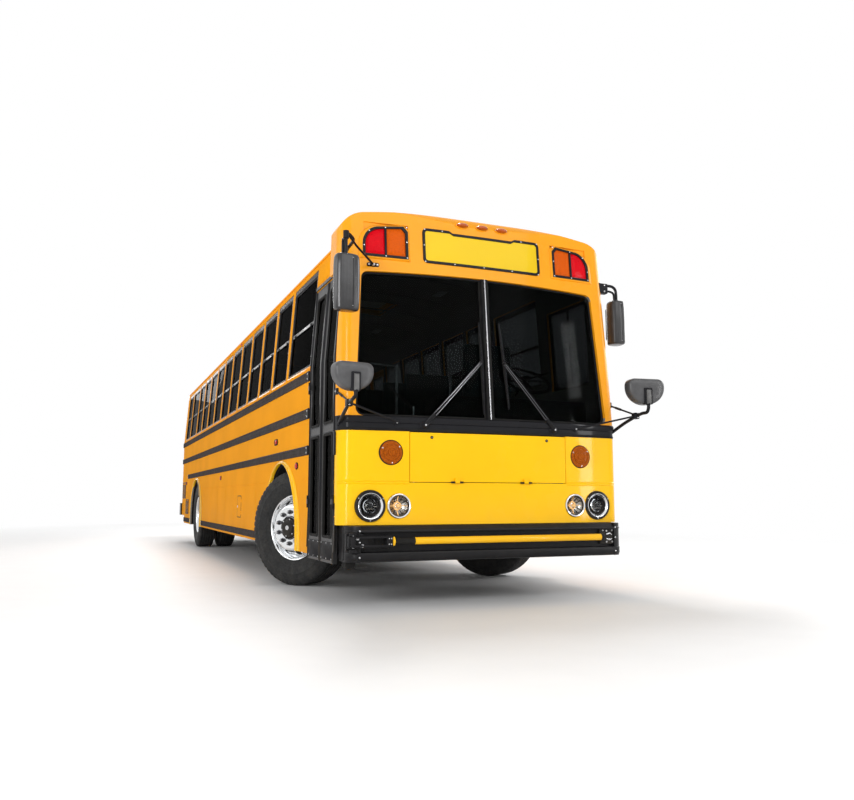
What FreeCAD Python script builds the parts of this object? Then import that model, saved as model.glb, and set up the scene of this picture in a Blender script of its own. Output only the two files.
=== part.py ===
"""School bus with its engine at the rear, as a parametric FreeCAD document.

Millimetres. +Z up from the ground, the front faces -Y and +X is the bus's own left side.
The origin is on the ground, midway between the front mirrors and the rear bumper.
"""
import FreeCAD, Part
import math
import os

import Sketcher
from FreeCAD import Placement, Rotation, Vector

DRIVING_SIZES = [
    # alias, millimetres, what it is
    ("half_width", 1219, "half of the body's width at the skirt"),
    ("top_half_width", 1153, "half of the body's width at the gutter"),
    ("skirt_bottom", 347, "height of the side walls' lower edge"),
    ("lean_height", 1870, "height where the side walls start to lean in"),
    ("gutter_height", 2790, "height where walls end and the roof starts"),
    ("shoulder_half_width", 950, "half of the width of the roof's flat crown"),
    ("shoulder_height", 2975, "height of the roof at the edge of its crown"),
    ("shoulder_radius", 300, "radius of the roof's shoulder"),
    ("roof_height", 3085, "height of the roof at its middle"),
    ("body_length", 11030, "front panel to rear wall, outside"),
    ("wall", 45, "thickness of walls and roof"),
    ("leaf", 30, "thickness of a door leaf"),
    ("mirror_reach", 390, "front panel to the foremost point of the mirrors"),
    ("left_mirror_place", 215, "front panel back to the left rear-view mirror"),
    ("rear_bumper_reach", 140, "rear wall to the rear bumper's outer face"),
    ("seat_gap", 0.3, "gap between a curved piece and its seat"),
    ("moving_gap", 5, "gap beside a hatch or lid that opens"),
    ("front_depth", 420, "length of the moulded front end"),
    ("front_crown", 14000, "plan radius of the front face"),
    ("front_corner", 110, "plan radius of the front corners"),
    ("cap_half_width", 1200, "half of the front end's width at its eaves"),
    ("cap_eaves", 2880, "height of the front end's eaves"),
    ("cap_shoulder_half", 1000, "half of the width of the front end's crown"),
    ("cap_shoulder", 3024, "height of the front end at the edge of its crown"),
    ("cap_radius", 240, "radius of the front end's shoulder"),
    ("front_edge", 114, "radius of the front end's top edge"),
    ("rear_depth", 250, "length of the rear end piece"),
    ("rear_crown", 60000, "plan radius of the rear face"),
    ("rear_corner", 180, "plan radius of the rear corners"),
    ("panel_bottom", 600, "height of the front panel's lower edge"),
    ("belt", 1296, "height where the front panel meets the cowl band"),
    ("screen_bottom", 1407, "height of the windshield's lower edge"),
    ("screen_top", 2540, "height of the windshield's upper edge"),
    ("screen_setback", 100, "how far the windshield leans back over its height"),
    ("screen_bottom_half", 1100, "half of the windshield's width at its lower edge"),
    ("screen_top_half", 1040, "half of the windshield's width at its upper edge"),
    ("screen_corner", 60, "radius of the windshield's corners"),
    ("screen_arch", 19000, "radius of the windshield's upper edge"),
    ("post_half", 28, "half of the windshield post's width"),
    ("screen_depth", 32, "front end's surface to the windshield"),
    ("glass_depth", 15, "outer surface to the glass of windows"),
    ("glass", 6, "thickness of the glass"),
    ("hatch_half", 683, "half of the front hatch opening's width"),
    ("hatch_bottom", 913, "height of the front hatch opening's lower edge"),
    ("lamp_height", 739, "height of the headlamps"),
    ("outer_lamp_place", 985, "outer headlamp to the middle"),
    ("inner_lamp_place", 764, "inner headlamp to the middle"),
    ("outer_lamp_radius", 118, "outer headlamp's radius"),
    ("inner_lamp_radius", 94, "inner headlamp's radius"),
    ("lamp_depth", 95, "length of a headlamp"),
    ("turn_lamp_place", 827, "front turn signal to the middle"),
    ("turn_lamp_height", 1135, "height of the front turn signals"),
    ("turn_lamp_radius", 95, "radius of the front turn signals"),
    ("tail_lamp_radius", 89, "radius of the round rear lamps"),
    ("tail_lamp_height", 1580, "height of the round rear lamps"),
    ("warning_inner", 650, "inner edge of the warning lamps"),
    ("warning_outer", 1012, "outer edge of the warning lamps"),
    ("warning_bottom", 2645, "lower edge of the warning lamps"),
    ("warning_top", 2945, "upper edge of the warning lamps"),
    ("warning_proud", 20, "how far the warning lamps stand out"),
    ("warning_depth", 45, "how deep the warning lamps sit"),
    ("bumper_top", 596, "front bumper's upper edge"),
    ("bumper_bottom", 335, "front bumper's lower edge"),
    ("bumper_reach", 60, "front panel to the front bumper's outer face"),
    ("bumper_half", 1210, "half of the bumpers' width"),
    ("bumper_corner", 130, "radius of the bumpers' corners"),
    ("bumper_return", 165, "front panel back to the ends of the bumper"),
    ("bumper_plate", 8, "thickness of the bumpers' plate"),
    ("bumper_depth", 85, "depth of the bumpers' flanges"),
    ("channel_top", 553, "upper edge of the channel in the front bumper"),
    ("channel_bottom", 400, "lower edge of the channel in the front bumper"),
    ("channel_depth", 45, "depth of the channel in the front bumper"),
    ("rear_bumper_top", 710, "rear bumper's upper edge"),
    ("rear_bumper_bottom", 486, "rear bumper's lower edge"),
    ("rear_bumper_return", 330, "length of the rear bumper's ends"),
    ("door_front", 176, "front panel to the entrance doorway's front edge"),
    ("door_rear", 940, "front panel to the entrance doorway's rear edge"),
    ("door_bottom", 315, "height of the entrance doors' lower edge"),
    ("door_top", 2540, "height of the entrance doorway's upper edge"),
    ("door_meeting", 30, "gap between the two entrance door leaves"),
    ("door_stile", 62, "width of a door leaf's frame"),
    ("door_rail_height", 1330, "height of a door leaf's middle rail"),
    ("hinge_out", 10, "hinge line outside the outer surface"),
    ("pin_radius", 5, "radius of the doors' hinge pins"),
    ("pin_clearance", 0.1, "gap around every hinge pin"),
    ("arm_pin_radius", 7, "radius of the safety arms' hinge pins"),
    ("pillar_half", 42, "half of the width of a window pillar"),
    ("window_bottom", 1900, "height of the side windows' lower edge"),
    ("window_top", 2750, "height of the side windows' upper edge"),
    ("bay", 711, "spacing of the side windows"),
    ("right_first_pillar", 1851, "first full pillar on the right side"),
    ("right_last_bay", 932, "length of the right side's wide rear bay"),
    ("left_first_pillar", 2155, "first pillar of the even bays on the left"),
    ("driver_window_front", 392, "front edge of the driver's window"),
    ("driver_window_rear", 1016, "rear edge of the driver's window"),
    ("driver_window_bottom", 1812, "lower edge of the driver's window"),
    ("driver_window_top", 2565, "upper edge of the driver's window"),
    ("second_window_front", 1205, "front edge of the window behind the driver"),
    ("emergency_bottom", 1135, "lower edge of the emergency doorway"),
    ("emergency_top", 2730, "upper edge of the emergency doorway"),
    ("rear_window_half", 560, "half of the rear window's width"),
    ("rear_window_bottom", 1720, "lower edge of the rear window"),
    ("rear_window_top", 2480, "upper edge of the rear window"),
    ("engine_door_half", 850, "half of the engine doorway's width"),
    ("engine_door_bottom", 722, "lower edge of the engine doorway"),
    ("engine_door_top", 1440, "upper edge of the engine doorway"),
    ("rail_proud", 12, "how far the rub rails stand out"),
    ("rail_rear", 10850, "front panel to the rub rails' rear end"),
    ("skirt_low", 371, "lower edge of the rub rail on the skirt"),
    ("skirt_high", 448, "upper edge of the rub rail on the skirt"),
    ("wheelbase", 6612, "front axle to rear axle"),
    ("front_axle_place", 1985, "front panel to the front axle"),
    ("wheel_radius", 527, "radius of the tyres"),
    ("tyre_width", 278, "width of a tyre"),
    ("rim_radius", 285.7, "radius of the rims under the tyre's bead"),
    ("kingpin_place", 900, "kingpin to the middle"),
    ("kingpin_radius", 24.9, "radius of the kingpins"),
    ("spindle_radius", 44.9, "radius of the wheel spindles"),
    ("wheel_offset", 161, "kingpin to the middle of the front tyre"),
    ("dual_place", 905, "middle of the rear twin wheels to the middle"),
    ("dual_half_spacing", 165, "half of the spacing of the twin tyres"),
    ("arch_radius", 655, "radius of the wheel arches"),
    ("arch_top", 1119, "height of the wheel arches"),
    ("flare_radius", 755, "outer radius of the arch trims"),
    ("flare_top", 1149, "height of the arch trims"),
    ("flare_proud", 25, "how far the arch trims stand out"),
    ("floor_top", 1150, "height of the cabin floor"),
    ("floor_plate", 40, "thickness of the cabin floor"),
    ("joist", 80, "width of the floor's joists"),
    ("frame_top", 960, "height of the chassis rails' upper face"),
    ("frame_bottom", 706, "height of the chassis rails' lower face"),
    ("frame_half", 432, "half of the width over the chassis rails"),
    ("frame_flange", 80, "width of the chassis rails' flanges"),
    ("frame_plate", 8, "thickness of the chassis rails"),
    ("tow_pin_radius", 20, "radius of the holes for towing pins"),
    ("front_tow_place", 52, "front panel back to the front towing pins"),
    ("rear_tow_place", 28, "rear wall back to the rear towing pins"),
    ("spring_half_length", 700, "half of the length of a leaf spring"),
    ("spring_width", 76, "width of a leaf spring"),
    ("spring_pack", 60, "height of a leaf spring"),
    ("step_bottom", 385, "height of the lowest entrance step"),
    ("step_run", 176, "depth of an entrance step"),
    ("step_plate", 20, "thickness of the entrance steps"),
    ("deck_front", 9950, "front panel to the engine deck"),
    ("deck_top", 1530, "height of the engine deck"),
    ("seat_aisle", 215, "middle to the seats' aisle end"),
    ("seat_height", 1480, "height of the underside of the seat cushions"),
    ("cushion_height", 120, "thickness of the seat cushions"),
    ("cushion_depth", 400, "depth of the seat cushions"),
    ("back_thickness", 90, "thickness of the seat backs"),
    ("back_top", 2150, "height of the seat backs"),
    ("seat_first", 2050, "front panel to the first seat row"),
    ("hatch_lid_half", 330, "half of a roof hatch lid's side"),
    ("curb_half", 315, "half of the roof hatch curb's side"),
    ("curb_bar", 25, "width of the bars of the roof hatches' curbs"),
    ("curb_top", 3118, "height of the roof hatches' curbs"),
    ("lid_thickness", 32, "thickness of a roof hatch lid"),
    ("front_roof_hatch", 3300, "front panel to the front roof hatch"),
    ("rear_roof_hatch", 8000, "front panel to the rear roof hatch"),
    ("arm_height", 487, "height of the crossing arm"),
    ("arm_pivot", 1150, "crossing arm's pivot to the middle"),
    ("arm_tip", 957, "crossing arm's tip to the middle"),
    ("arm_out", 92, "front panel to the crossing arm's middle"),
    ("arm_radius", 24, "radius of the crossing arm"),
    ("stop_arm_place", 1180, "front panel to the stop arm's hinge"),
    ("stop_arm_height", 1665, "height of the middle of the stop arm"),
    ("stop_arm_across", 457, "stop sign from flat to flat"),
    ("stop_arm_plate", 12, "thickness of the stop sign"),
    ("stop_arm_out", 55, "side wall to the stop arm's hinge"),
    ("steering_wheel_radius", 225, "radius of the steering wheel"),
]
FRONT_STEER_ANGLE = 33.0
RIGHT = -1
LEFT = 1

doc = FreeCAD.newDocument("SchoolBus")
sheet = doc.addObject("Spreadsheet::Sheet", "Sizes")


class Size:
    """A length that knows its value and its expression in the sheet."""

    def __init__(self, value, text):
        self.value = float(value)
        self.text = text

    def __add__(self, other):
        other = sized(other)
        return Size(self.value + other.value, f"({self.text} + {other.text})")

    __radd__ = __add__

    def __sub__(self, other):
        other = sized(other)
        return Size(self.value - other.value, f"({self.text} - {other.text})")

    def __rsub__(self, other):
        return sized(other) - self

    def __mul__(self, other):
        other = sized(other)
        return Size(self.value * other.value, f"({self.text} * {other.text})")

    __rmul__ = __mul__

    def __truediv__(self, other):
        other = sized(other)
        return Size(self.value / other.value, f"({self.text} / {other.text})")

    def __neg__(self):
        return Size(-self.value, f"(-1 * {self.text})")

    def root(self):
        return Size(math.sqrt(self.value), f"sqrt({self.text})")


def sized(number):
    """The number as a Size."""
    if isinstance(number, Size):
        return number
    return Size(number, f"({float(number)})")


class Sizes:
    """The driving sizes, one attribute for each alias."""


def fill_sheet():
    """Write the driving sizes to the sheet and return them as Size values."""
    sizes = Sizes()
    for row, (alias, value, note) in enumerate(DRIVING_SIZES, start=1):
        sheet.set(f"A{row}", note)
        sheet.set(f"B{row}", str(value))
        sheet.setAlias(f"B{row}", alias)
        setattr(sizes, alias, Size(value, f"Sizes.{alias}"))
    doc.recompute()
    return sizes


S = fill_sheet()

# ---------------------------------------------------------------- helpers

PLANES = {
    # plane: (rotation of a sketch's own plane, the axis it stands on)
    "XY": (Rotation(), "z"),
    "XZ": (Rotation(Vector(1, 0, 0), 90), "y"),
    "YZ": (Rotation(Vector(1, 1, 1), 120), "x"),
}
AXES = {
    "X": Rotation(Vector(0, 1, 0), 90),
    "Y": Rotation(Vector(1, 0, 0), -90),
    "Z": Rotation(),
}
DIRECTIONS = {"x": Vector(1, 0, 0), "y": Vector(0, 1, 0), "z": Vector(0, 0, 1)}
nodes = {}
fixed_hinges = []


def bind(item, name, size):
    """Tie one property of a document object to the sheet."""
    item.setExpression(name, sized(size).text)


def put(item, x, y, z, rotation=None):
    """Place an object, with its position tied to the sheet."""
    item.Placement = Placement(Vector(0, 0, 0), rotation or Rotation())
    bind(item, "Placement.Base.x", x)
    bind(item, "Placement.Base.y", y)
    bind(item, "Placement.Base.z", z)
    return item


def box(x, y, z):
    """A box from three (low, high) pairs."""
    item = doc.addObject("Part::Box", "Box")
    bind(item, "Length", sized(x[1]) - x[0])
    bind(item, "Width", sized(y[1]) - y[0])
    bind(item, "Height", sized(z[1]) - z[0])
    return put(item, x[0], y[0], z[0])


def side_box(side, x, y, z):
    """A box whose x pair is measured outwards on one side of the bus."""
    if side == LEFT:
        return box(x, y, z)
    return box((-sized(x[1]), -sized(x[0])), y, z)


def cylinder(axis, radius, length, x, y, z):
    """A cylinder that starts at a point and runs along an axis."""
    item = doc.addObject("Part::Cylinder", "Cylinder")
    bind(item, "Radius", radius)
    bind(item, "Height", length)
    return put(item, x, y, z, AXES[axis])


def side_cylinder(side, radius, x, y, z):
    """A cylinder along X whose (near, far) ends are measured outwards on one side of the bus."""
    start = x[0] if side == LEFT else -sized(x[1])
    return cylinder("X", radius, sized(x[1]) - x[0], start, y, z)


def side_cylinder_up(side, radius, x, y, z, length):
    """An upright cylinder at a distance outwards on one side of the bus."""
    return cylinder("Z", radius, length, side * x, y, z)


def ball(radius, x, y, z):
    item = doc.addObject("Part::Sphere", "Ball")
    bind(item, "Radius", radius)
    return put(item, x, y, z)


def cut(base, *tools):
    item = doc.addObject("Part::Cut", "Cut")
    item.Base = base
    item.Tool = tools[0] if len(tools) == 1 else group(tools)
    return item


def common(first, *others):
    """What the first item shares with every other one."""
    item = first
    for other in others:
        pair = doc.addObject("Part::Common", "Common")
        pair.Base = item
        pair.Tool = other
        item = pair
    return item


def fuse(*items):
    item = doc.addObject("Part::MultiFuse", "Fusion")
    item.Shapes = list(items)
    item.Refine = True
    return item


def group(items):
    """Solids that don't touch, as one object."""
    item = doc.addObject("Part::Compound", "Group")
    item.Links = list(items)
    return item


def arc_between(a, b, radius):
    """The short arc from a to b, its centre to the left of the way there, or right if negative."""
    chord = b - a
    reach = math.sqrt(radius * radius - (chord.Length / 2) ** 2)
    left = Vector(-chord.y, chord.x, 0).normalize()
    centre = (a + b) / 2 + left * math.copysign(reach, radius)
    first, last = (a, b) if radius > 0 else (b, a)
    angles = [math.atan2(p.y - centre.y, p.x - centre.x) for p in (first, last)]
    if angles[1] <= angles[0]:
        angles[1] += 2 * math.pi
    return Part.ArcOfCircle(Part.Circle(centre, Vector(0, 0, 1), abs(radius)), *angles)


def outline(plane, at, corners, closed=True):
    """A sketch through corners (u, v) or (u, v, radius of the arc to the next corner)."""
    rotation, axis = PLANES[plane]
    sketch = doc.addObject("Sketcher::SketchObject", "Outline")
    sketch.Placement = Placement(Vector(0, 0, 0), rotation)
    bind(sketch, f"Placement.Base.{axis}", at)
    points = [Vector(sized(c[0]).value, sized(c[1]).value, 0) for c in corners]
    count = len(corners) if closed else len(corners) - 1
    ends = []
    for i in range(count):
        a = points[i]
        b = points[(i + 1) % len(points)]
        if len(corners[i]) == 3:
            radius = sized(corners[i][2])
            sketch.addGeometry(arc_between(a, b, radius.value), False)
            ends.append((1, 2) if radius.value > 0 else (2, 1))
            size = radius if radius.value > 0 else -radius
            k = sketch.addConstraint(Sketcher.Constraint("Radius", i, size.value))
            sketch.setExpression(f"Constraints[{k}]", size.text)
        else:
            sketch.addGeometry(Part.LineSegment(a, b), False)
            ends.append((1, 2))
    for i in range(count if closed else count - 1):
        after = (i + 1) % count
        sketch.addConstraint(Sketcher.Constraint("Coincident", i, ends[i][1], after, ends[after][0]))
    for i, corner in enumerate(corners):
        edge, end = (i, ends[i][0]) if i < count else (i - 1, ends[i - 1][1])
        for kind, size in (("DistanceX", corner[0]), ("DistanceY", corner[1])):
            size = sized(size)
            k = sketch.addConstraint(Sketcher.Constraint(kind, -1, 1, edge, end, size.value))
            sketch.setExpression(f"Constraints[{k}]", size.text)
    return sketch


def extrude(sketch, length, axis):
    item = doc.addObject("Part::Extrusion", "Extrusion")
    item.Base = sketch
    item.DirMode = "Custom"
    item.Dir = DIRECTIONS[axis]
    item.Solid = True
    bind(item, "LengthFwd", length)
    return item


def prism(plane, span, corners):
    """An outline extruded over a (low, high) span square to its plane."""
    return extrude(outline(plane, span[0], corners), sized(span[1]) - span[0], PLANES[plane][1])


def loft(*sections):
    """A solid whose sides run straight from each sketch to the next one."""
    item = doc.addObject("Part::Loft", "Loft")
    item.Sections = list(sections)
    item.Solid = True
    item.Ruled = True
    return item


def sweep(profile, spine, edges):
    item = doc.addObject("Part::Sweep", "Sweep")
    item.Sections = [profile]
    item.Spine = (spine, [f"Edge{i + 1}" for i in range(edges)])
    item.Solid = True
    item.Transition = "Right corner"
    return item


def tube(radius, *points):
    """A round tube with mitred corners through points given as (x, y, z) of Size."""
    values = [Vector(*(sized(c).value for c in p)) for p in points]
    path = doc.addObject("Part::Polygon", "Path")
    path.Nodes = values
    path.Close = False
    ring = doc.addObject("Part::Circle", "Ring")
    bind(ring, "Radius", radius)
    put(ring, *points[0], Rotation(Vector(0, 0, 1), values[1] - values[0]))
    return sweep(ring, path, len(points) - 1)


def revolve(corners, height):
    """An outline of (place along X, radius) turned about a line along X at a height."""
    item = doc.addObject("Part::Revolution", "Revolution")
    item.Source = outline("XZ", 0, [(c[0], height + c[1], *c[2:]) for c in corners])
    item.Axis = Vector(1, 0, 0)
    bind(item, "Base.z", height)
    item.Solid = True
    return item


def upright_hinge(side, y, low, way):
    """A hinge on one side of the bus whose leaf lies to the rear (way 1) or to the front (-1)."""
    x = S.half_width + S.hinge_out
    barrels = [side_cylinder_up(side, 7, x, y, low + a, b) for a, b in ((0, 30), (70, 30))]
    pin = side_cylinder_up(side, S.pin_radius, x, y, low, 100)
    jamb = (y - 3, y) if way > 0 else (y, y + 3)
    plates = [
        side_box(side, (x - 50, x + 3), jamb, (low + a, low + a + 30))
        for a in (0, 70)
    ]
    reach = (y, y + 30) if way > 0 else (y - 30, y)
    knuckle = side_cylinder_up(side, 8, x, y, low + 31, 38)
    strap = side_box(side, (x - 16, x + 8), reach, (low + 31, low + 69))
    hole = side_cylinder_up(side, S.pin_radius + S.pin_clearance, x, y, low - 10, 120)
    fixed_hinges.append(fuse(*barrels, pin, *plates))
    return [knuckle, strap], hole


def across_hinge(x, y, z, way):
    """A hinge across an end of the bus, its leaf below it at the rear (way 1) or above it (-1)."""
    low = sized(x) - 50
    barrels = [cylinder("X", 7, 30, low + a, y, z) for a in (0, 70)]
    pin = cylinder("X", S.pin_radius, 100, low, y, z)
    jamb = (z, z + 3) if way > 0 else (z - 3, z)
    depth = (y - 50, y + 3) if way > 0 else (y - 3, y + 50)
    plates = [box((low + a, low + a + 30), depth, jamb) for a in (0, 70)]
    reach = (z - 30, z) if way > 0 else (z, z + 30)
    depth = (y - 22, y + 8) if way > 0 else (y - 8, y + 22)
    knuckle = cylinder("X", 8, 38, low + 31, y, z)
    strap = box((low + 31, low + 69), depth, reach)
    hole = cylinder("X", S.pin_radius + S.pin_clearance, 120, low - 10, y, z)
    fixed_hinges.append(fuse(*barrels, pin, *plates))
    return [knuckle, strap], hole


def lid_hinge(x, y, z):
    """A hinge on the roof's skin at the front edge of a hatch lid."""
    low = sized(x) - 50
    barrels = [cylinder("X", 7, 30, low + a, y, z) for a in (0, 70)]
    pin = cylinder("X", S.pin_radius, 100, low, y, z)
    feet = [box((low + a, low + a + 30), (y - 6, y + 6), (S.roof_height - 20, z)) for a in (0, 70)]
    knuckle = cylinder("X", 8, 38, low + 31, y, z)
    strap = box((low + 31, low + 69), (y, y + 22), (z - 5, z + 5))
    hole = cylinder("X", S.pin_radius + S.pin_clearance, 120, low - 10, y, z)
    whole = fuse(*barrels, pin, *feet)
    fixed_hinges.append(cut(whole, crowned_roof_tool(0, (y - 50, y + 50))))
    return [knuckle, strap], hole


def hinged(leaf, hinges):
    """A leaf with the moving halves of its hinges."""
    halves = [item for pair, _ in hinges for item in pair]
    return cut(fuse(leaf, *halves), *[hole for _, hole in hinges])


def node(name, item):
    """Name a finished sub-part; its label names its file."""
    item.Label = name
    nodes[name] = item
    return item


# ---------------------------------------------------------------- places shared by many pieces

NOSE = (S.mirror_reach - S.body_length - S.rear_bumper_reach) / 2
TAIL = NOSE + S.body_length
WIDE = S.half_width + 200
FRONT_AXLE = NOSE + S.front_axle_place
REAR_AXLE = FRONT_AXLE + S.wheelbase
INSIDE = S.half_width - S.wall


def ridge_radius(half, shoulder):
    """Radius of a crown from shoulder to shoulder, over the roof's height."""
    rise = S.roof_height - shoulder
    return (half * half + rise * rise) / (2 * rise)


def setback(height):
    """How far the front end's surface leans back at a height."""
    slope = S.screen_setback / (S.screen_top - S.screen_bottom)
    return (height - S.screen_bottom) * slope


def from_nose(low, high):
    return (NOSE + low, NOSE + high)


# ---------------------------------------------------------------- body shell


def crown_corners(skin, side, eaves, half, shoulder, radius):
    """The shoulders and the crown over a body, from its left eaves to its right ones."""
    ridge = ridge_radius(half, shoulder)
    return [
        (side - skin, eaves, radius - skin),
        (half, shoulder - skin, ridge - skin),
        (-half, shoulder - skin, radius - skin),
        (-(side - skin), eaves),
    ]


def roof_corners(skin):
    """The roof's shoulders and crown, from the left gutter to the right one."""
    return crown_corners(
        skin,
        S.top_half_width,
        S.gutter_height,
        S.shoulder_half_width,
        S.shoulder_height,
        S.shoulder_radius,
    )


def cap_corners(skin):
    """The squarer shoulders and crown of the moulded front end."""
    return crown_corners(
        skin, S.cap_half_width, S.cap_eaves, S.cap_shoulder_half, S.cap_shoulder, S.cap_radius
    )


def body_section(skin, span, bottom):
    """The filled body between two places, its surface `skin` inside the outer one."""
    side = S.half_width - skin
    corners = [(-side, S.lean_height), (-side, bottom), (side, bottom), (side, S.lean_height)]
    return prism("XZ", span, corners + roof_corners(skin))


def plan_corners(half, face, inward, corner, crown, depth):
    """Plan of a body end: crowned face, rounded corners, straight sides and an open back."""
    edge = (half - corner) * crown / (crown - corner)
    sagitta = crown - (crown * crown - edge * edge).root()
    lift = (corner * corner) * (1 - edge * edge / (crown * crown))
    start = face + inward * (sagitta + lift.root())
    back = face + inward * depth
    turn = sized(inward)
    near = face + inward * sagitta
    return [
        (-edge, near, turn * crown),
        (edge, near, turn * corner),
        (half, start),
        (half, back),
        (-half, back),
        (-half, start, turn * corner),
    ]


def under_crown(span, eaves, crown):
    """Everything under a crown, wider than the walls."""
    corners = [(-WIDE, eaves), (-WIDE, 0), (WIDE, 0), (WIDE, eaves)]
    return prism("XZ", span, corners + crown)


def crowned_roof_tool(skin, span):
    """Everything under the roof's surface."""
    return under_crown(span, S.gutter_height, roof_corners(skin))


def edge_tool(skin, face, inward):
    """Everything behind an end's rounded top edge."""
    radius = S.front_edge - skin
    lip = 4
    spring = S.roof_height - skin + lip - radius
    front = face + inward * skin
    outer = face - inward * 400
    back = face + inward * 900
    top = S.roof_height - skin + lip
    turn = sized(-inward)
    corners = [
        (outer, 0),
        (outer, spring),
        (front, spring, turn * radius),
        (front + inward * radius, top),
        (back, top),
        (back, 0),
    ]
    return prism("YZ", (-WIDE, WIDE), corners)


def end_solid(skin, face, inward, corner, crown, depth, lean, top):
    """The filled front or rear end of the body, its surface `skin` inside the outer one."""
    past = depth + 60 * (skin.value > 0)
    top_half, eaves, under = top
    levels = [
        # height, half width, lean back
        (sized(250), S.half_width, sized(0)),
        (S.screen_bottom, S.half_width, sized(0)),
        (S.lean_height, S.half_width, lean * setback(S.lean_height)),
        (eaves, top_half, lean * setback(eaves)),
        (S.roof_height + 15, top_half, lean * setback(S.roof_height + 15)),
    ]
    sections = []
    for height, half, back in levels:
        start = face + inward * (back + skin)
        corners = plan_corners(half - skin, start, inward, corner - skin, crown, past - back - skin)
        sections.append(outline("XY", height, corners))
    span = (NOSE - 500, NOSE + 900) if inward > 0 else (TAIL - 900, TAIL + 500)
    edge_face = face + inward * lean * setback(S.roof_height - S.front_edge)
    roof = under_crown(span, eaves, under(skin))
    return common(loft(*sections), roof, edge_tool(skin, edge_face, inward))


def front_solid(skin):
    top = (S.cap_half_width, S.cap_eaves, cap_corners)
    return end_solid(sized(skin), NOSE, 1, S.front_corner, S.front_crown, S.front_depth, 1, top)


def rear_solid(skin):
    top = (S.top_half_width, S.gutter_height, roof_corners)
    return end_solid(sized(skin), TAIL, -1, S.rear_corner, S.rear_crown, S.rear_depth, 0, top)


def shell(solid, inner, outer=0):
    return cut(solid(outer), solid(inner))


DOORWAY = from_nose(S.door_front, S.door_rear)
SIDE_SPAN = (NOSE + S.door_front, TAIL - S.rear_depth)


def doorway_tool():
    return side_box(RIGHT, (INSIDE - 100, WIDE), DOORWAY, (S.door_bottom - 100, S.door_top))


def front_shell():
    """The moulded front end with the entrance doorway cut away."""
    return cut(shell(front_solid, S.wall), doorway_tool())


def windshield_tool():
    """The windshield's outline, straight through the front end."""
    bottom = S.screen_bottom
    top = S.screen_top
    low = S.screen_bottom_half
    high = S.screen_top_half
    r = S.screen_corner
    corners = [
        (-(low - r), bottom),
        (low - r, bottom, r),
        (low, bottom + r),
        (high, top - r, r),
        (high - r, top, S.screen_arch),
        (-(high - r), top, r),
        (-high, top - r),
        (-low, bottom + r, r),
    ]
    return prism("XZ", from_nose(-300, 300), corners)


def warning_boxes(face, inward):
    """The warning lamp housings of one end."""
    ends = (face - inward * S.warning_proud, face + inward * S.warning_depth)
    span = ends if inward > 0 else ends[::-1]
    across = (S.warning_inner, S.warning_outer)
    heights = (S.warning_bottom, S.warning_top)
    return [side_box(side, across, span, heights) for side in (RIGHT, LEFT)]


FRONT_WARNING_FACE = NOSE + setback(S.warning_top)


def front_pieces():
    lower = box((-WIDE, WIDE), from_nose(-100, S.front_depth), (S.panel_bottom, S.belt))
    hatch_hole = box((-S.hatch_half, S.hatch_half), from_nose(-50, 130), (S.hatch_bottom, S.belt))
    holes = lamp_cylinders(S.seat_gap) + turn_cylinders(S.seat_gap)
    node("front_lower_panel", cut(common(front_shell(), lower), hatch_hole, *holes))
    gap = S.moving_gap
    hatch = box(
        (-(S.hatch_half - gap), S.hatch_half - gap),
        from_nose(-50, 130),
        (S.hatch_bottom + gap, S.belt - gap),
    )
    plate = common(shell(front_solid, S.wall), hatch)
    hinges = [across_hinge(x, NOSE - S.hinge_out, S.hatch_bottom + 3, -1) for x in (-300, 300)]
    node("front_hatch", hinged(plate, hinges))
    band = box((-WIDE, WIDE), from_nose(-100, S.front_depth), (S.belt, S.screen_bottom))
    node("cowl_band", cut(common(front_shell(), band), *wiper_bosses(S.seat_gap), *cowl_bosses(S.seat_gap)))
    upper = box((-WIDE, WIDE), from_nose(-100, S.front_depth), (S.screen_bottom, S.roof_height + 50))
    node(
        "front_cap",
        cut(
            common(front_shell(), upper),
            windshield_tool(),
            driver_window_tool(),
            *warning_boxes(FRONT_WARNING_FACE, 1),
            *mirror_bosses(S.seat_gap),
        ),
    )
    pane = shell(front_solid, S.screen_depth + S.glass, S.screen_depth)
    post = box((-S.post_half, S.post_half), from_nose(-200, 300), (S.screen_bottom, S.screen_top + 60))
    node("windshield", cut(common(pane, windshield_tool()), post))
    node("windshield_post", common(shell(front_solid, S.wall), windshield_tool(), post))


def lamp_cylinders(gap):
    """The four headlamps, or the holes that hold them."""
    lamps = []
    for side in (RIGHT, LEFT):
        for place, radius, setin in (
            (S.outer_lamp_place, S.outer_lamp_radius, 15),
            (S.inner_lamp_place, S.inner_lamp_radius, 5),
        ):
            y = NOSE + setin
            lamps.append(cylinder("Y", radius + gap, S.lamp_depth, side * place, y, S.lamp_height))
    return lamps


def turn_cylinders(gap):
    radius = S.turn_lamp_radius + gap
    y = NOSE + 8
    return [
        cylinder("Y", radius, 60, side * S.turn_lamp_place, y, S.turn_lamp_height)
        for side in (RIGHT, LEFT)
    ]


TAIL_LAMPS = (960, 740)


def tail_cylinders(gap):
    return [
        cylinder("Y", S.tail_lamp_radius + gap, 60, side * sized(place), TAIL - 48, S.tail_lamp_height)
        for side in (RIGHT, LEFT)
        for place in TAIL_LAMPS
    ]


# ---------------------------------------------------------------- sides, roof and rear

RIGHT_BAYS = 10
LEFT_BAYS = 12
EMERGENCY_BAY = 5


def right_windows():
    """(front, rear) pillar centres of the right side's windows."""
    first = NOSE + S.right_first_pillar
    bays = [(NOSE + S.door_rear - 20, first)]
    bays += [(first + S.bay * i, first + S.bay * (i + 1)) for i in range(RIGHT_BAYS)]
    last = first + S.bay * RIGHT_BAYS
    bays.append((last, last + S.right_last_bay))
    bays.append((last + S.right_last_bay, last + S.right_last_bay + S.bay))
    return bays


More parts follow.
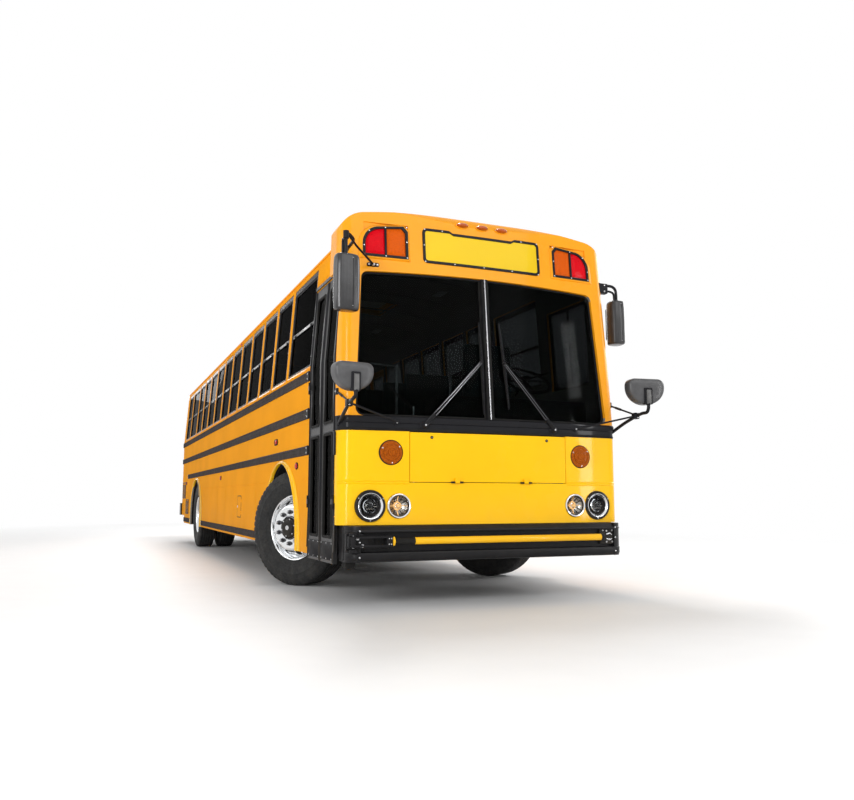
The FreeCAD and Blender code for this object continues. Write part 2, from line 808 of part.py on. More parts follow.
def left_windows():
    """(front, rear) pillar centres of the left side's windows, without the emergency door's bay."""
    first = NOSE + S.left_first_pillar
    bays = [(NOSE + S.second_window_front - S.pillar_half, first)]
    bays += [(first + S.bay * i, first + S.bay * (i + 1)) for i in range(LEFT_BAYS) if i != EMERGENCY_BAY]
    return bays


def window_boxes(side):
    """The openings of the passenger windows on one side."""
    bays = right_windows() if side == RIGHT else left_windows()
    rows = []
    for front, rear in bays:
        span = (front + S.pillar_half, rear - S.pillar_half)
        rows.append(side_box(side, (INSIDE - 150, WIDE), span, (S.window_bottom, S.window_top)))
    if side == LEFT:
        rows.append(driver_window_tool())
    return rows


def driver_window_tool():
    span = from_nose(S.driver_window_front, S.driver_window_rear)
    return side_box(LEFT, (INSIDE - 150, WIDE), span, (S.driver_window_bottom, S.driver_window_top))


EMERGENCY = (
    NOSE + S.left_first_pillar + S.bay * EMERGENCY_BAY + 30,
    NOSE + S.left_first_pillar + S.bay * (EMERGENCY_BAY + 1) - 30,
)


def body_shell(outer=0, inner=S.wall, bottom=S.skirt_bottom):
    """The body's skin between its ends, from one depth under the surface to another."""
    whole = body_section(sized(outer), SIDE_SPAN, bottom)
    hollow = body_section(sized(inner), (SIDE_SPAN[0] - 60, SIDE_SPAN[1] + 60), bottom - 40)
    return cut(whole, hollow)


def arch_tools(side):
    """The two wheel openings of one side."""
    tools = []
    centre = S.arch_top - S.arch_radius
    across = (INSIDE - 80, WIDE)
    for axle in (FRONT_AXLE, REAR_AXLE):
        span = (axle - S.arch_radius, axle + S.arch_radius)
        tools.append(side_cylinder(side, S.arch_radius, across, axle, centre))
        tools.append(side_box(side, across, span, (200, centre)))
    return tools


def rear_corner_tool(side):
    """The wedge that lifts the walls' lower edge behind the rear wheels."""
    return side_box(side, (INSIDE - 80, WIDE), (TAIL - 610, TAIL + 50), (200, S.rear_bumper_bottom))


def side_walls():
    end = S.front_depth
    upper_front = [
        side_box(side, (0, WIDE), (NOSE - 10, NOSE + end), (S.panel_bottom, S.roof_height + 50))
        for side in (RIGHT, LEFT)
    ]
    right = side_box(RIGHT, (0, WIDE), (NOSE, TAIL), (200, S.gutter_height))
    node(
        "right_side_wall",
        cut(
            common(body_shell(), right),
            upper_front[0],
            doorway_tool(),
            *window_boxes(RIGHT),
            *arch_tools(RIGHT),
            rear_corner_tool(RIGHT),
        ),
    )
    left = side_box(LEFT, (0, WIDE), (NOSE, TAIL), (200, S.gutter_height))
    way = side_box(LEFT, (INSIDE - 150, WIDE), EMERGENCY, (S.emergency_bottom, S.emergency_top))
    node(
        "left_side_wall",
        cut(
            common(body_shell(), left),
            upper_front[1],
            way,
            *window_boxes(LEFT),
            *arch_tools(LEFT),
            rear_corner_tool(LEFT),
        ),
    )


ROOF_HATCHES = {"front_roof_hatch": S.front_roof_hatch, "rear_roof_hatch": S.rear_roof_hatch}


def curb_bars(near, far):
    """The four bars of the curb round a roof hatch."""
    outer = S.curb_half
    inner = S.curb_half - S.curb_bar
    heights = (S.roof_height - 40, S.curb_top)
    return [
        box((-outer, outer), (near, near + S.curb_bar), heights),
        box((-outer, outer), (far - S.curb_bar, far), heights),
        box((-outer, -inner), (near + S.curb_bar, far - S.curb_bar), heights),
        box((inner, outer), (near + S.curb_bar, far - S.curb_bar), heights),
    ]


def roof():
    """The roof's sheets, with the curbs and lids of its two hatches."""
    heights = (S.gutter_height, S.roof_height + 50)
    skin = body_shell()
    parts = []
    front = NOSE + S.front_depth
    for name, place in ROOF_HATCHES.items():
        near, far = from_nose(place - S.curb_half, place + S.curb_half)
        parts.append(common(skin, box((-WIDE, WIDE), (front, near), heights)))
        parts.append(common(skin, box((-WIDE, -S.curb_half), (near, far), heights)))
        parts.append(common(skin, box((S.curb_half, WIDE), (near, far), heights)))
        parts.extend(curb_bars(near, far))
        front = far
        lid = S.hatch_lid_half
        low = S.curb_top + S.seat_gap
        edges = from_nose(place - lid, place + lid)
        hinges = [lid_hinge(x, edges[0] - 8, low + S.lid_thickness / 2) for x in (-200, 200)]
        node(name, hinged(box((-lid, lid), edges, (low, low + S.lid_thickness)), hinges))
    parts.append(common(skin, box((-WIDE, WIDE), (front, TAIL), heights)))
    node("roof", group(parts))


def horn_slots():
    """Slots in the rear wall for the brackets that carry the rear bumper."""
    across = (S.frame_half - S.frame_flange - 5, S.frame_half + 5)
    heights = (S.rear_bumper_bottom + 25, S.rear_bumper_top - 25)
    return [side_box(side, across, (TAIL - 150, TAIL + 50), heights) for side in (RIGHT, LEFT)]


def rear_pieces():
    through = (TAIL - 150, TAIL + 50)
    window_heights = (S.rear_window_bottom, S.rear_window_top)
    window = box((-S.rear_window_half, S.rear_window_half), through, window_heights)
    door_heights = (S.engine_door_bottom, S.engine_door_top)
    way = box((-S.engine_door_half, S.engine_door_half), through, door_heights)
    whole = box((-WIDE, WIDE), (TAIL - S.rear_depth, TAIL + 50), (S.rear_bumper_bottom, S.roof_height + 50))
    node(
        "rear_wall",
        cut(
            common(shell(rear_solid, S.wall), whole),
            window,
            way,
            *horn_slots(),
            *warning_boxes(TAIL, -1),
            *tail_cylinders(S.seat_gap),
        ),
    )
    gap = S.moving_gap
    half = S.engine_door_half - gap
    door = box((-half, half), through, (S.engine_door_bottom + gap, S.engine_door_top - gap))
    plate = common(shell(rear_solid, S.wall), door)
    hinges = [across_hinge(x, TAIL + S.hinge_out, S.engine_door_top - 3, 1) for x in (-500, 500)]
    node("engine_door", hinged(plate, hinges))
    return common(shell(rear_solid, S.glass_depth + S.glass, S.glass_depth), window)


def window_glass(rear_pane):
    """Every fixed pane of the body but the windshield."""
    skin = body_shell(S.glass_depth, S.glass_depth + S.glass)
    panes = common(skin, group(window_boxes(RIGHT) + window_boxes(LEFT)))
    node("window_glass", group([panes, rear_pane]))


def leaf_and_glass(name, side, span, heights, windows, hinges):
    """A door leaf that follows the wall, its windows cut, and the glass in them."""
    bottom = S.door_bottom - 50
    depth = (S.leaf - S.glass) / 2
    blank = side_box(side, (INSIDE - 150, WIDE), span, heights)
    holes = group([side_box(side, (INSIDE - 150, WIDE), *w) for w in windows])
    node(name, hinged(cut(common(body_shell(0, S.leaf, bottom), blank), holes), hinges))
    node(f"{name}_glass", common(body_shell(depth, depth + S.glass, bottom), holes))


def doors():
    gap = S.moving_gap
    middle = NOSE + (S.door_front + S.door_rear) / 2
    heights = (S.door_bottom, S.door_top - gap)
    leaves = [
        ("entrance_front_leaf", (DOORWAY[0] + gap, middle - S.door_meeting / 2), DOORWAY[0] + 3, 1),
        ("entrance_rear_leaf", (middle + S.door_meeting / 2, DOORWAY[1] - gap), DOORWAY[1] - 3, -1),
    ]
    for name, span, axis, way in leaves:
        clear = (span[0] + S.door_stile, span[1] - S.door_stile)
        panes = [
            (clear, (S.door_bottom + 190, S.door_rail_height - 45)),
            (clear, (S.door_rail_height + 45, S.door_top - 90)),
        ]
        hinges = [upright_hinge(RIGHT, axis, low, way) for low in (720, 1660)]
        leaf_and_glass(name, RIGHT, span, heights, panes, hinges)
    span = (EMERGENCY[0] + gap, EMERGENCY[1] - 12)
    heights = (S.emergency_bottom + gap, S.emergency_top - gap)
    clear = (span[0] + 75, span[1] - 75)
    panes = [(clear, (S.window_bottom + 20, S.window_top - 110)), (clear, (1290, 1720))]
    hinges = [upright_hinge(LEFT, EMERGENCY[0] + 3, low, 1) for low in (1255, 1640)]
    leaf_and_glass("emergency_door", LEFT, span, heights, panes, hinges)


# ---------------------------------------------------------------- bumpers, rails, trims


def bumper_path(face, inward, length, height):
    """The bumper's outer line: an end, a corner, the face, a corner and an end."""
    half = S.bumper_half
    r = S.bumper_corner
    back = face + inward * length
    turn = sized(inward)
    corners = [
        (-half, back),
        (-half, face + inward * r, turn * r),
        (-(half - r), face),
        (half - r, face, turn * r),
        (half, face + inward * r),
        (half, back),
    ]
    return outline("XY", height, corners, closed=False)


def front_bumper():
    face = NOSE - S.bumper_reach
    plate = S.bumper_plate
    back = S.bumper_depth
    deep = S.channel_depth
    section = [
        (back, S.bumper_top),
        (0, S.bumper_top),
        (0, S.channel_top),
        (deep, S.channel_top),
        (deep, S.channel_bottom),
        (0, S.channel_bottom),
        (0, S.bumper_bottom),
        (back, S.bumper_bottom),
        (back, S.bumper_bottom + plate),
        (plate, S.bumper_bottom + plate),
        (plate, S.channel_bottom - plate),
        (deep + plate, S.channel_bottom - plate),
        (deep + plate, S.channel_top + plate),
        (plate, S.channel_top + plate),
        (plate, S.bumper_top - plate),
        (back, S.bumper_top - plate),
    ]
    corners = [(-S.bumper_half + depth, height) for depth, height in section]
    length = S.bumper_return + S.bumper_reach
    profile = outline("XZ", face + length, corners)
    node("front_bumper", sweep(profile, bumper_path(face, 1, length, S.bumper_bottom), 5))


def rear_bumper():
    face = TAIL + S.rear_bumper_reach
    plate = S.bumper_plate
    back = S.bumper_depth
    section = [
        (back, S.rear_bumper_top),
        (0, S.rear_bumper_top),
        (0, S.rear_bumper_bottom),
        (back, S.rear_bumper_bottom),
        (back, S.rear_bumper_bottom + plate),
        (plate, S.rear_bumper_bottom + plate),
        (plate, S.rear_bumper_top - plate),
        (back, S.rear_bumper_top - plate),
    ]
    corners = [(-S.bumper_half - 30 + depth, height) for depth, height in section]
    profile = outline("XZ", face - S.rear_bumper_return, corners)
    half = S.bumper_half + 30
    r = S.bumper_corner
    back_y = face - S.rear_bumper_return
    path = [
        (-half, back_y),
        (-half, face - r, -r),
        (-(half - r), face),
        (half - r, face, -r),
        (half, face - r),
        (half, back_y),
    ]
    bar = sweep(profile, outline("XY", S.rear_bumper_bottom, path, closed=False), 5)
    beside = S.half_width + S.seat_gap
    body = box((-beside, beside), (back_y - 10, TAIL), (S.rear_bumper_bottom - 50, S.rear_bumper_top + 50))
    node("rear_bumper", cut(bar, body))


FRONT_FLARE_END = S.front_axle_place + S.flare_radius + 12
REAR_FLARE_START = S.front_axle_place + S.wheelbase - S.flare_radius - 12
REAR_FLARE_END = S.front_axle_place + S.wheelbase + S.flare_radius + 12
RUB_RAILS = [
    # low edge, high edge, front, rear; measured from the front panel
    (1779, 1864, S.door_rear + 20, S.rail_rear),
    (1460, 1548, S.door_rear + 20, S.rail_rear),
    (1155, 1234, S.door_rear + 20, sized(9882)),
    (S.skirt_low, S.skirt_high, FRONT_FLARE_END, REAR_FLARE_START),
    (S.skirt_low, S.skirt_high, REAR_FLARE_END, S.body_length - 620),
]


def rub_rails():
    rails = []
    for side in (RIGHT, LEFT):
        for low, high, front, rear in RUB_RAILS:
            spans = [from_nose(front, rear)]
            if side == LEFT and sized(low).value > S.emergency_bottom.value:
                spans = [(NOSE + front, EMERGENCY[0] - 15), (EMERGENCY[1] + 15, NOSE + rear)]
            for span in spans:
                rails.append(side_box(side, (S.half_width, S.half_width + S.rail_proud), span, (low, high)))
    node("rub_rails", group(rails))


def arch_trims():
    trims = []
    for side in (RIGHT, LEFT):
        start = S.half_width if side == LEFT else -(S.half_width + S.flare_proud)
        for axle in (FRONT_AXLE, REAR_AXLE):
            centre = S.flare_top - S.flare_radius
            rim = cylinder("X", S.flare_radius, S.flare_proud, start, axle, centre)
            legs = side_box(
                side,
                (S.half_width, S.half_width + S.flare_proud),
                (axle - S.flare_radius, axle + S.flare_radius),
                (S.skirt_bottom, centre),
            )
            under = side_box(side, (INSIDE, WIDE), (axle - 900, axle + 900), (-700, S.skirt_bottom))
            trims.append(cut(cut(fuse(rim, legs), under), *arch_tools(side)))
    node("wheel_arch_trims", group(trims))


def lamps():
    node("headlamps", group(lamp_cylinders(0)))
    node("signal_lamps", group(turn_cylinders(0) + tail_cylinders(0)))
    node("warning_lamps", group(warning_boxes(FRONT_WARNING_FACE, 1) + warning_boxes(TAIL, -1)))


# ---------------------------------------------------------------- mirrors and wipers


def wiper_bosses(gap):
    return [
        cylinder("Y", 20 + gap, 90, side * sized(566), NOSE - 40, 1340)
        for side in (RIGHT, LEFT)
    ]


def wipers():
    """Arms from the cowl to the long upright blades."""
    pieces = []
    for side, x_blade in ((RIGHT, -68), (LEFT, 136)):
        boss = cylinder("Y", 20, 90, side * sized(566), NOSE - 40, 1340)
        arm = tube(8, (side * sized(566), NOSE - 30, sized(1340)), (sized(x_blade), NOSE + 12, sized(1875)))
        blade = [
            (NOSE - 31, sized(1475)),
            (NOSE - 15, sized(1475)),
            (NOSE + 54, sized(2215)),
            (NOSE + 38, sized(2215)),
        ]
        pieces.append(fuse(boss, arm, prism("YZ", (x_blade - 7, x_blade + 7), blade)))
    node("wipers", group(pieces))


def arm_bosses(gap):
    """The rear-view mirrors' bosses: the right one in the front, the left one behind the corner."""
    return [
        cylinder("Y", 17 + gap, 150, -sized(944), NOSE + 50, 2593),
        side_cylinder(LEFT, 17 + gap, (1140, 1232), NOSE + S.left_mirror_place, 2630),
    ]


def mirror_bosses(gap):
    """Round bosses in the front cap that carry the mirrors' upper arms."""
    upper = [side_cylinder(side, 12 + gap, (1155, 1236), NOSE + 150, 1593) for side in (RIGHT, LEFT)]
    return arm_bosses(gap) + upper


def cowl_bosses(gap):
    """Round bosses in the cowl band that carry the crossover mirrors' lower arms."""
    bosses = []
    for side in (RIGHT, LEFT):
        bosses.append(side_cylinder(side, 17 + gap, (1140, 1232), NOSE + 114, 1345))
        bosses.append(cylinder("Y", 12 + gap, 90, side * sized(786), NOSE - 20, 1358))
    return bosses


def rear_view_mirrors():
    """The right head hangs ahead of the windshield, the left one beside the driver's window."""
    ahead = NOSE - S.mirror_reach
    beside = NOSE + S.left_mirror_place
    right_boss, left_boss = arm_bosses(0)
    right_head = side_box(RIGHT, (1215, 1385), (ahead, ahead + 70), (2100, 2500))
    right_arm = tube(
        12,
        (-sized(944), NOSE + 60, sized(2593)),
        (-sized(1200), ahead + 200, sized(2660)),
        (-sized(1300), ahead + 35, sized(2640)),
        (-sized(1300), ahead + 35, sized(2490)),
    )
    left_head = side_box(LEFT, (1275, 1425), (beside - 45, beside + 45), (2140, 2528))
    left_arm = tube(
        12,
        (sized(1222), beside, sized(2635)),
        (sized(1340), beside, sized(2665)),
        (sized(1372), beside, sized(2620)),
        (sized(1372), beside, sized(2500)),
    )
    right = fuse(right_boss, right_arm, right_head)
    left = fuse(left_boss, left_arm, left_head)
    node("rear_view_mirrors", group([right, left]))


def crossover_mirrors():
    """Half-oval heads ahead of the front corners, each on three struts that meet in a ball."""
    pieces = []
    front = NOSE - S.mirror_reach
    for side in (RIGHT, LEFT):
        middle = side * sized(1237)
        head = prism(
            "XZ",
            (front + 20, front + 110),
            [
                (middle - 150, sized(1755)),
                (middle - 150, sized(1690), sized(152)),
                (middle + 150, sized(1690)),
                (middle + 150, sized(1755)),
            ],
        )
        joint = (side * sized(1225), front + 190, sized(1475))
        feet = [
            (side * sized(1222), NOSE + 110, sized(1345)),
            (side * sized(786), NOSE - 12, sized(1358)),
            (side * sized(1226), NOSE + 146, sized(1590)),
            (middle, front + 65, sized(1560)),
        ]
        struts = [tube(radius, foot, joint) for radius, foot in zip((14, 8, 8, 14), feet)]
        bosses = [
            side_cylinder(side, 17, (1140, 1232), NOSE + 114, 1345),
            cylinder("Y", 12, 90, side * sized(786), NOSE - 20, 1358),
            side_cylinder(side, 12, (1155, 1236), NOSE + 150, 1593),
        ]
        pieces.append(fuse(head, ball(24, *joint), *struts, *bosses))
    node("crossover_mirrors", group(pieces))


# ---------------------------------------------------------------- cabin


def cabin_floor():
    """Floor panels round the stairs, on joists that stand on the chassis rails."""
    low = S.floor_top - S.floor_plate
    rear = TAIL - S.body_length + S.deck_front
    stairs = from_nose(S.door_front + S.wall, S.door_rear)
    heights = (low, S.floor_top)
    panels = [
        box((-1000, 1000), (NOSE + 90, stairs[0]), heights),
        box((-step_inner(), 1000), (stairs[0], NOSE + 250), heights),
        box((-step_inner(), INSIDE), (NOSE + 250, stairs[1]), heights),
        box((-INSIDE, INSIDE), (stairs[1], rear + 30), heights),
    ]
    joists = []
    for i in range(14):
        place = NOSE + 300 + S.bay * i
        if place.value + S.joist.value < rear.value:
            joists.append(box((-INSIDE, INSIDE), (place, place + S.joist), (S.frame_top, low)))
    joist_well = side_box(RIGHT, (step_inner() - S.step_plate, WIDE), stairs, (S.frame_top - 50, low))
    node("cabin_floor", group([*panels, cut(group(joists), joist_well, *wheel_clearances())]))


def wheel_clearances():
    """Room over each wheel in the floor's joists."""
    room = []
    top = S.wheel_radius * 2 + 40
    for axle in (FRONT_AXLE, REAR_AXLE):
        for side in (RIGHT, LEFT):
            room.append(side_box(side, (480, WIDE), (axle - 640, axle + 640), (S.frame_top - 50, top)))
    return room


def step_inner():
    return INSIDE - S.step_run * 4


def entrance_steps():
    rise = (S.floor_top - S.step_bottom) / 4
    plate = S.step_plate
    outer = INSIDE - 4
    top_line = []
    for i in range(4):
        x = INSIDE - S.step_run * i if i else outer
        height = S.step_bottom + rise * i
        top_line.append((-x, height))
        top_line.append((-(INSIDE - S.step_run * (i + 1)), height))
    end = S.floor_top - S.floor_plate
    top_line.append((-step_inner(), end))
    under = [(-(step_inner() - plate), end)]
    for i in reversed(range(4)):
        height = S.step_bottom + rise * i - plate
        under.append((-(INSIDE - S.step_run * (i + 1)) + plate, height))
        x = INSIDE - S.step_run * i - plate if i else outer
        under.append((-x, height))
    span = from_nose(S.door_front + S.wall + 4, S.door_rear - 4)
    node("entrance_steps", prism("XZ", span, top_line + under))


def engine_deck():
    front = NOSE + S.deck_front
    rear = TAIL - S.rear_corner - 20
    corners = [
        (front, S.floor_top),
        (front + 30, S.floor_top),
        (front + 30, S.deck_top - 30),
        (rear, S.deck_top - 30),
        (rear, S.deck_top),
        (front, S.deck_top),
    ]
    node("engine_deck", prism("YZ", (-INSIDE, INSIDE), corners))


SEAT_ROWS = 11


def seat_places():
    """(side, front of the row) of every passenger seat."""
    places = []
    for side in (RIGHT, LEFT):
        for i in range(SEAT_ROWS):
            start = NOSE + S.seat_first + S.bay * i
            blocked = side == LEFT and i in (5, 6)
            if not blocked:
                places.append((side, start))
    return places


def seats():
    cushions = []
    backs = []
    frames = []
    for side, start in seat_places():
        top = S.seat_height + S.cushion_height
        rear = start + S.cushion_depth
        cushions.append(side_box(side, (S.seat_aisle, INSIDE), (start, rear), (S.seat_height, top)))
        wide = INSIDE - 30
        behind = (rear, rear + S.back_thickness)
        backs.append(side_box(side, (S.seat_aisle, wide), behind, (S.seat_height, S.back_top)))
        leg = (S.seat_aisle + 30, S.seat_aisle + 70)
        frames.append(side_box(side, leg, (start + 50, rear - 50), (S.floor_top, S.seat_height)))
    node("seat_cushions", group(cushions))
    node("seat_backs", group(backs))
    node("seat_frames", group(frames))


def driver_place():
    x = 620
    y = NOSE + 790
    base = box((x - 130, x + 130), (y + 60, y + 360), (S.floor_top, 1500))
    cushion = box((x - 260, x + 260), (y, y + 470), (1500, 1620))
    back = box((x - 250, x + 250), (y + 470, y + 580), (1560, 2280))
    node("driver_seat", fuse(base, cushion, back))
    corners = [
        (NOSE + 95, S.floor_top),
        (NOSE + 300, S.floor_top),
        (NOSE + 300, sized(1400)),
        (NOSE + 360, sized(1480)),
        (NOSE + 330, sized(1570)),
        (NOSE + 110, sized(1600)),
        (NOSE + 95, sized(1560)),
    ]
    node("dashboard", prism("YZ", (-420, 940), corners))
    rim = doc.addObject("Part::Torus", "Torus")
    bind(rim, "Radius1", S.steering_wheel_radius)
    rim.Radius2 = 15
    put(rim, x, NOSE + 560, sized(1830), Rotation(Vector(1, 0, 0), 35))
    column = tube(22, (sized(x), NOSE + 345, sized(1525)), (sized(x), NOSE + 562, sized(1832)))
    hub = (sized(x), NOSE + 560, sized(1830))
    ends = [
        (hub[0] + S.steering_wheel_radius, hub[1], hub[2]),
        (hub[0] - S.steering_wheel_radius, hub[1], hub[2]),
        (hub[0], hub[1] - S.steering_wheel_radius * 0.819, hub[2] - S.steering_wheel_radius * 0.5736),
    ]
    spokes = [tube(9, hub, end) for end in ends]
    node("steering_wheel", cut(fuse(rim, column, *spokes), prism("YZ", (-420, 940), corners)))


# ---------------------------------------------------------------- chassis


def chassis_rail(side):
    """One channel rail with its end brackets, spring hangers and towing holes."""
    inner = S.frame_half - S.frame_flange
    plate = S.frame_plate
    front = NOSE + 60
    rear = TAIL - 90
    corners = [
        (side * inner, S.frame_bottom),
        (side * S.frame_half, S.frame_bottom),
        (side * S.frame_half, S.frame_top),
        (side * inner, S.frame_top),
        (side * inner, S.frame_top - plate),
        (side * (S.frame_half - plate), S.frame_top - plate),
        (side * (S.frame_half - plate), S.frame_bottom + plate),
        (side * inner, S.frame_bottom + plate),
    ]
    rail = (inner, S.frame_half)
    front_face = NOSE - S.bumper_reach + S.channel_depth + S.bumper_plate
    front_heights = (S.channel_bottom + 20, S.channel_top - 20)
    rear_face = TAIL + S.rear_bumper_reach - S.bumper_plate
    rear_heights = (S.rear_bumper_bottom + 30, S.rear_bumper_top - 30)
    pieces = [
        prism("XZ", (front, rear), corners),
        side_box(side, rail, (front_face, front + 120), front_heights),
        side_box(side, rail, (front + 30, front + 120), (front_heights[0], S.frame_bottom)),
        side_box(side, rail, (rear - 120, rear_face), rear_heights),
        side_box(side, rail, (rear - 120, rear), (rear_heights[0], S.frame_bottom)),
    ]
    for axle, spring_top in ((FRONT_AXLE, 620), (REAR_AXLE, 680)):
        for way in (-1, 1):
            y = axle + way * (S.spring_half_length - 40)
            across = (inner + 20, S.frame_half)
            pieces.append(side_box(side, across, (y - 30, y + 30), (spring_top, S.frame_bottom)))
    middle = (inner + S.frame_half) / 2
    pins = [
        side_cylinder_up(side, S.tow_pin_radius, middle, y, low - 10, high - low + 20)
        for y, (low, high) in (
            (NOSE + S.front_tow_place, front_heights),
            (TAIL + S.rear_tow_place, rear_heights),
        )
    ]
    return cut(fuse(*pieces), *pins)


def chassis_frame():
    node("chassis_frame", group([chassis_rail(RIGHT), chassis_rail(LEFT)]))
    web = S.frame_half - S.frame_plate
    heights = (S.frame_bottom + 40, S.frame_top - 60)
    members = [
        box((-web, web), from_nose(place, place + 60), heights)
        for place in (300, 1300, 2700, 4200, 5700, 7200, 9300)
    ]
    node("frame_cross_members", group(members))


def springs(axle, low, high):
    outer = S.frame_half + 12
    return [
        side_box(
            side,
            (outer - S.spring_width, outer),
            (axle - S.spring_half_length, axle + S.spring_half_length),
            (low, high),
        )
        for side in (RIGHT, LEFT)
    ]


def front_axle():
    centre = S.wheel_radius
    across = (-S.kingpin_place, S.kingpin_place)
    beam = box(across, (FRONT_AXLE - 45, FRONT_AXLE + 45), (centre - 50, centre + 33))
    parts = [beam] + springs(FRONT_AXLE, 560, 620)
    for side in (RIGHT, LEFT):
        parts.append(cylinder("Z", 50, 100, side * S.kingpin_place, FRONT_AXLE, centre - 50))
        parts.append(cylinder("Z", S.kingpin_radius, 200, side * S.kingpin_place, FRONT_AXLE, centre - 100))
    node("front_axle", fuse(*parts))


def rear_axle():
    centre = S.wheel_radius
    half = S.dual_place - 60
    tube_ = cylinder("X", 75, half * 2, -half, REAR_AXLE, centre)
    housing = cylinder("X", 200, 260, -130, REAR_AXLE, centre)
    pads = [
        side_box(side, (378, 434), (REAR_AXLE - 60, REAR_AXLE + 60), (centre, 620))
        for side in (RIGHT, LEFT)
    ]
    spindle = cylinder("X", S.spindle_radius, (half + 55) * 2, -(half + 55), REAR_AXLE, centre)
    node("rear_axle", fuse(tube_, housing, spindle, *pads, *springs(REAR_AXLE, 620, 680)))


def steered(item, side):
    """Put a piece modelled about its kingpin in place, turned to the stored steering angle."""
    item.Placement = Placement(Vector(0, 0, 0), Rotation(Vector(0, 0, 1), FRONT_STEER_ANGLE))
    bind(item, "Placement.Base.x", side * S.kingpin_place)
    bind(item, "Placement.Base.y", FRONT_AXLE)
    return item


def knuckles():
    centre = S.wheel_radius
    for side, name in ((RIGHT, "right_knuckle"), (LEFT, "left_knuckle")):
        fork = side_box(side, (-45, 78), (-48, 48), (centre - 100, centre + 100))
        slot = side_box(side, (-60, 56), (-60, 60), (centre - 53, centre + 53))
        pin_hole = cylinder("Z", S.kingpin_radius + S.pin_clearance, 260, 0, 0, centre - 130)
        start = 70 if side == LEFT else -(70 + 200)
        spindle = cylinder("X", S.spindle_radius, 200, start, 0, centre)
        node(name, steered(fuse(cut(fork, slot, pin_hole), spindle), side))


def tyre_corners(side, middle):
    """Half-round shouldered tyre section about the plane x = middle."""
    half = S.tyre_width / 2
    bead = S.rim_radius + S.seat_gap
    tread = S.wheel_radius
    side = sized(side)
    points = [
        (-half * 0.69, bead),
        (half * 0.69, bead),
        (half * 0.69, bead + 18, side * 190),
        (half * 0.86, tread - 26, side * 36),
        (half * 0.74, tread),
        (-half * 0.74, tread, side * 36),
        (-half * 0.86, tread - 26, side * 190),
        (-half * 0.69, bead + 18),
    ]
    return [(side * (p[0]) + middle, *p[1:]) for p in points]


def wheel_disc(side, middle, face, way, inner):
    """The rim and its dished disc, as one turned outline, from the barrel to the hub."""
    half = S.tyre_width / 2
    seat = half * 0.69 + 1
    r = S.rim_radius
    s = sized(side)
    w = sized(way)
    rim = [
        (middle - s * (seat + 12), r - 14),
        (middle - s * (seat + 12), r + 13),
        (middle - s * seat, r + 13),
        (middle - s * seat, r),
        (middle + s * seat, r),
        (middle + s * seat, r + 13),
        (middle + s * (seat + 12), r + 13),
        (middle + s * (seat + 12), r - 14),
    ]
    disc = [
        (middle + w * 50, r - 13),
        (middle + w * 72, r - 13),
        (face, sized(185)),
        (face, inner),
        (face - w * 12, inner),
        (face - w * 12, sized(180)),
    ]
    return revolve(rim, S.wheel_radius), revolve(disc, S.wheel_radius)


def wheels():
    centre = S.wheel_radius
    for side, word in ((RIGHT, "right"), (LEFT, "left")):
        s = sized(side)
        middle = s * S.wheel_offset
        node(f"front_{word}_tyre", steered(revolve(tyre_corners(side, middle), centre), side))
        face = s * (S.wheel_offset + 160)
        rim, disc = wheel_disc(side, middle, face, side, sized(44))
        bore = S.spindle_radius + S.pin_clearance
        hub = [
            (s * 92, bore),
            (s * 276, bore),
            (s * 276, 0),
            (s * 360, 0),
            (s * 360, 70),
            (s * 340, 105),
            (s * 312, 110),
            (s * 150, 110),
            (s * 132, 205),
            (s * 60, 205),
            (s * 60, 180),
            (s * 116, 180),
            (s * 116, 110),
            (s * 92, 110),
        ]
        node(f"front_{word}_rim", steered(fuse(rim, disc, revolve(hub, centre)), side))
        tyres = []
        parts = []
        shared = s * S.dual_place
        for way in (-1, 1):
            plane = s * (S.dual_place + way * S.dual_half_spacing)
            tyres.append(revolve(tyre_corners(side, plane), centre))
            parts += wheel_disc(side, plane, shared, -way * side, sized(60))
        hub = [
            (s * 640, 80),
            (s * 850, 80),
            (s * 850, bore),
            (s * 905, bore),
            (s * 905, 0),
            (s * 1060, 0),
            (s * 1060, 75),
            (s * 1035, 108),
            (s * 640, 110),
        ]
        parts.append(revolve(hub, centre))
        for name, item in ((f"rear_{word}_tyres", group(tyres)), (f"rear_{word}_rims", fuse(*parts))):
            item.Placement = Placement(Vector(0, 0, 0), Rotation())
            bind(item, "Placement.Base.y", REAR_AXLE)
            node(name, item)


def running_gear():
    engine = box((-330, 330), from_nose(9990, 10880), (560, 1440))
    lugs = [
        side_box(side, (330, S.frame_half), from_nose(place, place + 120), (S.frame_top, S.frame_top + 25))
        for side in (RIGHT, LEFT)
        for place in (10100, 10600)
    ]
    node("engine_block", fuse(engine, *lugs))
    tank = box((470, 1130), from_nose(3400, 4600), (430, 900))
    straps = box((S.frame_half, 470), from_nose(3600, 3660), (S.frame_bottom, 900))
    other = box((S.frame_half, 470), from_nose(4340, 4400), (S.frame_bottom, 900))
    node("fuel_tank", fuse(tank, straps, other))


# ---------------------------------------------------------------- arms


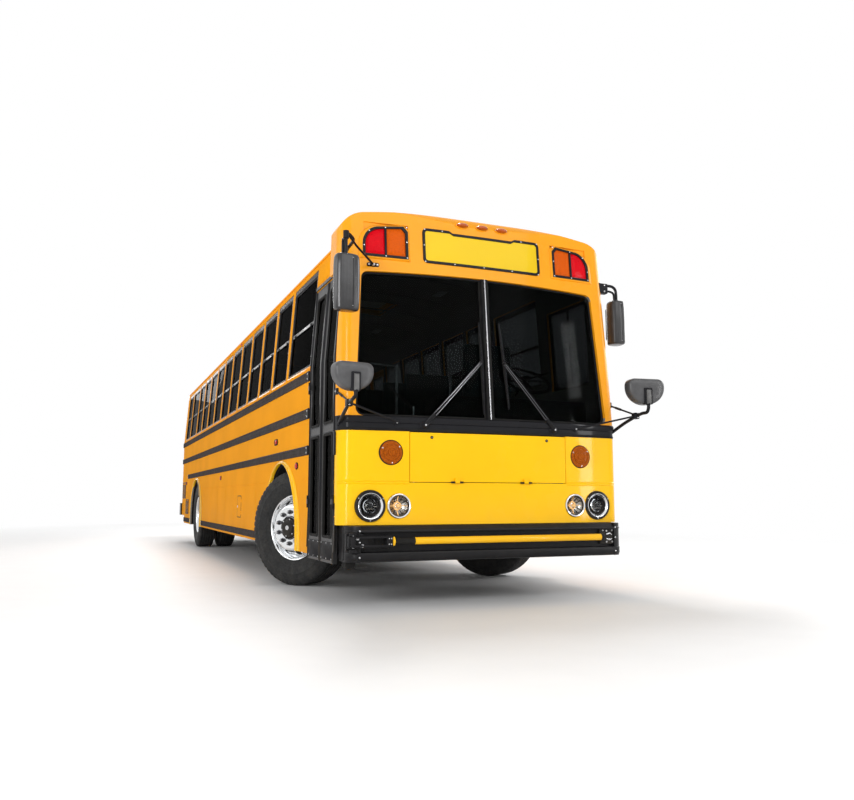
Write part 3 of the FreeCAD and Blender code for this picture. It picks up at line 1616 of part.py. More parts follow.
def safety_arms():
    """The crossing arm on the bumper and the stop arm on the left side, with their bases."""
    y = NOSE - S.arm_out
    z = S.arm_height
    x = -S.arm_pivot
    channel = NOSE - S.bumper_reach + S.channel_depth
    front_base = box((x - 35, x + 290), (y + 30, channel), (z - 55, z + 45))
    ear_low = box((x - 25, x + 25), (y - 25, y + 30), (z - 75, z - 55))
    ear_high = box((x - 25, x + 25), (y - 25, y + 30), (z + 45, z + 65))
    ear_web = box((x - 35, x + 25), (y + 30, channel), (z - 75, z + 65))
    pin = cylinder("Z", S.arm_pin_radius, 140, x, y, z - 75)
    hinge = stop_hinge()
    side_base = box(
        (S.half_width + S.rail_proud, hinge[0] - 16),
        (hinge[1] - 70, hinge[1] + 60),
        (S.stop_arm_height - 110, S.stop_arm_height + 110),
    )
    stand = box(
        (S.half_width, S.half_width + S.rail_proud),
        (hinge[1] - 70, hinge[1] + 60),
        (1550, 1777),
    )
    side_pin = cylinder("Z", S.arm_pin_radius, 240, hinge[0], hinge[1], S.stop_arm_height - 120)
    side_ears = [
        box((hinge[0] - 16, hinge[0] + 14), (hinge[1] - 16, hinge[1] + 16), (low, low + 20))
        for low in (S.stop_arm_height - 120, S.stop_arm_height + 100)
    ]
    front = fuse(front_base, ear_low, ear_high, ear_web, pin)
    node("arm_bases", group([front, fuse(side_base, stand, side_pin, *side_ears)]))
    knuckle = cylinder("Z", 18, 96, x, y, z - 53)
    bracket = box((x, x + 320), (y - 18, y + 18), (z - 40, z + 40))
    rod = cylinder("X", S.arm_radius, S.arm_tip + S.arm_pivot - 320, x + 320, y, z)
    hole = cylinder("Z", S.arm_pin_radius + S.pin_clearance, 200, x, y, z - 90)
    node("crossing_arm", cut(fuse(knuckle, bracket, rod), hole))
    side_knuckle = cylinder("Z", 14, 190, hinge[0], hinge[1], S.stop_arm_height - 95)
    plate_x = (hinge[0] - S.stop_arm_plate / 2, hinge[0] + S.stop_arm_plate / 2)
    bar = box(plate_x, (hinge[1], hinge[1] + 90), (S.stop_arm_height - 70, S.stop_arm_height + 70))
    half = S.stop_arm_across / 2
    flat = half * 0.41421
    middle = hinge[1] + 80 + half
    corners = []
    for i in range(4):
        for a, b in ((half, -flat), (half, flat)):
            for _ in range(i):
                a, b = -b, a
            corners.append((middle + a, S.stop_arm_height + b))
    sign = prism("YZ", plate_x, corners)
    bore = S.arm_pin_radius + S.pin_clearance
    side_hole = cylinder("Z", bore, 260, hinge[0], hinge[1], S.stop_arm_height - 130)
    node("stop_arm", cut(fuse(side_knuckle, bar, sign), side_hole))


def stop_hinge():
    return (S.half_width + S.stop_arm_out, NOSE + S.stop_arm_place)


# ---------------------------------------------------------------- build, check and write


def build():
    front_pieces()
    side_walls()
    roof()
    window_glass(rear_pieces())
    doors()
    node("door_hinges", group(fixed_hinges))
    front_bumper()
    rear_bumper()
    rub_rails()
    arch_trims()
    lamps()
    wipers()
    rear_view_mirrors()
    crossover_mirrors()
    cabin_floor()
    entrance_steps()
    engine_deck()
    seats()
    driver_place()
    chassis_frame()
    front_axle()
    rear_axle()
    knuckles()
    wheels()
    running_gear()
    safety_arms()


def check():
    """Stop if any object failed or any sub-part is empty or invalid."""
    for item in doc.Objects:
        if {"Invalid", "Error"} & set(item.State):
            raise SystemExit(f"{item.Name} ({item.Label}) failed: {item.State}")
    for name, item in nodes.items():
        if item.Shape.isNull() or not item.Shape.isValid() or not item.Shape.Solids:
            raise SystemExit(f"{name} has no valid solid")


def write():
    os.makedirs("parts", exist_ok=True)
    for name, item in nodes.items():
        item.Shape.exportStep(os.path.join("parts", f"{name}.step"))


build()
doc.recompute()
check()
write()
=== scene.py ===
"""School bus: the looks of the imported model, laid out as a Blender add-on.

Metres, except for the rows given to mm(), which are in millimetres. +Z is up,
the front faces -Y and +X is the bus's own left side.
"""

from math import atan2, copysign, cos, hypot, pi, radians, sin, sqrt, tau

import bmesh
import bpy
from bpy.props import FloatProperty, FloatVectorProperty, IntProperty, PointerProperty
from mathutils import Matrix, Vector


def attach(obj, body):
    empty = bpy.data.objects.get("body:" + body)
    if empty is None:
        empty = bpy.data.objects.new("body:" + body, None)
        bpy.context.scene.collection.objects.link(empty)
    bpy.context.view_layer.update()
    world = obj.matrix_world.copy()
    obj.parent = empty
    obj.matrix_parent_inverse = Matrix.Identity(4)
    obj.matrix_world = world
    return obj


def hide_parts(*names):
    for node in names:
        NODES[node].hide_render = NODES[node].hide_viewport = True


bl_info = {
    "name": "School Bus",
    "version": (1, 0, 0),
    "blender": (4, 5, 0),
    "location": "View3D > Sidebar > School Bus",
    "description": "Builds the detailed look of a rear-engined school bus round its packed model",
    "category": "Object",
}

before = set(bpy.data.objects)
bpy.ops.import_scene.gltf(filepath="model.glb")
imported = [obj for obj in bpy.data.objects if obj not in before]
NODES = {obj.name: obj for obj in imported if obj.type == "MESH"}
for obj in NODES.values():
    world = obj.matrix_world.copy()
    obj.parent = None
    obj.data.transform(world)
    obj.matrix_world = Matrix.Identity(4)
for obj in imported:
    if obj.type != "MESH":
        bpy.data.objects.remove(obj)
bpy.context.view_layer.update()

# ---------------------------------------------------------------- places on the body

SIDES = RIGHT, LEFT = -1, 1
NOSE = -5.39
TAIL = 5.64
HALF = 1.219
GUTTER = 2.79
LEAN_START = 1.87
TOP_HALF = 1.153
CAP_HALF = 1.2
CAP_EAVES = 2.88
CAP_EDGE = 0.114
ROOF_TOP = 3.085
SCREEN_LOW = 1.407
SCREEN_HIGH = 2.54
SCREEN_DEPTH = 0.032
SETBACK = 0.1
FRONT_CROWN = 14.0
FRONT_CORNER = 0.11
REAR_CROWN = 60.0
REAR_CORNER = 0.18
FRONT_AXLE = NOSE + 1.985
REAR_AXLE = FRONT_AXLE + 6.612
WHEEL_HEIGHT = 0.527
TWIN = 0.165  # from a rear wheel's middle to each of its two tyres
STEER = radians(33)
ARCH_HEIGHT = 0.464  # of the middle of a wheel arch
ARCH_RADIUS = 0.655
ARCH_LINER = 0.6535
LAMP_HEIGHT = 0.739
OUTER_LAMP, OUTER_RADIUS = 0.985, 0.1165
INNER_LAMP, INNER_RADIUS = 0.764, 0.0925
ARM_PIVOT = 1.345  # height of the pivots of the wipers and the mirror arms
TREAD_RADIUS = 0.527
RIVET = (0.0042, 0.0016)  # radius and height of a body rivet


def half_width(z, eaves=GUTTER, top=TOP_HALF):
    """Half of the body's width at a height."""
    lean = min(max(z - LEAN_START, 0.0), eaves - LEAN_START) / (eaves - LEAN_START)
    return HALF - (HALF - top) * lean


def end_depth(x, half, crown, corner):
    """How far an end's surface lies behind its foremost line, and the plan direction out of it."""
    centre = half - corner
    edge = centre * crown / (crown - corner)
    side = copysign(1.0, x)
    if abs(x) <= edge:
        return crown - sqrt(crown * crown - x * x), (x / crown, -1.0)
    back = crown - sqrt((crown - corner) ** 2 - centre * centre)
    reach = min(abs(x) - centre, corner)
    depth = sqrt(max(corner * corner - reach * reach, 0.0))
    return back - depth, (side * reach / corner, -depth / corner)


def screen_lean(z):
    """How far the front end leans back at a height."""
    return max(z - SCREEN_LOW, 0.0) * SETBACK / (SCREEN_HIGH - SCREEN_LOW)


def edge_depth(z):
    """How far an end's rounded top edge lies behind its face."""
    rise = min(max(z - (ROOF_TOP + 0.004 - CAP_EDGE), 0.0), CAP_EDGE)
    return CAP_EDGE - sqrt(CAP_EDGE * CAP_EDGE - rise * rise)


def on_front(x, z, out=0.0):
    """A point on the front end's surface, or that far proud of it."""
    depth, way = end_depth(x, half_width(z, CAP_EAVES, CAP_HALF), FRONT_CROWN, FRONT_CORNER)
    back = screen_lean(z) + depth
    if z > ROOF_TOP - CAP_EDGE:
        back = max(back, screen_lean(ROOF_TOP - CAP_EDGE) + edge_depth(z))
    return Vector((x + way[0] * out, NOSE + back + way[1] * out, z))


def on_rear(x, z, out=0.0):
    """A point on the rear end's surface, or that far proud of it."""
    depth, way = end_depth(x, half_width(z), REAR_CROWN, REAR_CORNER)
    return Vector((x + way[0] * out, TAIL - max(depth, edge_depth(z)) - way[1] * out, z))


def on_side(side):
    """The placing function of one side: along the bus, up and out."""

    def place(y, z, out=0.0):
        return Vector((side * (half_width(z) + out), y, z))

    return place


def rail_face(side):
    """The placing function of one side's upright plane at the full width, where rails and trims lie."""

    def place(y, z, out=0.0):
        return Vector((side * (HALF + out), y, z))

    return place


def shifted(place, u, v, out=0.0):
    """A placing function whose origin lies at a point of another one."""
    return lambda a, b, d=0.0: place(u + a, v + b, out + d)


def on_plane(origin, across, up, out):
    """The placing function of a flat plane through a point."""
    origin, across, up, out = Vector(origin), Vector(across), Vector(up), Vector(out)

    def place(u, v, d=0.0):
        return origin + across * u + up * v + out * d

    return place


def spread(low, high, count):
    """Evenly spaced values from low to high, both included."""
    return [low + (high - low) * i / count for i in range(count + 1)]


def facing(point, way):
    """The placing function of an upright plane that faces the front (-1) or the rear (1)."""
    return on_plane(point, (-way, 0, 0), (0, 0, 1), (0, way, 0))


def level(point):
    """The placing function of a level plane: across the bus, along it and up."""
    return on_plane(point, (1, 0, 0), (0, 1, 0), (0, 0, 1))


def leftward(point):
    """The placing function of an upright plane that faces the bus's left: along it, up and out."""
    return on_plane(point, (0, 1, 0), (0, 0, 1), (1, 0, 0))


def mm(*numbers):
    """Pairs of lengths that are given in millimetres."""
    return [(a / 1000, b / 1000) for a, b in zip(numbers[::2], numbers[1::2])]


def polar(radius, angle, u=0.0, v=0.0):
    """A point on a circle round (u, v)."""
    return u + radius * cos(angle), v + radius * sin(angle)


def arc(radius, start, end, steps, u=0.0, v=0.0):
    """Points on a circle round (u, v) from one angle to another."""
    return [polar(radius, angle, u, v) for angle in spread(start, end, steps)]


def roof_height(x, shoulder=0.95, height=2.975):
    """Height of the roof's crown over a place across the bus."""
    rise = ROOF_TOP - height
    radius = (shoulder * shoulder + rise * rise) / (2 * rise)
    return ROOF_TOP - radius + sqrt(radius * radius - x * x)


# ---------------------------------------------------------------- mesh making

def lifted(place, outline, out):
    """An outline placed at a distance out of its surface."""
    return [place(u, v, out) for u, v in outline]


class Shape:
    """A mesh in the making: its points, its faces and the finish of each face."""

    def __init__(self):
        self.points = []
        self.faces = []
        self.finishes = []

    def add_face(self, corners, finish):
        """One face between points that are already there."""
        self.faces.append(tuple(corners))
        self.finishes.append(finish)

    def skin(self, rows, finish=0, closed=True, ends="caps"):
        """Faces between rows of equally many points; ends is caps, open or ring."""
        start = len(self.points)
        size = len(rows[0])
        for row in rows:
            self.points.extend(tuple(p) for p in row)
        steps = size if closed else size - 1
        for r in range(len(rows) if ends == "ring" else len(rows) - 1):
            a = start + r * size
            b = start + ((r + 1) % len(rows)) * size
            for i in range(steps):
                j = (i + 1) % size
                self.add_face((a + i, a + j, b + j, b + i), finish)
        if ends == "caps":
            last = start + (len(rows) - 1) * size
            self.add_face([start + i for i in reversed(range(size))], finish)
            self.add_face([last + i for i in range(size)], finish)

    def sheet(self, rows, finish=0):
        """An open surface between rows that don't close on themselves."""
        self.skin(rows, finish, closed=False, ends="open")

    def block(self, low, high, finish=0):
        """A plain block between two corners; used only inside larger pieces."""
        (x0, y0, z0), (x1, y1, z1) = low, high
        rows = [[(x0, y0, z), (x1, y0, z), (x1, y1, z), (x0, y1, z)] for z in (z0, z1)]
        self.skin(rows, finish)

    def plate(self, place, outline, low, high, finish=0, soft=0.0015):
        """A filled outline with a softened outer edge."""
        rim = toward_middle(outline, soft)
        rows = [
            lifted(place, outline, low),
            lifted(place, outline, high - soft),
            lifted(place, rim, high),
        ]
        self.skin(rows, finish)

    def strips(self, place, columns, out, finish=0):
        """A thin face that follows the surface; a column is (u, low v, high v)."""
        rows = [[place(u, low + (high - low) * k / 3, out) for k in range(4)] for u, low, high in columns]
        self.sheet(rows, finish)

    def ring(self, place, outer, inner, low, high, finish=0, soft=0.0015):
        """A frame between two outlines with softened edges."""
        near = between(outer, inner, soft)
        far = between(inner, outer, soft)
        rows = [
            lifted(place, outer, low),
            lifted(place, outer, high - soft),
            lifted(place, near, high),
            lifted(place, far, high),
            lifted(place, inner, high - soft),
            lifted(place, inner, low),
        ]
        self.skin(rows, finish, ends="ring")

    def dome(self, place, outline, low, height, finish=0, rows=5):
        """An outline that closes over itself in a low dome."""
        middle = centre_of(outline)
        skins = [lifted(place, outline, low)]
        for i in range(1, rows + 1):
            angle = pi / 2 * i / rows
            scale = max(cos(angle), 0.02)
            skins.append([
                place(middle[0] + (u - middle[0]) * scale, middle[1] + (v - middle[1]) * scale,
                      low + height * sin(angle))
                for u, v in outline
            ])
        self.skin(skins, finish)

    def lathe(self, place, profile, steps=48, finish=0, ends="caps", start=0.0):
        """Turns (radius, out) pairs about the placing function's origin."""
        rows = []
        for radius, out in profile:
            rows.append([
                place(*polar(radius, start + tau * i / steps), out)
                for i in range(steps)
            ])
        self.skin(rows, finish, ends=ends)

    def tube(self, points, radius, steps=10, finish=0):
        """A round tube through points; radius is one number or one for each point."""
        points = [Vector(p) for p in points]
        radii = radius if isinstance(radius, (list, tuple)) else [radius] * len(points)
        ways = []
        for i in range(len(points)):
            a = points[max(i - 1, 0)]
            b = points[min(i + 1, len(points) - 1)]
            ways.append((b - a).normalized())
        side = ways[0].orthogonal().normalized()
        rows = []
        for point, way, size in zip(points, ways, radii):
            side = (side - way * side.dot(way)).normalized()
            up = way.cross(side)
            rows.append([
                point + (side * cos(tau * i / steps) + up * sin(tau * i / steps)) * size
                for i in range(steps)
            ])
        self.skin(rows, finish)

    def bolt_circle(self, place, count, radius, start, *sizes):
        """Bolts evenly spaced on a circle."""
        self.bolts(place, [polar(radius, start + tau * k / count) for k in range(count)], *sizes)

    def bolts(self, place, spots, *sizes):
        """A bolt on each spot."""
        for u, v in spots:
            self.bolt(place, u, v, *sizes)

    def bolt(self, place, u, v, low, radius=0.006, height=0.003, finish=0, sides=12):
        """A low domed bolt or rivet head."""
        rows = []
        for scale, rise in ((1.0, 0.0), (1.0, 0.35), (0.8, 0.8), (0.4, 1.0)):
            rows.append([
                place(*polar(radius * scale, tau * i / sides, u, v), low + height * rise)
                for i in range(sides)
            ])
        self.skin(rows, finish)


def rounded(u0, u1, v0, v1, radii, steps=6):
    """A rectangle with rounded corners: low left, low right, high right, high left."""
    if not isinstance(radii, (tuple, list)):
        radii = (radii,) * 4
    corners = ((u0, v0, 1, 1, pi), (u1, v0, -1, 1, 1.5 * pi), (u1, v1, -1, -1, 0), (u0, v1, 1, -1, pi / 2))
    outline = []
    for (u, v, su, sv, start), radius in zip(corners, radii):
        for i in range(steps + 1):
            angle = start + pi / 2 * i / steps
            outline.append(polar(radius, angle, u + su * radius, v + sv * radius))
    return outline


def pad(half_u, half_v, radii, steps=6, u=0.0, v=0.0):
    """A rounded rectangle round (u, v)."""
    return rounded(u - half_u, u + half_u, v - half_v, v + half_v, radii, steps)


def oval(u, v, width, height, steps=32):
    """The outline of an ellipse."""
    return [
        (u + width / 2 * cos(tau * i / steps), v + height / 2 * sin(tau * i / steps))
        for i in range(steps)
    ]


def centre_of(outline):
    """The mean of an outline's points."""
    return sum(p[0] for p in outline) / len(outline), sum(p[1] for p in outline) / len(outline)


def toward_middle(outline, distance):
    """The outline drawn in by a distance."""
    mu, mv = centre_of(outline)
    drawn = []
    for u, v in outline:
        length = hypot(u - mu, v - mv) or 1.0
        scale = max(1 - distance * 1.3 / length, 0.0)
        drawn.append((mu + (u - mu) * scale, mv + (v - mv) * scale))
    return drawn


def between(a, b, distance):
    """The first outline moved a distance towards the second one, point by point."""
    moved = []
    for (u0, v0), (u1, v1) in zip(a, b):
        length = hypot(u1 - u0, v1 - v0) or 1.0
        t = min(distance / length, 0.45)
        moved.append((u0 + (u1 - u0) * t, v0 + (v1 - v0) * t))
    return moved


def smooth_path(points, steps=6):
    """A curve that passes through the points."""
    points = [Vector(p) for p in points]
    path = []
    for i in range(len(points) - 1):
        p0 = points[max(i - 1, 0)]
        p1, p2 = points[i], points[i + 1]
        p3 = points[min(i + 2, len(points) - 1)]
        for k in range(steps):
            t = k / steps
            path.append(0.5 * (
                2 * p1 + (p2 - p0) * t + (2 * p0 - 5 * p1 + 4 * p2 - p3) * t * t
                + (3 * p1 - p0 - 3 * p2 + p3) * t * t * t
            ))
    path.append(points[-1])
    return path


def make_piece(name, shape, finishes, body="bus_body", replaces=(), bevel=0.0,
        angle=38, subdivide=0):
    """Turns a shape into a named object that rides on a body."""
    mesh = bpy.data.meshes.new(name)
    mesh.from_pydata(shape.points, [], shape.faces)
    mesh.polygons.foreach_set("material_index", shape.finishes)
    for finish in finishes:
        mesh.materials.append(FINISHES[finish])
    work = bmesh.new()
    work.from_mesh(mesh)
    bmesh.ops.remove_doubles(work, verts=work.verts, dist=1e-6)
    bmesh.ops.dissolve_degenerate(work, edges=work.edges, dist=1e-7)
    bmesh.ops.recalc_face_normals(work, faces=work.faces)
    work.to_mesh(mesh)
    work.free()
    mesh.polygons.foreach_set("use_smooth", [True] * len(mesh.polygons))
    mesh.set_sharp_from_angle(angle=radians(angle))
    item = bpy.data.objects.new(name, mesh)
    bpy.context.scene.collection.objects.link(item)
    if bevel:
        edge = item.modifiers.new("soft edges", "BEVEL")
        edge.width = bevel
        edge.segments = 2
        edge.limit_method = "ANGLE"
        edge.angle_limit = radians(angle)
        edge.harden_normals = True
    if subdivide:
        surface = item.modifiers.new("surface", "SUBSURF")
        surface.levels = subdivide
        surface.render_levels = subdivide
    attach(item, body)
    if replaces:
        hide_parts(*replaces)
    return item


# ---------------------------------------------------------------- finishes

class Finish:
    """A procedural material: one shader and the texture nodes that feed it."""

    def __init__(self, name, colour, roughness, metallic=0.0, **sockets):
        self.material = bpy.data.materials.new(name)
        self.material.use_nodes = True
        self.material.diffuse_color = (*colour, 1.0)
        self.tree = self.material.node_tree
        self.shader = self.tree.nodes["Principled BSDF"]
        self.shader.inputs["Base Color"].default_value = (*colour, 1.0)
        self.shader.inputs["Roughness"].default_value = roughness
        self.shader.inputs["Metallic"].default_value = metallic
        for socket, value in sockets.items():
            self.shader.inputs[socket.replace("_", " ").title().replace("Ior", "IOR")].default_value = value
        self.colour = colour
        self.where = self.add("ShaderNodeTexCoord").outputs["Object"]
        self.normal = None

    def add(self, kind, **settings):
        """A new node with these settings."""
        node = self.tree.nodes.new(kind)
        for name, value in settings.items():
            setattr(node, name, value)
        return node

    def join(self, source, socket):
        """Links an output to an input."""
        self.tree.links.new(source, socket)

    def stretched(self, x, y, z):
        """The place, scaled differently along each axis."""
        node = self.add("ShaderNodeMapping")
        node.inputs["Scale"].default_value = (x, y, z)
        self.join(self.where, node.inputs["Vector"])
        return node.outputs["Vector"]

    def noise(self, scale, detail=3.0, where=None):
        """Soft cloudy values."""
        node = self.add("ShaderNodeTexNoise")
        node.inputs["Scale"].default_value = scale
        node.inputs["Detail"].default_value = detail
        self.join(where or self.where, node.inputs["Vector"])
        return node.outputs["Fac"]

    def cells(self, scale, where=None, feature="F1"):
        """Distances to scattered points."""
        node = self.add("ShaderNodeTexVoronoi", feature=feature)
        node.inputs["Scale"].default_value = scale
        self.join(where or self.where, node.inputs["Vector"])
        return node.outputs["Distance"]

    def waves(self, scale, direction="X", where=None, distortion=0.0):
        """Parallel bands."""
        node = self.add("ShaderNodeTexWave", bands_direction=direction)
        node.inputs["Scale"].default_value = scale
        node.inputs["Distortion"].default_value = distortion
        self.join(where or self.where, node.inputs["Vector"])
        return node.outputs["Fac"]

    def fit(self, value, low, high, out_low, out_high):
        """A value's span mapped to another one, clamped."""
        node = self.add("ShaderNodeMapRange")
        for name, number in zip(("From Min", "From Max", "To Min", "To Max"),
                (low, high, out_low, out_high)):
            node.inputs[name].default_value = number
        self.join(value, node.inputs["Value"])
        return node.outputs["Result"]

    def mottle(self, scale, detail, low=0, high=1, start=0.3, end=0.7):
        """Noise whose middle span is mapped to a span of values."""
        return self.fit(self.noise(scale, detail), start, end, low, high)

    def sum(self, a, b, operation="ADD"):
        """Two values added, or joined by another operation."""
        node = self.add("ShaderNodeMath", operation=operation)
        for socket, value in zip(node.inputs, (a, b)):
            if isinstance(value, (int, float)):
                socket.default_value = value
            else:
                self.join(value, socket)
        return node.outputs["Value"]

    def axis(self, name, source=None):
        """One coordinate of the place, or of another vector."""
        node = self.add("ShaderNodeSeparateXYZ")
        self.join(source or self.where, node.inputs[0])
        return node.outputs[name]

    def blend(self, factor, first, second):
        """A colour between two, each a colour or another node's output."""
        node = self.add("ShaderNodeMix", data_type="RGBA")
        self.join(factor, node.inputs["Factor"])
        for index, value in ((6, first), (7, second)):
            if isinstance(value, tuple):
                node.inputs[index].default_value = (*value, 1.0)
            else:
                self.join(value, node.inputs[index])
        return node.outputs[2]

    def paint(self, colour):
        """Feeds the base colour."""
        self.join(colour, self.shader.inputs["Base Color"])
        return self

    def shine(self, roughness):
        """Feeds the roughness."""
        self.join(roughness, self.shader.inputs["Roughness"])
        return self

    def relief(self, height, strength, distance):
        """Adds a bump on top of the ones so far."""
        node = self.add("ShaderNodeBump")
        node.inputs["Strength"].default_value = strength
        node.inputs["Distance"].default_value = distance
        self.join(height, node.inputs["Height"])
        if self.normal:
            self.join(self.normal, node.inputs["Normal"])
        self.normal = node.outputs["Normal"]
        self.join(self.normal, self.shader.inputs["Normal"])
        return self


def tinted(colour, factor):
    """A colour made lighter or darker by a factor."""
    return tuple(min(c * factor, 1.0) for c in colour)


def enamel(name, colour, inside=None, limit=-1.0, roughness=0.24, coat=0.2):
    """Glossy body enamel with faint orange peel and dust near the skirt; pale inside the cabin."""
    specular = max(coat * 0.4 - 0.02, 0.0)
    finish = Finish(name, colour, roughness, specular_ior_level=specular, coat_weight=coat,
        coat_roughness=0.05)
    mottle = finish.noise(1.7, 4)
    base = finish.blend(finish.fit(mottle, 0.35, 0.65, 0, 1), tinted(colour, 0.965), tinted(colour, 1.03))
    low = finish.fit(finish.axis("Z"), 0.35, 0.9, 0.16, 0.0)
    dust = finish.sum(low, finish.noise(9, 5), "MULTIPLY")
    base = finish.blend(dust, base, (0.36, 0.3, 0.21))
    if inside:
        coords = finish.add("ShaderNodeTexCoord")
        position = finish.add("ShaderNodeVectorMath", operation="MULTIPLY_ADD")
        finish.join(coords.outputs["Object"], position.inputs[0])
        position.inputs[1].default_value = (1, inside, 1)
        position.inputs[2].default_value = (0, 0, -1.9)
        facing = finish.add("ShaderNodeVectorMath", operation="DOT_PRODUCT")
        finish.join(coords.outputs["Normal"], facing.inputs[0])
        finish.join(position.outputs[0], facing.inputs[1])
        inner = finish.fit(facing.outputs["Value"], limit, limit + 0.02, 1.0, 0.0)
        panel = finish.blend(finish.noise(30, 4), (0.2, 0.2, 0.19), (0.27, 0.265, 0.25))
        base = finish.blend(inner, base, panel)
    finish.paint(base)
    finish.shine(finish.mottle(6, 4, roughness * 0.8, roughness * 1.25))
    finish.relief(finish.noise(420, 1), 0.05, 0.0006)
    return finish.material


def satin(name, colour, roughness, grain=500, depth=0.15, metallic=0.0, dust=0.12, **sockets):
    """Moulded or powder-coated black and grey pieces: fine grain and a little settled dust."""
    sockets.setdefault("specular_ior_level", 0.16)
    finish = Finish(name, colour, roughness, metallic, **sockets)
    tone = finish.mottle(14, 4)
    base = finish.blend(tone, tinted(colour, 0.85), tinted(colour, 1.2))
    speck = finish.sum(finish.noise(3.5, 5), dust, "MULTIPLY")
    finish.paint(finish.blend(speck, base, (0.32, 0.29, 0.25)))
    finish.shine(finish.mottle(45, 3, roughness * 0.85, roughness * 1.15))
    finish.relief(finish.noise(grain, 2), depth, 0.0008)
    return finish.material


def bright_metal(name, colour, roughness, brushed=0.0):
    """Chrome and polished alloy, with faint handling marks."""
    finish = Finish(name, colour, roughness, 1.0)
    tone = finish.mottle(8, 4)
    finish.paint(finish.blend(tone, tinted(colour, 0.93), colour))
    finish.shine(finish.mottle(25, 5, roughness * 0.7, roughness * 1.6, 0.35, 0.75))
    if brushed:
        finish.relief(finish.noise(900, 1, finish.stretched(1, 1, 0.04)), brushed, 0.0004)
    else:
        finish.relief(finish.noise(12, 2), 0.02, 0.0004)
    return finish.material


def safety_glass(name, tint_and_shade, roughness=0.02, ior=1.45):
    """Tinted glass with faint wiping marks; on the windows its dark colour is partly painted shade of the
    cabin behind it.
    """
    finish = Finish(name, tint_and_shade, roughness, transmission_weight=1.0, ior=ior)
    finish.shine(finish.mottle(5, 5, roughness * 0.5, roughness * 3, 0.45, 0.8))
    finish.relief(finish.noise(2.2, 1), 0.015, 0.002)
    return finish.material


def lens(name, colour, scale=120, glow=0.0):
    """Moulded lamp lens with a fine prism pattern under a clear skin."""
    finish = Finish(name, colour, 0.3, specular_ior_level=0.04, coat_weight=0.05, coat_roughness=0.03)
    cells = finish.cells(scale)
    base = finish.blend(finish.fit(cells, 0.0, 0.8, 0, 1), tinted(colour, 1.25), tinted(colour, 0.55))
    finish.paint(base)
    finish.relief(cells, 0.35, 0.002)
    if glow:
        finish.shader.inputs["Emission Color"].default_value = (*colour, 1.0)
        finish.shader.inputs["Emission Strength"].default_value = glow
    return finish.material


def tyre_rubber(name):
    """Black rubber, dusty in patches."""
    finish = Finish(name, (0.018, 0.018, 0.018), 0.78, specular_ior_level=0.35)
    dust = finish.mottle(11, 6, 0, 0.35, 0.45, 0.75)
    finish.paint(finish.blend(dust, (0.016, 0.016, 0.016), (0.075, 0.07, 0.063)))
    finish.shine(finish.mottle(60, 3, 0.66, 0.9))
    finish.relief(finish.noise(700, 3), 0.25, 0.0008)
    return finish.material


def vinyl(name, colour):
    """Grained seat covering with a soft sheen."""
    finish = Finish(name, colour, 0.42, sheen_weight=0.15)
    tone = finish.mottle(5, 4)
    finish.paint(finish.blend(tone, tinted(colour, 0.8), tinted(colour, 1.2)))
    finish.shine(finish.mottle(12, 4, 0.34, 0.5))
    finish.relief(finish.cells(520), 0.3, 0.0008)
    finish.relief(finish.noise(18, 3), 0.2, 0.003)
    return finish.material


def ribbed_rubber(name, colour, scale, direction="X"):
    """Dusty rubber with fine ribs across it."""
    finish = Finish(name, colour, 0.6)
    dust = finish.mottle(7, 5, 0, 0.4, 0.4, 0.8)
    finish.paint(finish.blend(dust, colour, (0.1, 0.09, 0.08)))
    finish.relief(finish.waves(scale, direction), 0.6, 0.002)
    finish.relief(finish.noise(300, 2), 0.1, 0.0006)
    return finish.material


def cast(name, colour, metallic=0.6, roughness=0.6, rust=0.35):
    """Rough castings and forgings with a breath of rust."""
    finish = Finish(name, colour, roughness, metallic)
    patches = finish.mottle(9, 6, 0, rust, 0.5, 0.75)
    finish.paint(finish.blend(patches, colour, (0.13, 0.055, 0.02)))
    finish.shine(finish.mottle(30, 4, roughness * 0.8, min(roughness * 1.3, 1)))
    finish.relief(finish.noise(260, 4), 0.45, 0.0016)
    return finish.material


FINISHES = {}


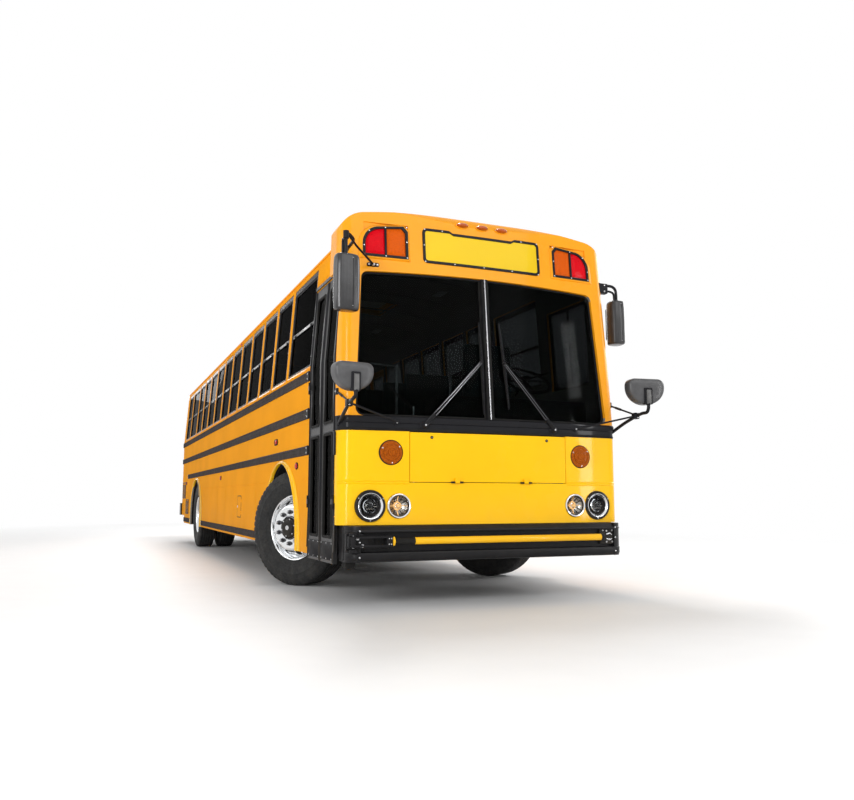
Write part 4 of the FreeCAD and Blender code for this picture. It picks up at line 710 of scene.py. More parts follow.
def make_finishes(colours):
    """Every finish, made once and kept by name."""

    def add(maker, name, *settings, **more):
        FINISHES[name] = maker(name, *settings, **more)

    body, black = tuple(colours.body_yellow), tuple(colours.trim_black)
    add(enamel, "wall paint", body, inside=0.0001, coat=0.04)
    add(enamel, "end paint", body, inside=1.0, limit=-1.12)
    add(enamel, "front paint", tuple(colours.front_yellow), inside=1.0, limit=-1.12)
    add(enamel, "plain paint", body, coat=0.08)
    add(enamel, "gloss black", black, roughness=0.3, coat=0.12)
    add(satin, "satin black", tinted(black, 0.9), 0.42, 600, 0.12, dust=0.03, specular_ior_level=0.03)
    add(satin, "bumper black", tinted(black, 0.55), 0.34, 240, 0.1, dust=0.02, specular_ior_level=0.14)
    add(satin, "rail grey", tuple(colours.rail_grey), 0.45, 700, 0.1, dust=0.04, specular_ior_level=0.0,
        coat_weight=0.03)
    add(satin, "mirror shell", (0.026, 0.026, 0.028), 0.24, 900, 0.08, dust=0.03, coat_weight=0.45,
        coat_roughness=0.16)
    # The crossover mirrors' shell is the black of the mirror shell made lighter; the extra lightness is
    # painted sheen.
    add(satin, "mirror face", (0.075, 0.075, 0.078), 0.34, 900, 0.08, dust=0.03, coat_weight=0.25,
        coat_roughness=0.2)
    add(bright_metal, "strip steel", (0.3, 0.3, 0.31), 0.22)
    add(satin, "soft rubber", (0.012, 0.012, 0.012), 0.7, 800, 0.2, dust=0.04, specular_ior_level=0.05)
    add(satin, "chassis black", (0.014, 0.014, 0.014), 0.5, 180, 0.3, dust=0.1, specular_ior_level=0.1)
    add(satin, "dash plastic", (0.03, 0.03, 0.032), 0.55, 1200, 0.35, dust=0.05)
    add(satin, "grey steel", (0.12, 0.12, 0.12), 0.4, 700, 0.1, metallic=0.3)
    add(satin, "hatch white", (0.7, 0.69, 0.64), 0.45, 500, 0.15, dust=0.2)
    add(enamel, "arm yellow", tuple(colours.arm_yellow), roughness=0.2)
    add(enamel, "sign yellow", tuple(colours.sign_yellow), roughness=0.35)
    add(enamel, "sign red", (0.55, 0.012, 0.012), roughness=0.35)
    add(enamel, "sign white", (0.75, 0.75, 0.74), roughness=0.35)
    add(bright_metal, "chrome", (0.8, 0.81, 0.83), 0.08)
    add(bright_metal, "polished alloy", (0.8, 0.81, 0.82), 0.14)
    add(bright_metal, "dark chrome", (0.09, 0.09, 0.095), 0.14)
    add(bright_metal, "bolt steel", (0.55, 0.55, 0.56), 0.3)
    add(bright_metal, "mirror glass", (0.85, 0.86, 0.87), 0.03)
    # The dark colours of the windshield, side and door glass are partly painted shade that darkens the
    # cabin seen through them. The door glass's brown tone is a painted warm reflection.
    add(safety_glass, "windshield glass", (0.12, 0.135, 0.135), ior=1.07)
    add(safety_glass, "side glass", (0.05, 0.053, 0.055), ior=1.01)
    add(safety_glass, "door glass", (0.1, 0.085, 0.075), ior=1.02)
    add(safety_glass, "clear lens", (0.93, 0.95, 0.96), 0.01, 1.03)
    add(safety_glass, "smoked lens", (0.1, 0.11, 0.12), 0.01)
    add(lens, "amber lens", (0.44, 0.095, 0.005), 160)
    add(lens, "amber panel", (0.74, 0.11, 0.003), 260, 0.06)
    add(lens, "red panel", (0.74, 0.002, 0.01), 260, 0.08)
    add(lens, "red lens", (0.55, 0.01, 0.01))
    add(lens, "white lens", (0.75, 0.76, 0.78))
    # Glows: on the bulb it is the lamp itself, on the reflector's ribs it is painted warm glints.
    add(lens, "warm bulb", (0.9, 0.5, 0.2), 90, 0.35)
    add(satin, "marker lens", (0.42, 0.075, 0.006), 0.25, 200, 0.05, dust=0.0, coat_weight=0.7,
        coat_roughness=0.05)
    add(satin, "door black", (0.02, 0.02, 0.021), 0.36, 600, 0.1, dust=0.03, specular_ior_level=0.12,
        coat_weight=0.06)
    add(bright_metal, "reflector", (0.4, 0.37, 0.33), 0.22)
    add(tyre_rubber, "tyre rubber")
    add(vinyl, "seat vinyl", tuple(colours.seat_teal))
    add(ribbed_rubber, "floor rubber", (0.022, 0.022, 0.024), 26)
    add(ribbed_rubber, "step rubber", (0.022, 0.022, 0.024), 26, "Y")
    add(cast, "cast iron", (0.07, 0.07, 0.07))
    add(cast, "exhaust steel", (0.3, 0.28, 0.25), 0.9, 0.45, 0.5)


NODE_FINISHES = {
    "front paint": "front_lower_panel front_hatch",
    "gloss black": "cowl_band",
    "end paint": "front_cap rear_wall",
    "windshield glass": "windshield",
    "satin black": "windshield_post door_hinges headlamps warning_lamps wipers arm_bases",
    "wall paint": "right_side_wall left_side_wall roof",
    "hatch white": "front_roof_hatch rear_roof_hatch",
    "plain paint": "engine_door emergency_door wheel_arch_trims",
    "side glass": "window_glass emergency_door_glass",
    "door black": "entrance_front_leaf entrance_rear_leaf",
    "door glass": "entrance_front_leaf_glass entrance_rear_leaf_glass",
    "bumper black": "front_bumper rear_bumper",
    "rail grey": "rub_rails",
    "amber lens": "signal_lamps",
    "mirror shell": "rear_view_mirrors crossover_mirrors",
    "floor rubber": "cabin_floor engine_deck",
    "step rubber": "entrance_steps",
    "seat vinyl": "seat_cushions seat_backs driver_seat",
    "grey steel": "seat_frames",
    "dash plastic": "dashboard steering_wheel",
    "chassis black": "chassis_frame frame_cross_members front_axle fuel_tank",
    "cast iron": "rear_axle right_knuckle left_knuckle engine_block",
    "tyre rubber": "front_right_tyre front_left_tyre rear_right_tyres rear_left_tyres",
    "polished alloy": "front_right_rim front_left_rim rear_right_rims rear_left_rims",
    "arm yellow": "crossing_arm",
    "sign red": "stop_arm",
}


# ---------------------------------------------------------------- sizes and colours a user may change

class SchoolBusColours(bpy.types.PropertyGroup):
    """Paint and covering colours."""

    body_yellow: FloatVectorProperty(
        name="Body yellow", description="Enamel of the walls, roof and cap",
        subtype="COLOR", size=3, min=0, max=1, default=(0.9, 0.355, 0.012))
    front_yellow: FloatVectorProperty(
        name="Front yellow", description="Enamel of the lower front panel",
        subtype="COLOR", size=3, min=0, max=1, default=(1.0, 0.54, 0.004))
    sign_yellow: FloatVectorProperty(
        name="Sign yellow", description="Reflective face of the signs",
        subtype="COLOR", size=3, min=0, max=1, default=(0.8, 0.53, 0.008))
    arm_yellow: FloatVectorProperty(
        name="Arm yellow", description="Tube of the crossing arm",
        subtype="COLOR", size=3, min=0, max=1, default=(1.0, 0.52, 0.004))
    trim_black: FloatVectorProperty(
        name="Trim black", description="Black enamel and mouldings",
        subtype="COLOR", size=3, min=0, max=1, default=(0.016, 0.016, 0.018))
    rail_grey: FloatVectorProperty(
        name="Rail grey", description="Rub rails along the sides",
        subtype="COLOR", size=3, min=0, max=1, default=(0.058, 0.05, 0.048))
    seat_teal: FloatVectorProperty(
        name="Seat teal", description="Vinyl of the seats",
        subtype="COLOR", size=3, min=0, max=1, default=(0.008, 0.055, 0.065))


class SchoolBusSizes(bpy.types.PropertyGroup):
    """Sizes of the detail pieces."""

    window_frame: FloatProperty(
        name="Window frame", description="Width of the black window frames",
        default=0.026, min=0.01, max=0.05, unit="LENGTH")
    sash_height: FloatProperty(
        name="Sash split", description="Height of the rail where the window sashes meet",
        default=2.295, min=2.2, max=2.6, unit="LENGTH")
    rivet_spacing: FloatProperty(
        name="Rivet spacing", description="Distance between rivets along the seams",
        default=0.118, min=0.05, max=0.4, unit="LENGTH")
    tread_depth: FloatProperty(
        name="Tread depth", description="Depth of the tyres' grooves",
        default=0.012, min=0.002, max=0.02, unit="LENGTH")
    tread_blocks: IntProperty(
        name="Tread blocks", description="Shoulder blocks round one tyre",
        default=60, min=24, max=90)
    seat_fill: FloatProperty(
        name="Seat fill", description="How full the seat cushions are stuffed",
        default=0.85, min=0.0, max=1.0, subtype="FACTOR")


# ---------------------------------------------------------------- the stage

CAMERA_PLACE, CAMERA_PITCH, CAMERA_TURN = (-2.896, -11.084, 0.791), 96.93, -22.42
CAMERA_LENS, CAMERA_SENSOR = 34.29, 36.0  # millimetres
WORLD_LIGHT = 0.36
LIGHTS = (
    # name, place, target, width and height, watts
    ("key light", (2.0, -14.0, 7.0), (0, -4.5, 1.4), (8, 5), 260),
    ("side light", (-14.0, -1.0, 6.5), (0, 0.0, 1.4), (13, 4), 430),
    ("top light", (0.3, 0.4, 11.0), (0, 0, 0), (1.5, 5), 900),
    ("left light", (12.0, -2.0, 6.0), (0, -1.0, 1.4), (11, 4), 500),
    ("back light", (1.0, 15.0, 6.0), (0, 5.0, 1.5), (8, 4), 500),
    ("corner light", (-5.4, -10.6, 2.6), (0, -4.6, 1.4), (1.6, 4.4), 240),
    ("strip light", (5.4, -10.6, 2.6), (0, -4.6, 1.4), (0.35, 4.4), 80),
)
FLOOR_RINGS = (0.001, 12.0, 90.0)
FLOOR_GAP = 0.001  # between the floor and the tyres
FADE_START, FADE_END = 5.0, 9.5  # where the floor begins to fade, and where it is white


def area_light(name, place, target, size, power):
    """A rectangular lamp aimed at a point."""
    data = bpy.data.lights.new(name, "AREA")
    data.shape = "RECTANGLE"
    data.size, data.size_y = size
    data.energy = power
    item = bpy.data.objects.new(name, data)
    item.location = place
    item.rotation_euler = (Vector(target) - Vector(place)).to_track_quat("-Z", "Y").to_euler()
    bpy.context.scene.collection.objects.link(item)


def floor_finish():
    """A pale floor that keeps the shadow near the bus and fades into the white backdrop."""
    finish = Finish("studio floor", (0.8, 0.8, 0.8), 0.6)
    grain = finish.mottle(3, 5)
    finish.paint(finish.blend(grain, (0.79, 0.79, 0.79), (0.81, 0.81, 0.81)))
    finish.relief(finish.noise(60, 2), 0.02, 0.001)
    white = finish.add("ShaderNodeEmission")
    white.inputs["Strength"].default_value = 1.0
    length = finish.add("ShaderNodeVectorMath", operation="LENGTH")
    finish.join(finish.stretched(1.0, 0.55, 0.0), length.inputs[0])
    fade = finish.fit(length.outputs["Value"], FADE_START, FADE_END, 0.0, 1.0)
    mixed = finish.add("ShaderNodeMixShader")
    finish.join(fade, mixed.inputs["Fac"])
    finish.join(finish.shader.outputs["BSDF"], mixed.inputs[1])
    finish.join(white.outputs["Emission"], mixed.inputs[2])
    finish.join(mixed.outputs["Shader"], finish.tree.nodes["Material Output"].inputs["Surface"])
    return finish.material


def white_world():
    """Plain grey light, with a white backdrop for the camera, reflections and glass."""
    world = bpy.data.worlds.new("studio")
    world.use_nodes = True
    nodes, join = world.node_tree.nodes, world.node_tree.links.new

    def background(node, strength):
        node.inputs["Color"].default_value = (1, 1, 1, 1)
        node.inputs["Strength"].default_value = strength
        return node.outputs[0]

    def either(first, second):
        node = nodes.new("ShaderNodeMath")
        node.operation = "MAXIMUM"
        join(first, node.inputs[0])
        join(second, node.inputs[1])
        return node.outputs[0]

    light = background(nodes["Background"], WORLD_LIGHT)
    white = background(nodes.new("ShaderNodeBackground"), 1.0)
    rays = nodes.new("ShaderNodeLightPath").outputs
    seen = either(either(rays["Is Camera Ray"], rays["Is Transmission Ray"]), rays["Is Glossy Ray"])
    mixed = nodes.new("ShaderNodeMixShader")
    for socket, source in zip(mixed.inputs, (seen, light, white)):
        join(source, socket)
    join(mixed.outputs[0], nodes["World Output"].inputs["Surface"])
    bpy.context.scene.world = world


class SCHOOLBUS_OT_stage(bpy.types.Operator):
    """Camera, soft studio lights, white backdrop and the pale floor"""

    bl_idname = "school_bus.stage"
    bl_label = "Stage and camera"

    def execute(self, context):
        data = bpy.data.cameras.new("camera")
        data.lens = CAMERA_LENS
        data.sensor_width = CAMERA_SENSOR
        data.clip_end = 200.0
        camera = bpy.data.objects.new("camera", data)
        camera.location = CAMERA_PLACE
        camera.rotation_euler = (radians(CAMERA_PITCH), 0.0, radians(CAMERA_TURN))
        context.scene.collection.objects.link(camera)
        context.scene.camera = camera
        context.scene.view_settings.view_transform = "Standard"
        white_world()
        for light in LIGHTS:
            area_light(*light)
        floor = bpy.data.meshes.new("floor")
        rows = [[(*polar(r, tau * i / 64), 0.0) for i in range(64)] for r in FLOOR_RINGS]
        disc = Shape()
        disc.skin(rows, ends="open")
        floor.from_pydata(disc.points, [], disc.faces)
        floor.materials.append(floor_finish())
        item = bpy.data.objects.new("floor", floor)
        item.location.z = -FLOOR_GAP
        context.scene.collection.objects.link(item)
        return {"FINISHED"}


class SCHOOLBUS_OT_finishes(bpy.types.Operator):
    """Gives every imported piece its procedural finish"""

    bl_idname = "school_bus.finishes"
    bl_label = "Paint the packed pieces"

    def execute(self, context):
        make_finishes(context.scene.school_bus_colours)
        for finish, nodes in NODE_FINISHES.items():
            for node in nodes.split():
                mesh = NODES[node].data
                mesh.materials.clear()
                mesh.materials.append(FINISHES[finish])
        return {"FINISHED"}


# ---------------------------------------------------------------- front end

def stepped_outline(half, low, high, step_half, step, radius=0.04, rows=6):
    """The sign's outline: rounded corners and an upper edge that steps down in the middle."""
    corners = rounded(-half, half, low, high, radius, rows)
    outline = [(u, low) for u in spread(-half + radius, half - radius, 24)]
    outline += corners[rows + 1:3 * (rows + 1)]
    outline += [(u, high) for u in spread(half - radius, step_half + 0.03, 5)[1:]]
    outline += [(u, high - step) for u in spread(step_half, -step_half, 12)]
    outline += [(u, high) for u in spread(-step_half - 0.03, -half + radius, 5)[:-1]]
    return outline + corners[3 * (rows + 1):] + corners[1:rows]


class SCHOOLBUS_OT_destination_sign(bpy.types.Operator):
    """Blank yellow sign over the windshield, its black frame and the three marker lamps"""

    bl_idname = "school_bus.destination_sign"
    bl_label = "Front sign and marker lamps"

    def execute(self, context):
        sign = Shape()
        outer = stepped_outline(0.53, 2.652, 2.945, 0.27, 0.018)
        inner = stepped_outline(0.508, 2.674, 2.923, 0.262, 0.018, 0.022)
        sign.ring(on_front, outer, inner, -0.002, 0.01, 0, 0.003)
        columns = []
        for u in spread(-0.51, 0.51, 40):
            step = 0.018 * min(max((0.292 - abs(u)) / 0.03, 0.0), 1.0)
            columns.append((u, 2.67, 2.927 - step))
        sign.strips(on_front, columns, 0.0035, 1)
        for u in (-0.512, -0.26, 0.0, 0.26, 0.512):
            sign.bolt(on_front, u, 2.663, 0.01, 0.0055, 0.002, 2)
        for u in (-0.512, -0.36, 0.36, 0.512):
            sign.bolt(on_front, u, 2.934, 0.01, 0.0055, 0.002, 2)
        for side in SIDES:
            sign.bolt(on_front, side * 0.519, 2.8, 0.01, 0.0055, 0.002, 2)
        make_piece("front_sign", sign, ("gloss black", "sign yellow", "bolt steel"))
        markers = Shape()
        for u in (-0.178, 0.0, 0.178):
            markers.plate(on_front, oval(u, 3.006, 0.122, 0.05, 40), -0.006, 0.008, 0, 0.003)
            markers.dome(on_front, oval(u, 3.007, 0.104, 0.042, 36), 0.004, 0.042, 1, 7)
            for step in (-1, 1):
                markers.bolt(on_front, u + step * 0.052, 3.006, 0.006, 0.004, 0.002, 2)
        make_piece("front_marker_lamps", markers, ("plain paint", "marker lens", "bolt steel"))
        return {"FINISHED"}


def cluster_outline(inset, turn=0.15, first=0.652, last=1.03, low=2.655, high=2.94):
    """A warning lamp group's outline: its upper edge slants down to a round outer corner."""
    u0, u1, v0, v1 = first + inset, last - inset, low + inset, high - inset
    radius = turn - inset * 0.7
    slant = 0.11
    fall = v1 - slant * (u1 - radius - u0)
    outline = spread_line((u0, v0), (u1, v0), 8)
    outline += spread_line((u1, v0), (u1, fall - radius), 4)
    outline += arc(radius, 0.0, pi / 2, 8, u1 - radius, fall - radius)
    outline += spread_line((u1 - radius, fall), (u0, v1), 6)[1:]
    outline += spread_line((u0, v1), (u0, v0), 6)[1:]
    return outline


def spread_line(a, b, count):
    """Points from one corner up to, and without, the next."""
    return [(a[0] + (b[0] - a[0]) * i / count, a[1] + (b[1] - a[1]) * i / count) for i in range(count)]


def lamp_cluster(shape, place, side):
    """One pair of warning lamps: the framed housing, a red and an amber lens, and the screws."""

    def mirrored(u, v, d=0.0):
        return place(side * u, v, d)

    wide = cluster_outline(-0.014, 0.16, 0.652, 1.046)
    lip = cluster_outline(-0.001, 0.152, 0.652, 1.036)
    inner = cluster_outline(0.006)
    rows = [lifted(mirrored, outline, out) for outline, out in ((wide, -0.012),
        (between(wide, lip, 0.004), 0.005), (lip, 0.015), (inner, 0.015), (inner, -0.004))]
    shape.skin(rows, 0, ends="open")
    shape.ring(mirrored, cluster_outline(0.004), cluster_outline(0.026), 0.008, 0.02, 1, 0.003)
    middle, half = 0.841, 0.007
    face = cluster_outline(0.024)
    amber = [(min(u, middle - half), v) for u, v in face]
    red = [(max(u, middle + half), v) for u, v in face]
    shape.dome(mirrored, thin_out(amber), 0.006, 0.012, 3, 4)
    shape.dome(mirrored, thin_out(red), 0.006, 0.012, 2, 4)
    shape.plate(mirrored, rounded(middle - half, middle + half, 2.672, 2.905, 0.002, 2), 0.004, 0.019, 1)
    for u, v in ((0.668, 2.67), (middle, 2.67), (1.014, 2.671), (0.667, 2.925), (middle, 2.906),
            (0.667, 2.8), (1.015, 2.745), (0.972, 2.868)):
        shape.bolt(mirrored, u, v, 0.019, 0.006, 0.002, 4, 10)


def thin_out(outline):
    """The outline without points that lie closer than a millimetre to the one before."""
    kept = [outline[0]]
    for point in outline[1:]:
        if hypot(point[0] - kept[-1][0], point[1] - kept[-1][1]) > 0.001:
            kept.append(point)
    return kept


class SCHOOLBUS_OT_warning_lamps(bpy.types.Operator):
    """The four pairs of red and amber warning lamps in their framed, moulded surrounds"""

    bl_idname = "school_bus.warning_lamps"
    bl_label = "Warning lamps"

    def execute(self, context):
        shape = Shape()
        for place in (on_front, on_rear):
            for side in SIDES:
                lamp_cluster(shape, place, side)
        make_piece("warning_lamp_clusters", shape, ("end paint", "gloss black", "red panel", "amber panel",
            "bolt steel"), replaces=["warning_lamps"])
        return {"FINISHED"}


def outer_headlamp(shape, local, radius):
    """Black bezel, chrome ring and a dark projector with a bright ring."""
    bowl = radius * 0.7
    shape.lathe(local, [(radius, -0.04), (radius, -0.006), (radius - 0.003, -0.001), (radius * 0.86, 0.0),
        (radius * 0.84, -0.006), (radius * 0.84, -0.04)], 56, 0, ends="ring")
    shape.lathe(local, [(radius * 0.85, -0.03), (radius * 0.85, -0.004), (radius * 0.82, 0.0),
        (radius * 0.79, -0.001), (bowl, -0.012), (bowl, -0.03)], 56, 1, ends="ring")
    shape.lathe(local, [(bowl + 0.004, -0.02), (bowl * 0.9, -0.036), (bowl * 0.6, -0.06), (0.0005, -0.07)],
        48, 0, ends="open")
    shape.lathe(local, [(bowl * 0.52, -0.06), (bowl * 0.55, -0.03), (bowl * 0.5, -0.02),
        (bowl * 0.36, -0.012), (bowl * 0.2, -0.008), (0.0005, -0.007)], 40, 4)
    shape.lathe(local, [(bowl * 0.66, -0.05), (bowl * 0.66, -0.026), (bowl * 0.6, -0.022),
        (bowl * 0.56, -0.03)], 40, 1, ends="ring")
    for v, half in mm(12, 36, -6, 52, -24, 30):
        shape.tube([local(-half, v, -0.016), local(0, v + 0.003, -0.01),
            local(half, v, -0.016)], 0.0022, 6, 2)
    shape.lathe(local, lens_profile(bowl, -0.014, 0.012), 48, 3, ends="open")
    shape.bolt_circle(local, 3, radius * 0.93, 0.5, -0.001, 0.005, 0.003, 6, 8)


def inner_headlamp(shape, local, radius):
    """Chrome ring, bright reflector bowl with painted warm glints, fluted clear lens and a warm bulb."""
    bowl = radius * 0.84
    shape.lathe(local, [(radius, -0.04), (radius, -0.005), (radius - 0.003, -0.001), (radius * 0.94, 0.0),
        (bowl + 0.002, -0.004), (bowl, -0.012), (bowl, -0.03)], 56, 1, ends="ring")
    shape.lathe(local, [(bowl + 0.003, -0.008), (bowl - 0.004, -0.01), (bowl - 0.005, -0.02)],
        56, 0, ends="ring")
    shape.lathe(local, [(bowl + 0.004, -0.014), (bowl * 0.92, -0.03), (bowl * 0.72, -0.046),
        (bowl * 0.45, -0.058), (bowl * 0.18, -0.064)], 48, 2, ends="open")
    # Every third rib on the reflector glows in the bulb's warm finish: painted warm glints on the bowl.
    for k in range(12):
        turn = tau * k / 12
        path = [local(*polar(bowl * r, turn), d) for r, d in ((0.9, -0.029), (0.7, -0.044),
            (0.45, -0.055), (0.22, -0.06))]
        shape.tube(path, 0.003, 5, 5 if k % 3 == 0 else 0)
    shape.lathe(local, mm(34, -60, 32, -52, 20, -50, 15, -56), 28, 5, ends="ring")
    shape.lathe(local, mm(15, -62, 15, -40, 12, -28, 5, -22, 0.5, -21), 20, 5)
    shape.lathe(local, mm(24, -64, 24, -52, 16, -48, 16, -60), 20, 1, ends="ring")
    shape.lathe(local, lens_profile(bowl, -0.011, 0.01), 48, 3, ends="open")
    for k in range(9):
        u = (k - 4) * bowl * 0.21
        half = sqrt(max((bowl * 0.93) ** 2 - u * u, 0.0))
        shape.tube([local(u, -half, -0.01), local(u, 0.0, -0.003 - 0.008 * (u / bowl) ** 2),
            local(u, half, -0.01)], 0.0012, 5, 3)


def lens_profile(radius, low, height):
    """The domed section of a round lens."""
    angles = (pi / 2 * i / 7 for i in range(8))
    return [(max((radius + 0.002) * cos(a), 0.0005), low + height * sin(a)) for a in angles]


class SCHOOLBUS_OT_headlamps(bpy.types.Operator):
    """Round double headlamps: dark outer pair, clear inner pair with bulbs, chrome rings and bezels"""

    bl_idname = "school_bus.headlamps"
    bl_label = "Headlamps"

    def execute(self, context):
        shape = Shape()
        for side in SIDES:
            outer, inner = side * OUTER_LAMP, side * INNER_LAMP
            outer_headlamp(shape, facing((outer, NOSE + 0.015, LAMP_HEIGHT), -1), OUTER_RADIUS)
            inner_headlamp(shape, facing((inner, NOSE + 0.005, LAMP_HEIGHT), -1), INNER_RADIUS)
        make_piece("headlamp_assemblies", shape, ("gloss black", "chrome", "reflector", "clear lens",
            "smoked lens", "warm bulb", "bolt steel"), replaces=["headlamps"], angle=30)
        return {"FINISHED"}


def signal_lamp(shape, local, radius, finish):
    """A stepped lens with flutes; its face lies level with the origin."""
    shape.lathe(local, [(radius, -0.05), (radius, -0.016), (radius - 0.004, -0.012),
        (radius * 0.9, -0.012)], 56, 0)
    shape.lathe(local, [
        (radius * 0.93, -0.02), (radius * 0.93, -0.01), (radius * 0.9, -0.007), (radius * 0.72, -0.005),
        (radius * 0.7, -0.008), (radius * 0.64, -0.008), (radius * 0.62, -0.003), (radius * 0.36, -0.001),
        (radius * 0.34, -0.004), (radius * 0.28, -0.004), (radius * 0.26, 0.0), (0.0005, 0.0),
    ], 56, finish)
    for k in range(28):
        turn = tau * k / 28
        near, far = radius * 0.39, radius * 0.6
        shape.tube([local(*polar(near, turn), -0.002), local(*polar(far, turn), -0.0035)],
            0.0018, 5, finish)
    for turn in (0.6, 2.7, 4.8):
        shape.bolt(local, *polar(radius * 0.82, turn), -0.007, 0.006, 0.004, 3, 10)


class SCHOOLBUS_OT_signal_lamps(bpy.types.Operator):
    """Amber turn signals at the front; red and amber lamps at the rear"""

    bl_idname = "school_bus.signal_lamps"
    bl_label = "Turn signals and tail lamps"

    def execute(self, context):
        shape = Shape()
        for side in SIDES:
            signal_lamp(shape, facing((side * 0.827, NOSE + 0.008, 1.135), -1), 0.0945, 1)
            signal_lamp(shape, facing((side * 0.96, TAIL + 0.012, 1.58), 1), 0.0885, 2)
            signal_lamp(shape, facing((side * 0.74, TAIL + 0.012, 1.58), 1), 0.0885, 1)
        make_piece("signal_lamp_lenses", shape, ("gloss black", "amber lens", "red lens", "bolt steel"),
            replaces=["signal_lamps"], angle=30)
        return {"FINISHED"}


def windshield_pane(side, inset):
    """One pane's outline: narrower at the top, arched along it, its outer corners rounded."""
    low, inner, radius = SCREEN_LOW + inset, 0.028 + inset, 0.06 - inset * 0.6

    def high(u):
        return SCREEN_HIGH - inset + 0.025 * (1 - (u / 0.98) ** 2)

    def width(z):
        return 1.1 - 0.06 * (z - SCREEN_LOW) / (SCREEN_HIGH - SCREEN_LOW) - inset

    outline = spread_line((inner, low), (width(low) - radius, low), 12)
    top = high(0.98)
    for i in range(8):
        angle = -pi / 2 + pi / 2 * i / 7
        z = low + radius + radius * sin(angle)
        outline.append((width(z) - radius + radius * cos(angle), z))
    outline += [(width(z), z) for z in spread(low + radius, top - radius, 8)[1:-1]]
    for i in range(8):
        angle = pi / 2 * i / 7
        z = top - radius + radius * sin(angle)
        outline.append((width(z) - radius + radius * cos(angle), z))
    outline += [(u, high(u)) for u in spread(width(top) - radius, inner, 12)[1:]]
    outline += spread_line((inner, high(inner)), (inner, low), 8)[1:]
    return [(side * u, v) for u, v in outline]


class SCHOOLBUS_OT_windshield_trim(bpy.types.Operator):
    """Rubber round the windshield's panes and the chrome strip on its post"""

    bl_idname = "school_bus.windshield_trim"
    bl_label = "Windshield rubber and strip"

    def execute(self, context):
        shape = Shape()
        for side in SIDES:
            shape.ring(on_front, windshield_pane(side, 0.001), windshield_pane(side, 0.016),
                -SCREEN_DEPTH - 0.002, -SCREEN_DEPTH + 0.009, 0, 0.004)
        profile = mm(-6.5, 0, -5.5, 5, -2, 8, 2, 8, 5.5, 5, 6.5, 0)
        low, high = SCREEN_LOW + 0.002, SCREEN_HIGH + 0.022
        rows = [[on_front(u, z, d) for u, d in profile] for z in spread(low, high, 6)]
        shape.skin(rows, 1)
        for u in (-0.021, 0.021):
            profile = ((u - 0.006, 0.0), (u - 0.005, 0.004), (u + 0.005, 0.004), (u + 0.006, 0.0))
            shape.skin([[on_front(x, z, d) for x, d in profile] for z in (low, high)], 0)
        make_piece("windshield_rubber", shape, ("soft rubber", "strip steel"), angle=30)
        return {"FINISHED"}


def panel_fold(shape, z):
    """The raised fold line that runs round both front corners."""
    fold = mm(-14, 0, -9, 4, -4, 1, 0, -1, 4, 1, 10, 5, 18, 0)
    for span in (spread(-1.208, -0.69, 24), spread(0.69, 1.208, 24)):
        shape.sheet([[on_front(u, z + dz, out) for u in span] for dz, out in fold], 0)
    for side in SIDES:
        place = on_side(side)
        rows = [[place(y, z + dz, out) for y in spread(NOSE + 0.16, NOSE + 0.172, 2)]
            for dz, out in mm(-14, 0, -9, 4, 0, -1, 10, 5, 18, 0)]
        shape.sheet(rows, 0)


def front_band(shape, profile, finish):
    """A strip of one section swept across the whole front."""
    rows = [[on_front(u, z, out) for u in spread(-1.212, 1.212, 80)] for z, out in profile]
    shape.sheet(rows, finish)


class SCHOOLBUS_OT_front_panel_details(bpy.types.Operator):
    """Hatch latches, the fold across the front panel, cowl rubber and fasteners"""

    bl_idname = "school_bus.front_panel_details"
    bl_label = "Front panel details"

    def execute(self, context):
        latches = Shape()
        for side in SIDES:
            local = facing(on_front(side * 0.503, 1.256), -1)
            latches.lathe(local, mm(12, -4, 12, 3, 10, 5, 0.5, 5.5), 20, 0)
            latches.plate(local, pad(0.0065, 0.0012, 0.001, 2), 0.004, 0.0065, 1, 0.0005)
        make_piece("front_hatch_latches", latches, ("satin black", "bolt steel"), body="front_cover")
        shape = Shape()
        panel_fold(shape, 0.913)
        front_band(shape, mm(1297, 0, 1299, 5, 1308, 7, 1316, 4, 1318, 0), 1)
        front_band(shape, mm(1352, 0, 1358, 8, 1384, 14, 1400, 12, 1407, 0), 2)
        for side in SIDES:
            place = on_side(side)
            shape.plate(place, rounded(NOSE + 0.145, NOSE + 0.17, 1.115, 1.292, 0.004, 3), 0.0,
                0.014, 2, 0.003)
            for z in (0.66, 0.84, 1.02, 1.22):
                shape.bolt(place, NOSE + 0.158, z, 0.0, 0.006, 0.0025, 3)
        make_piece("front_seams_and_cowl_rubber", shape, ("front paint", "soft rubber", "gloss black",
            "plain paint"), angle=30)
        return {"FINISHED"}


# ---------------------------------------------------------------- wheels

# distance from the tyre's middle, radius
TYRE_OUTLINE = mm(90, 287, 98.5, 293.5, 100, 302, 108.5, 312, 112, 315, 120, 329, 126, 345, 127.5, 346,
    132.5, 368, 136, 392, 138.5, 418, 139.5, 420, 139.5, 424, 138, 426, 136, 445, 132.5, 462, 133.5, 464,
    133, 470, 130, 472, 128.5, 480)
SHOULDER = mm(126.5, 486, 123.5, 496, 120, 506, 115, 517, 108, 523.5)
RIBS = mm(92, 70, 50, 28, 8, -8)
DISC_EDGE = 0.2735  # radius where the rim's disc meets the well
HOLES_END = 0.26
HOLE_RING = 0.23
HOLE_RADIUS = 0.0265
DISC_FACE = 0.186
NUTS = 10


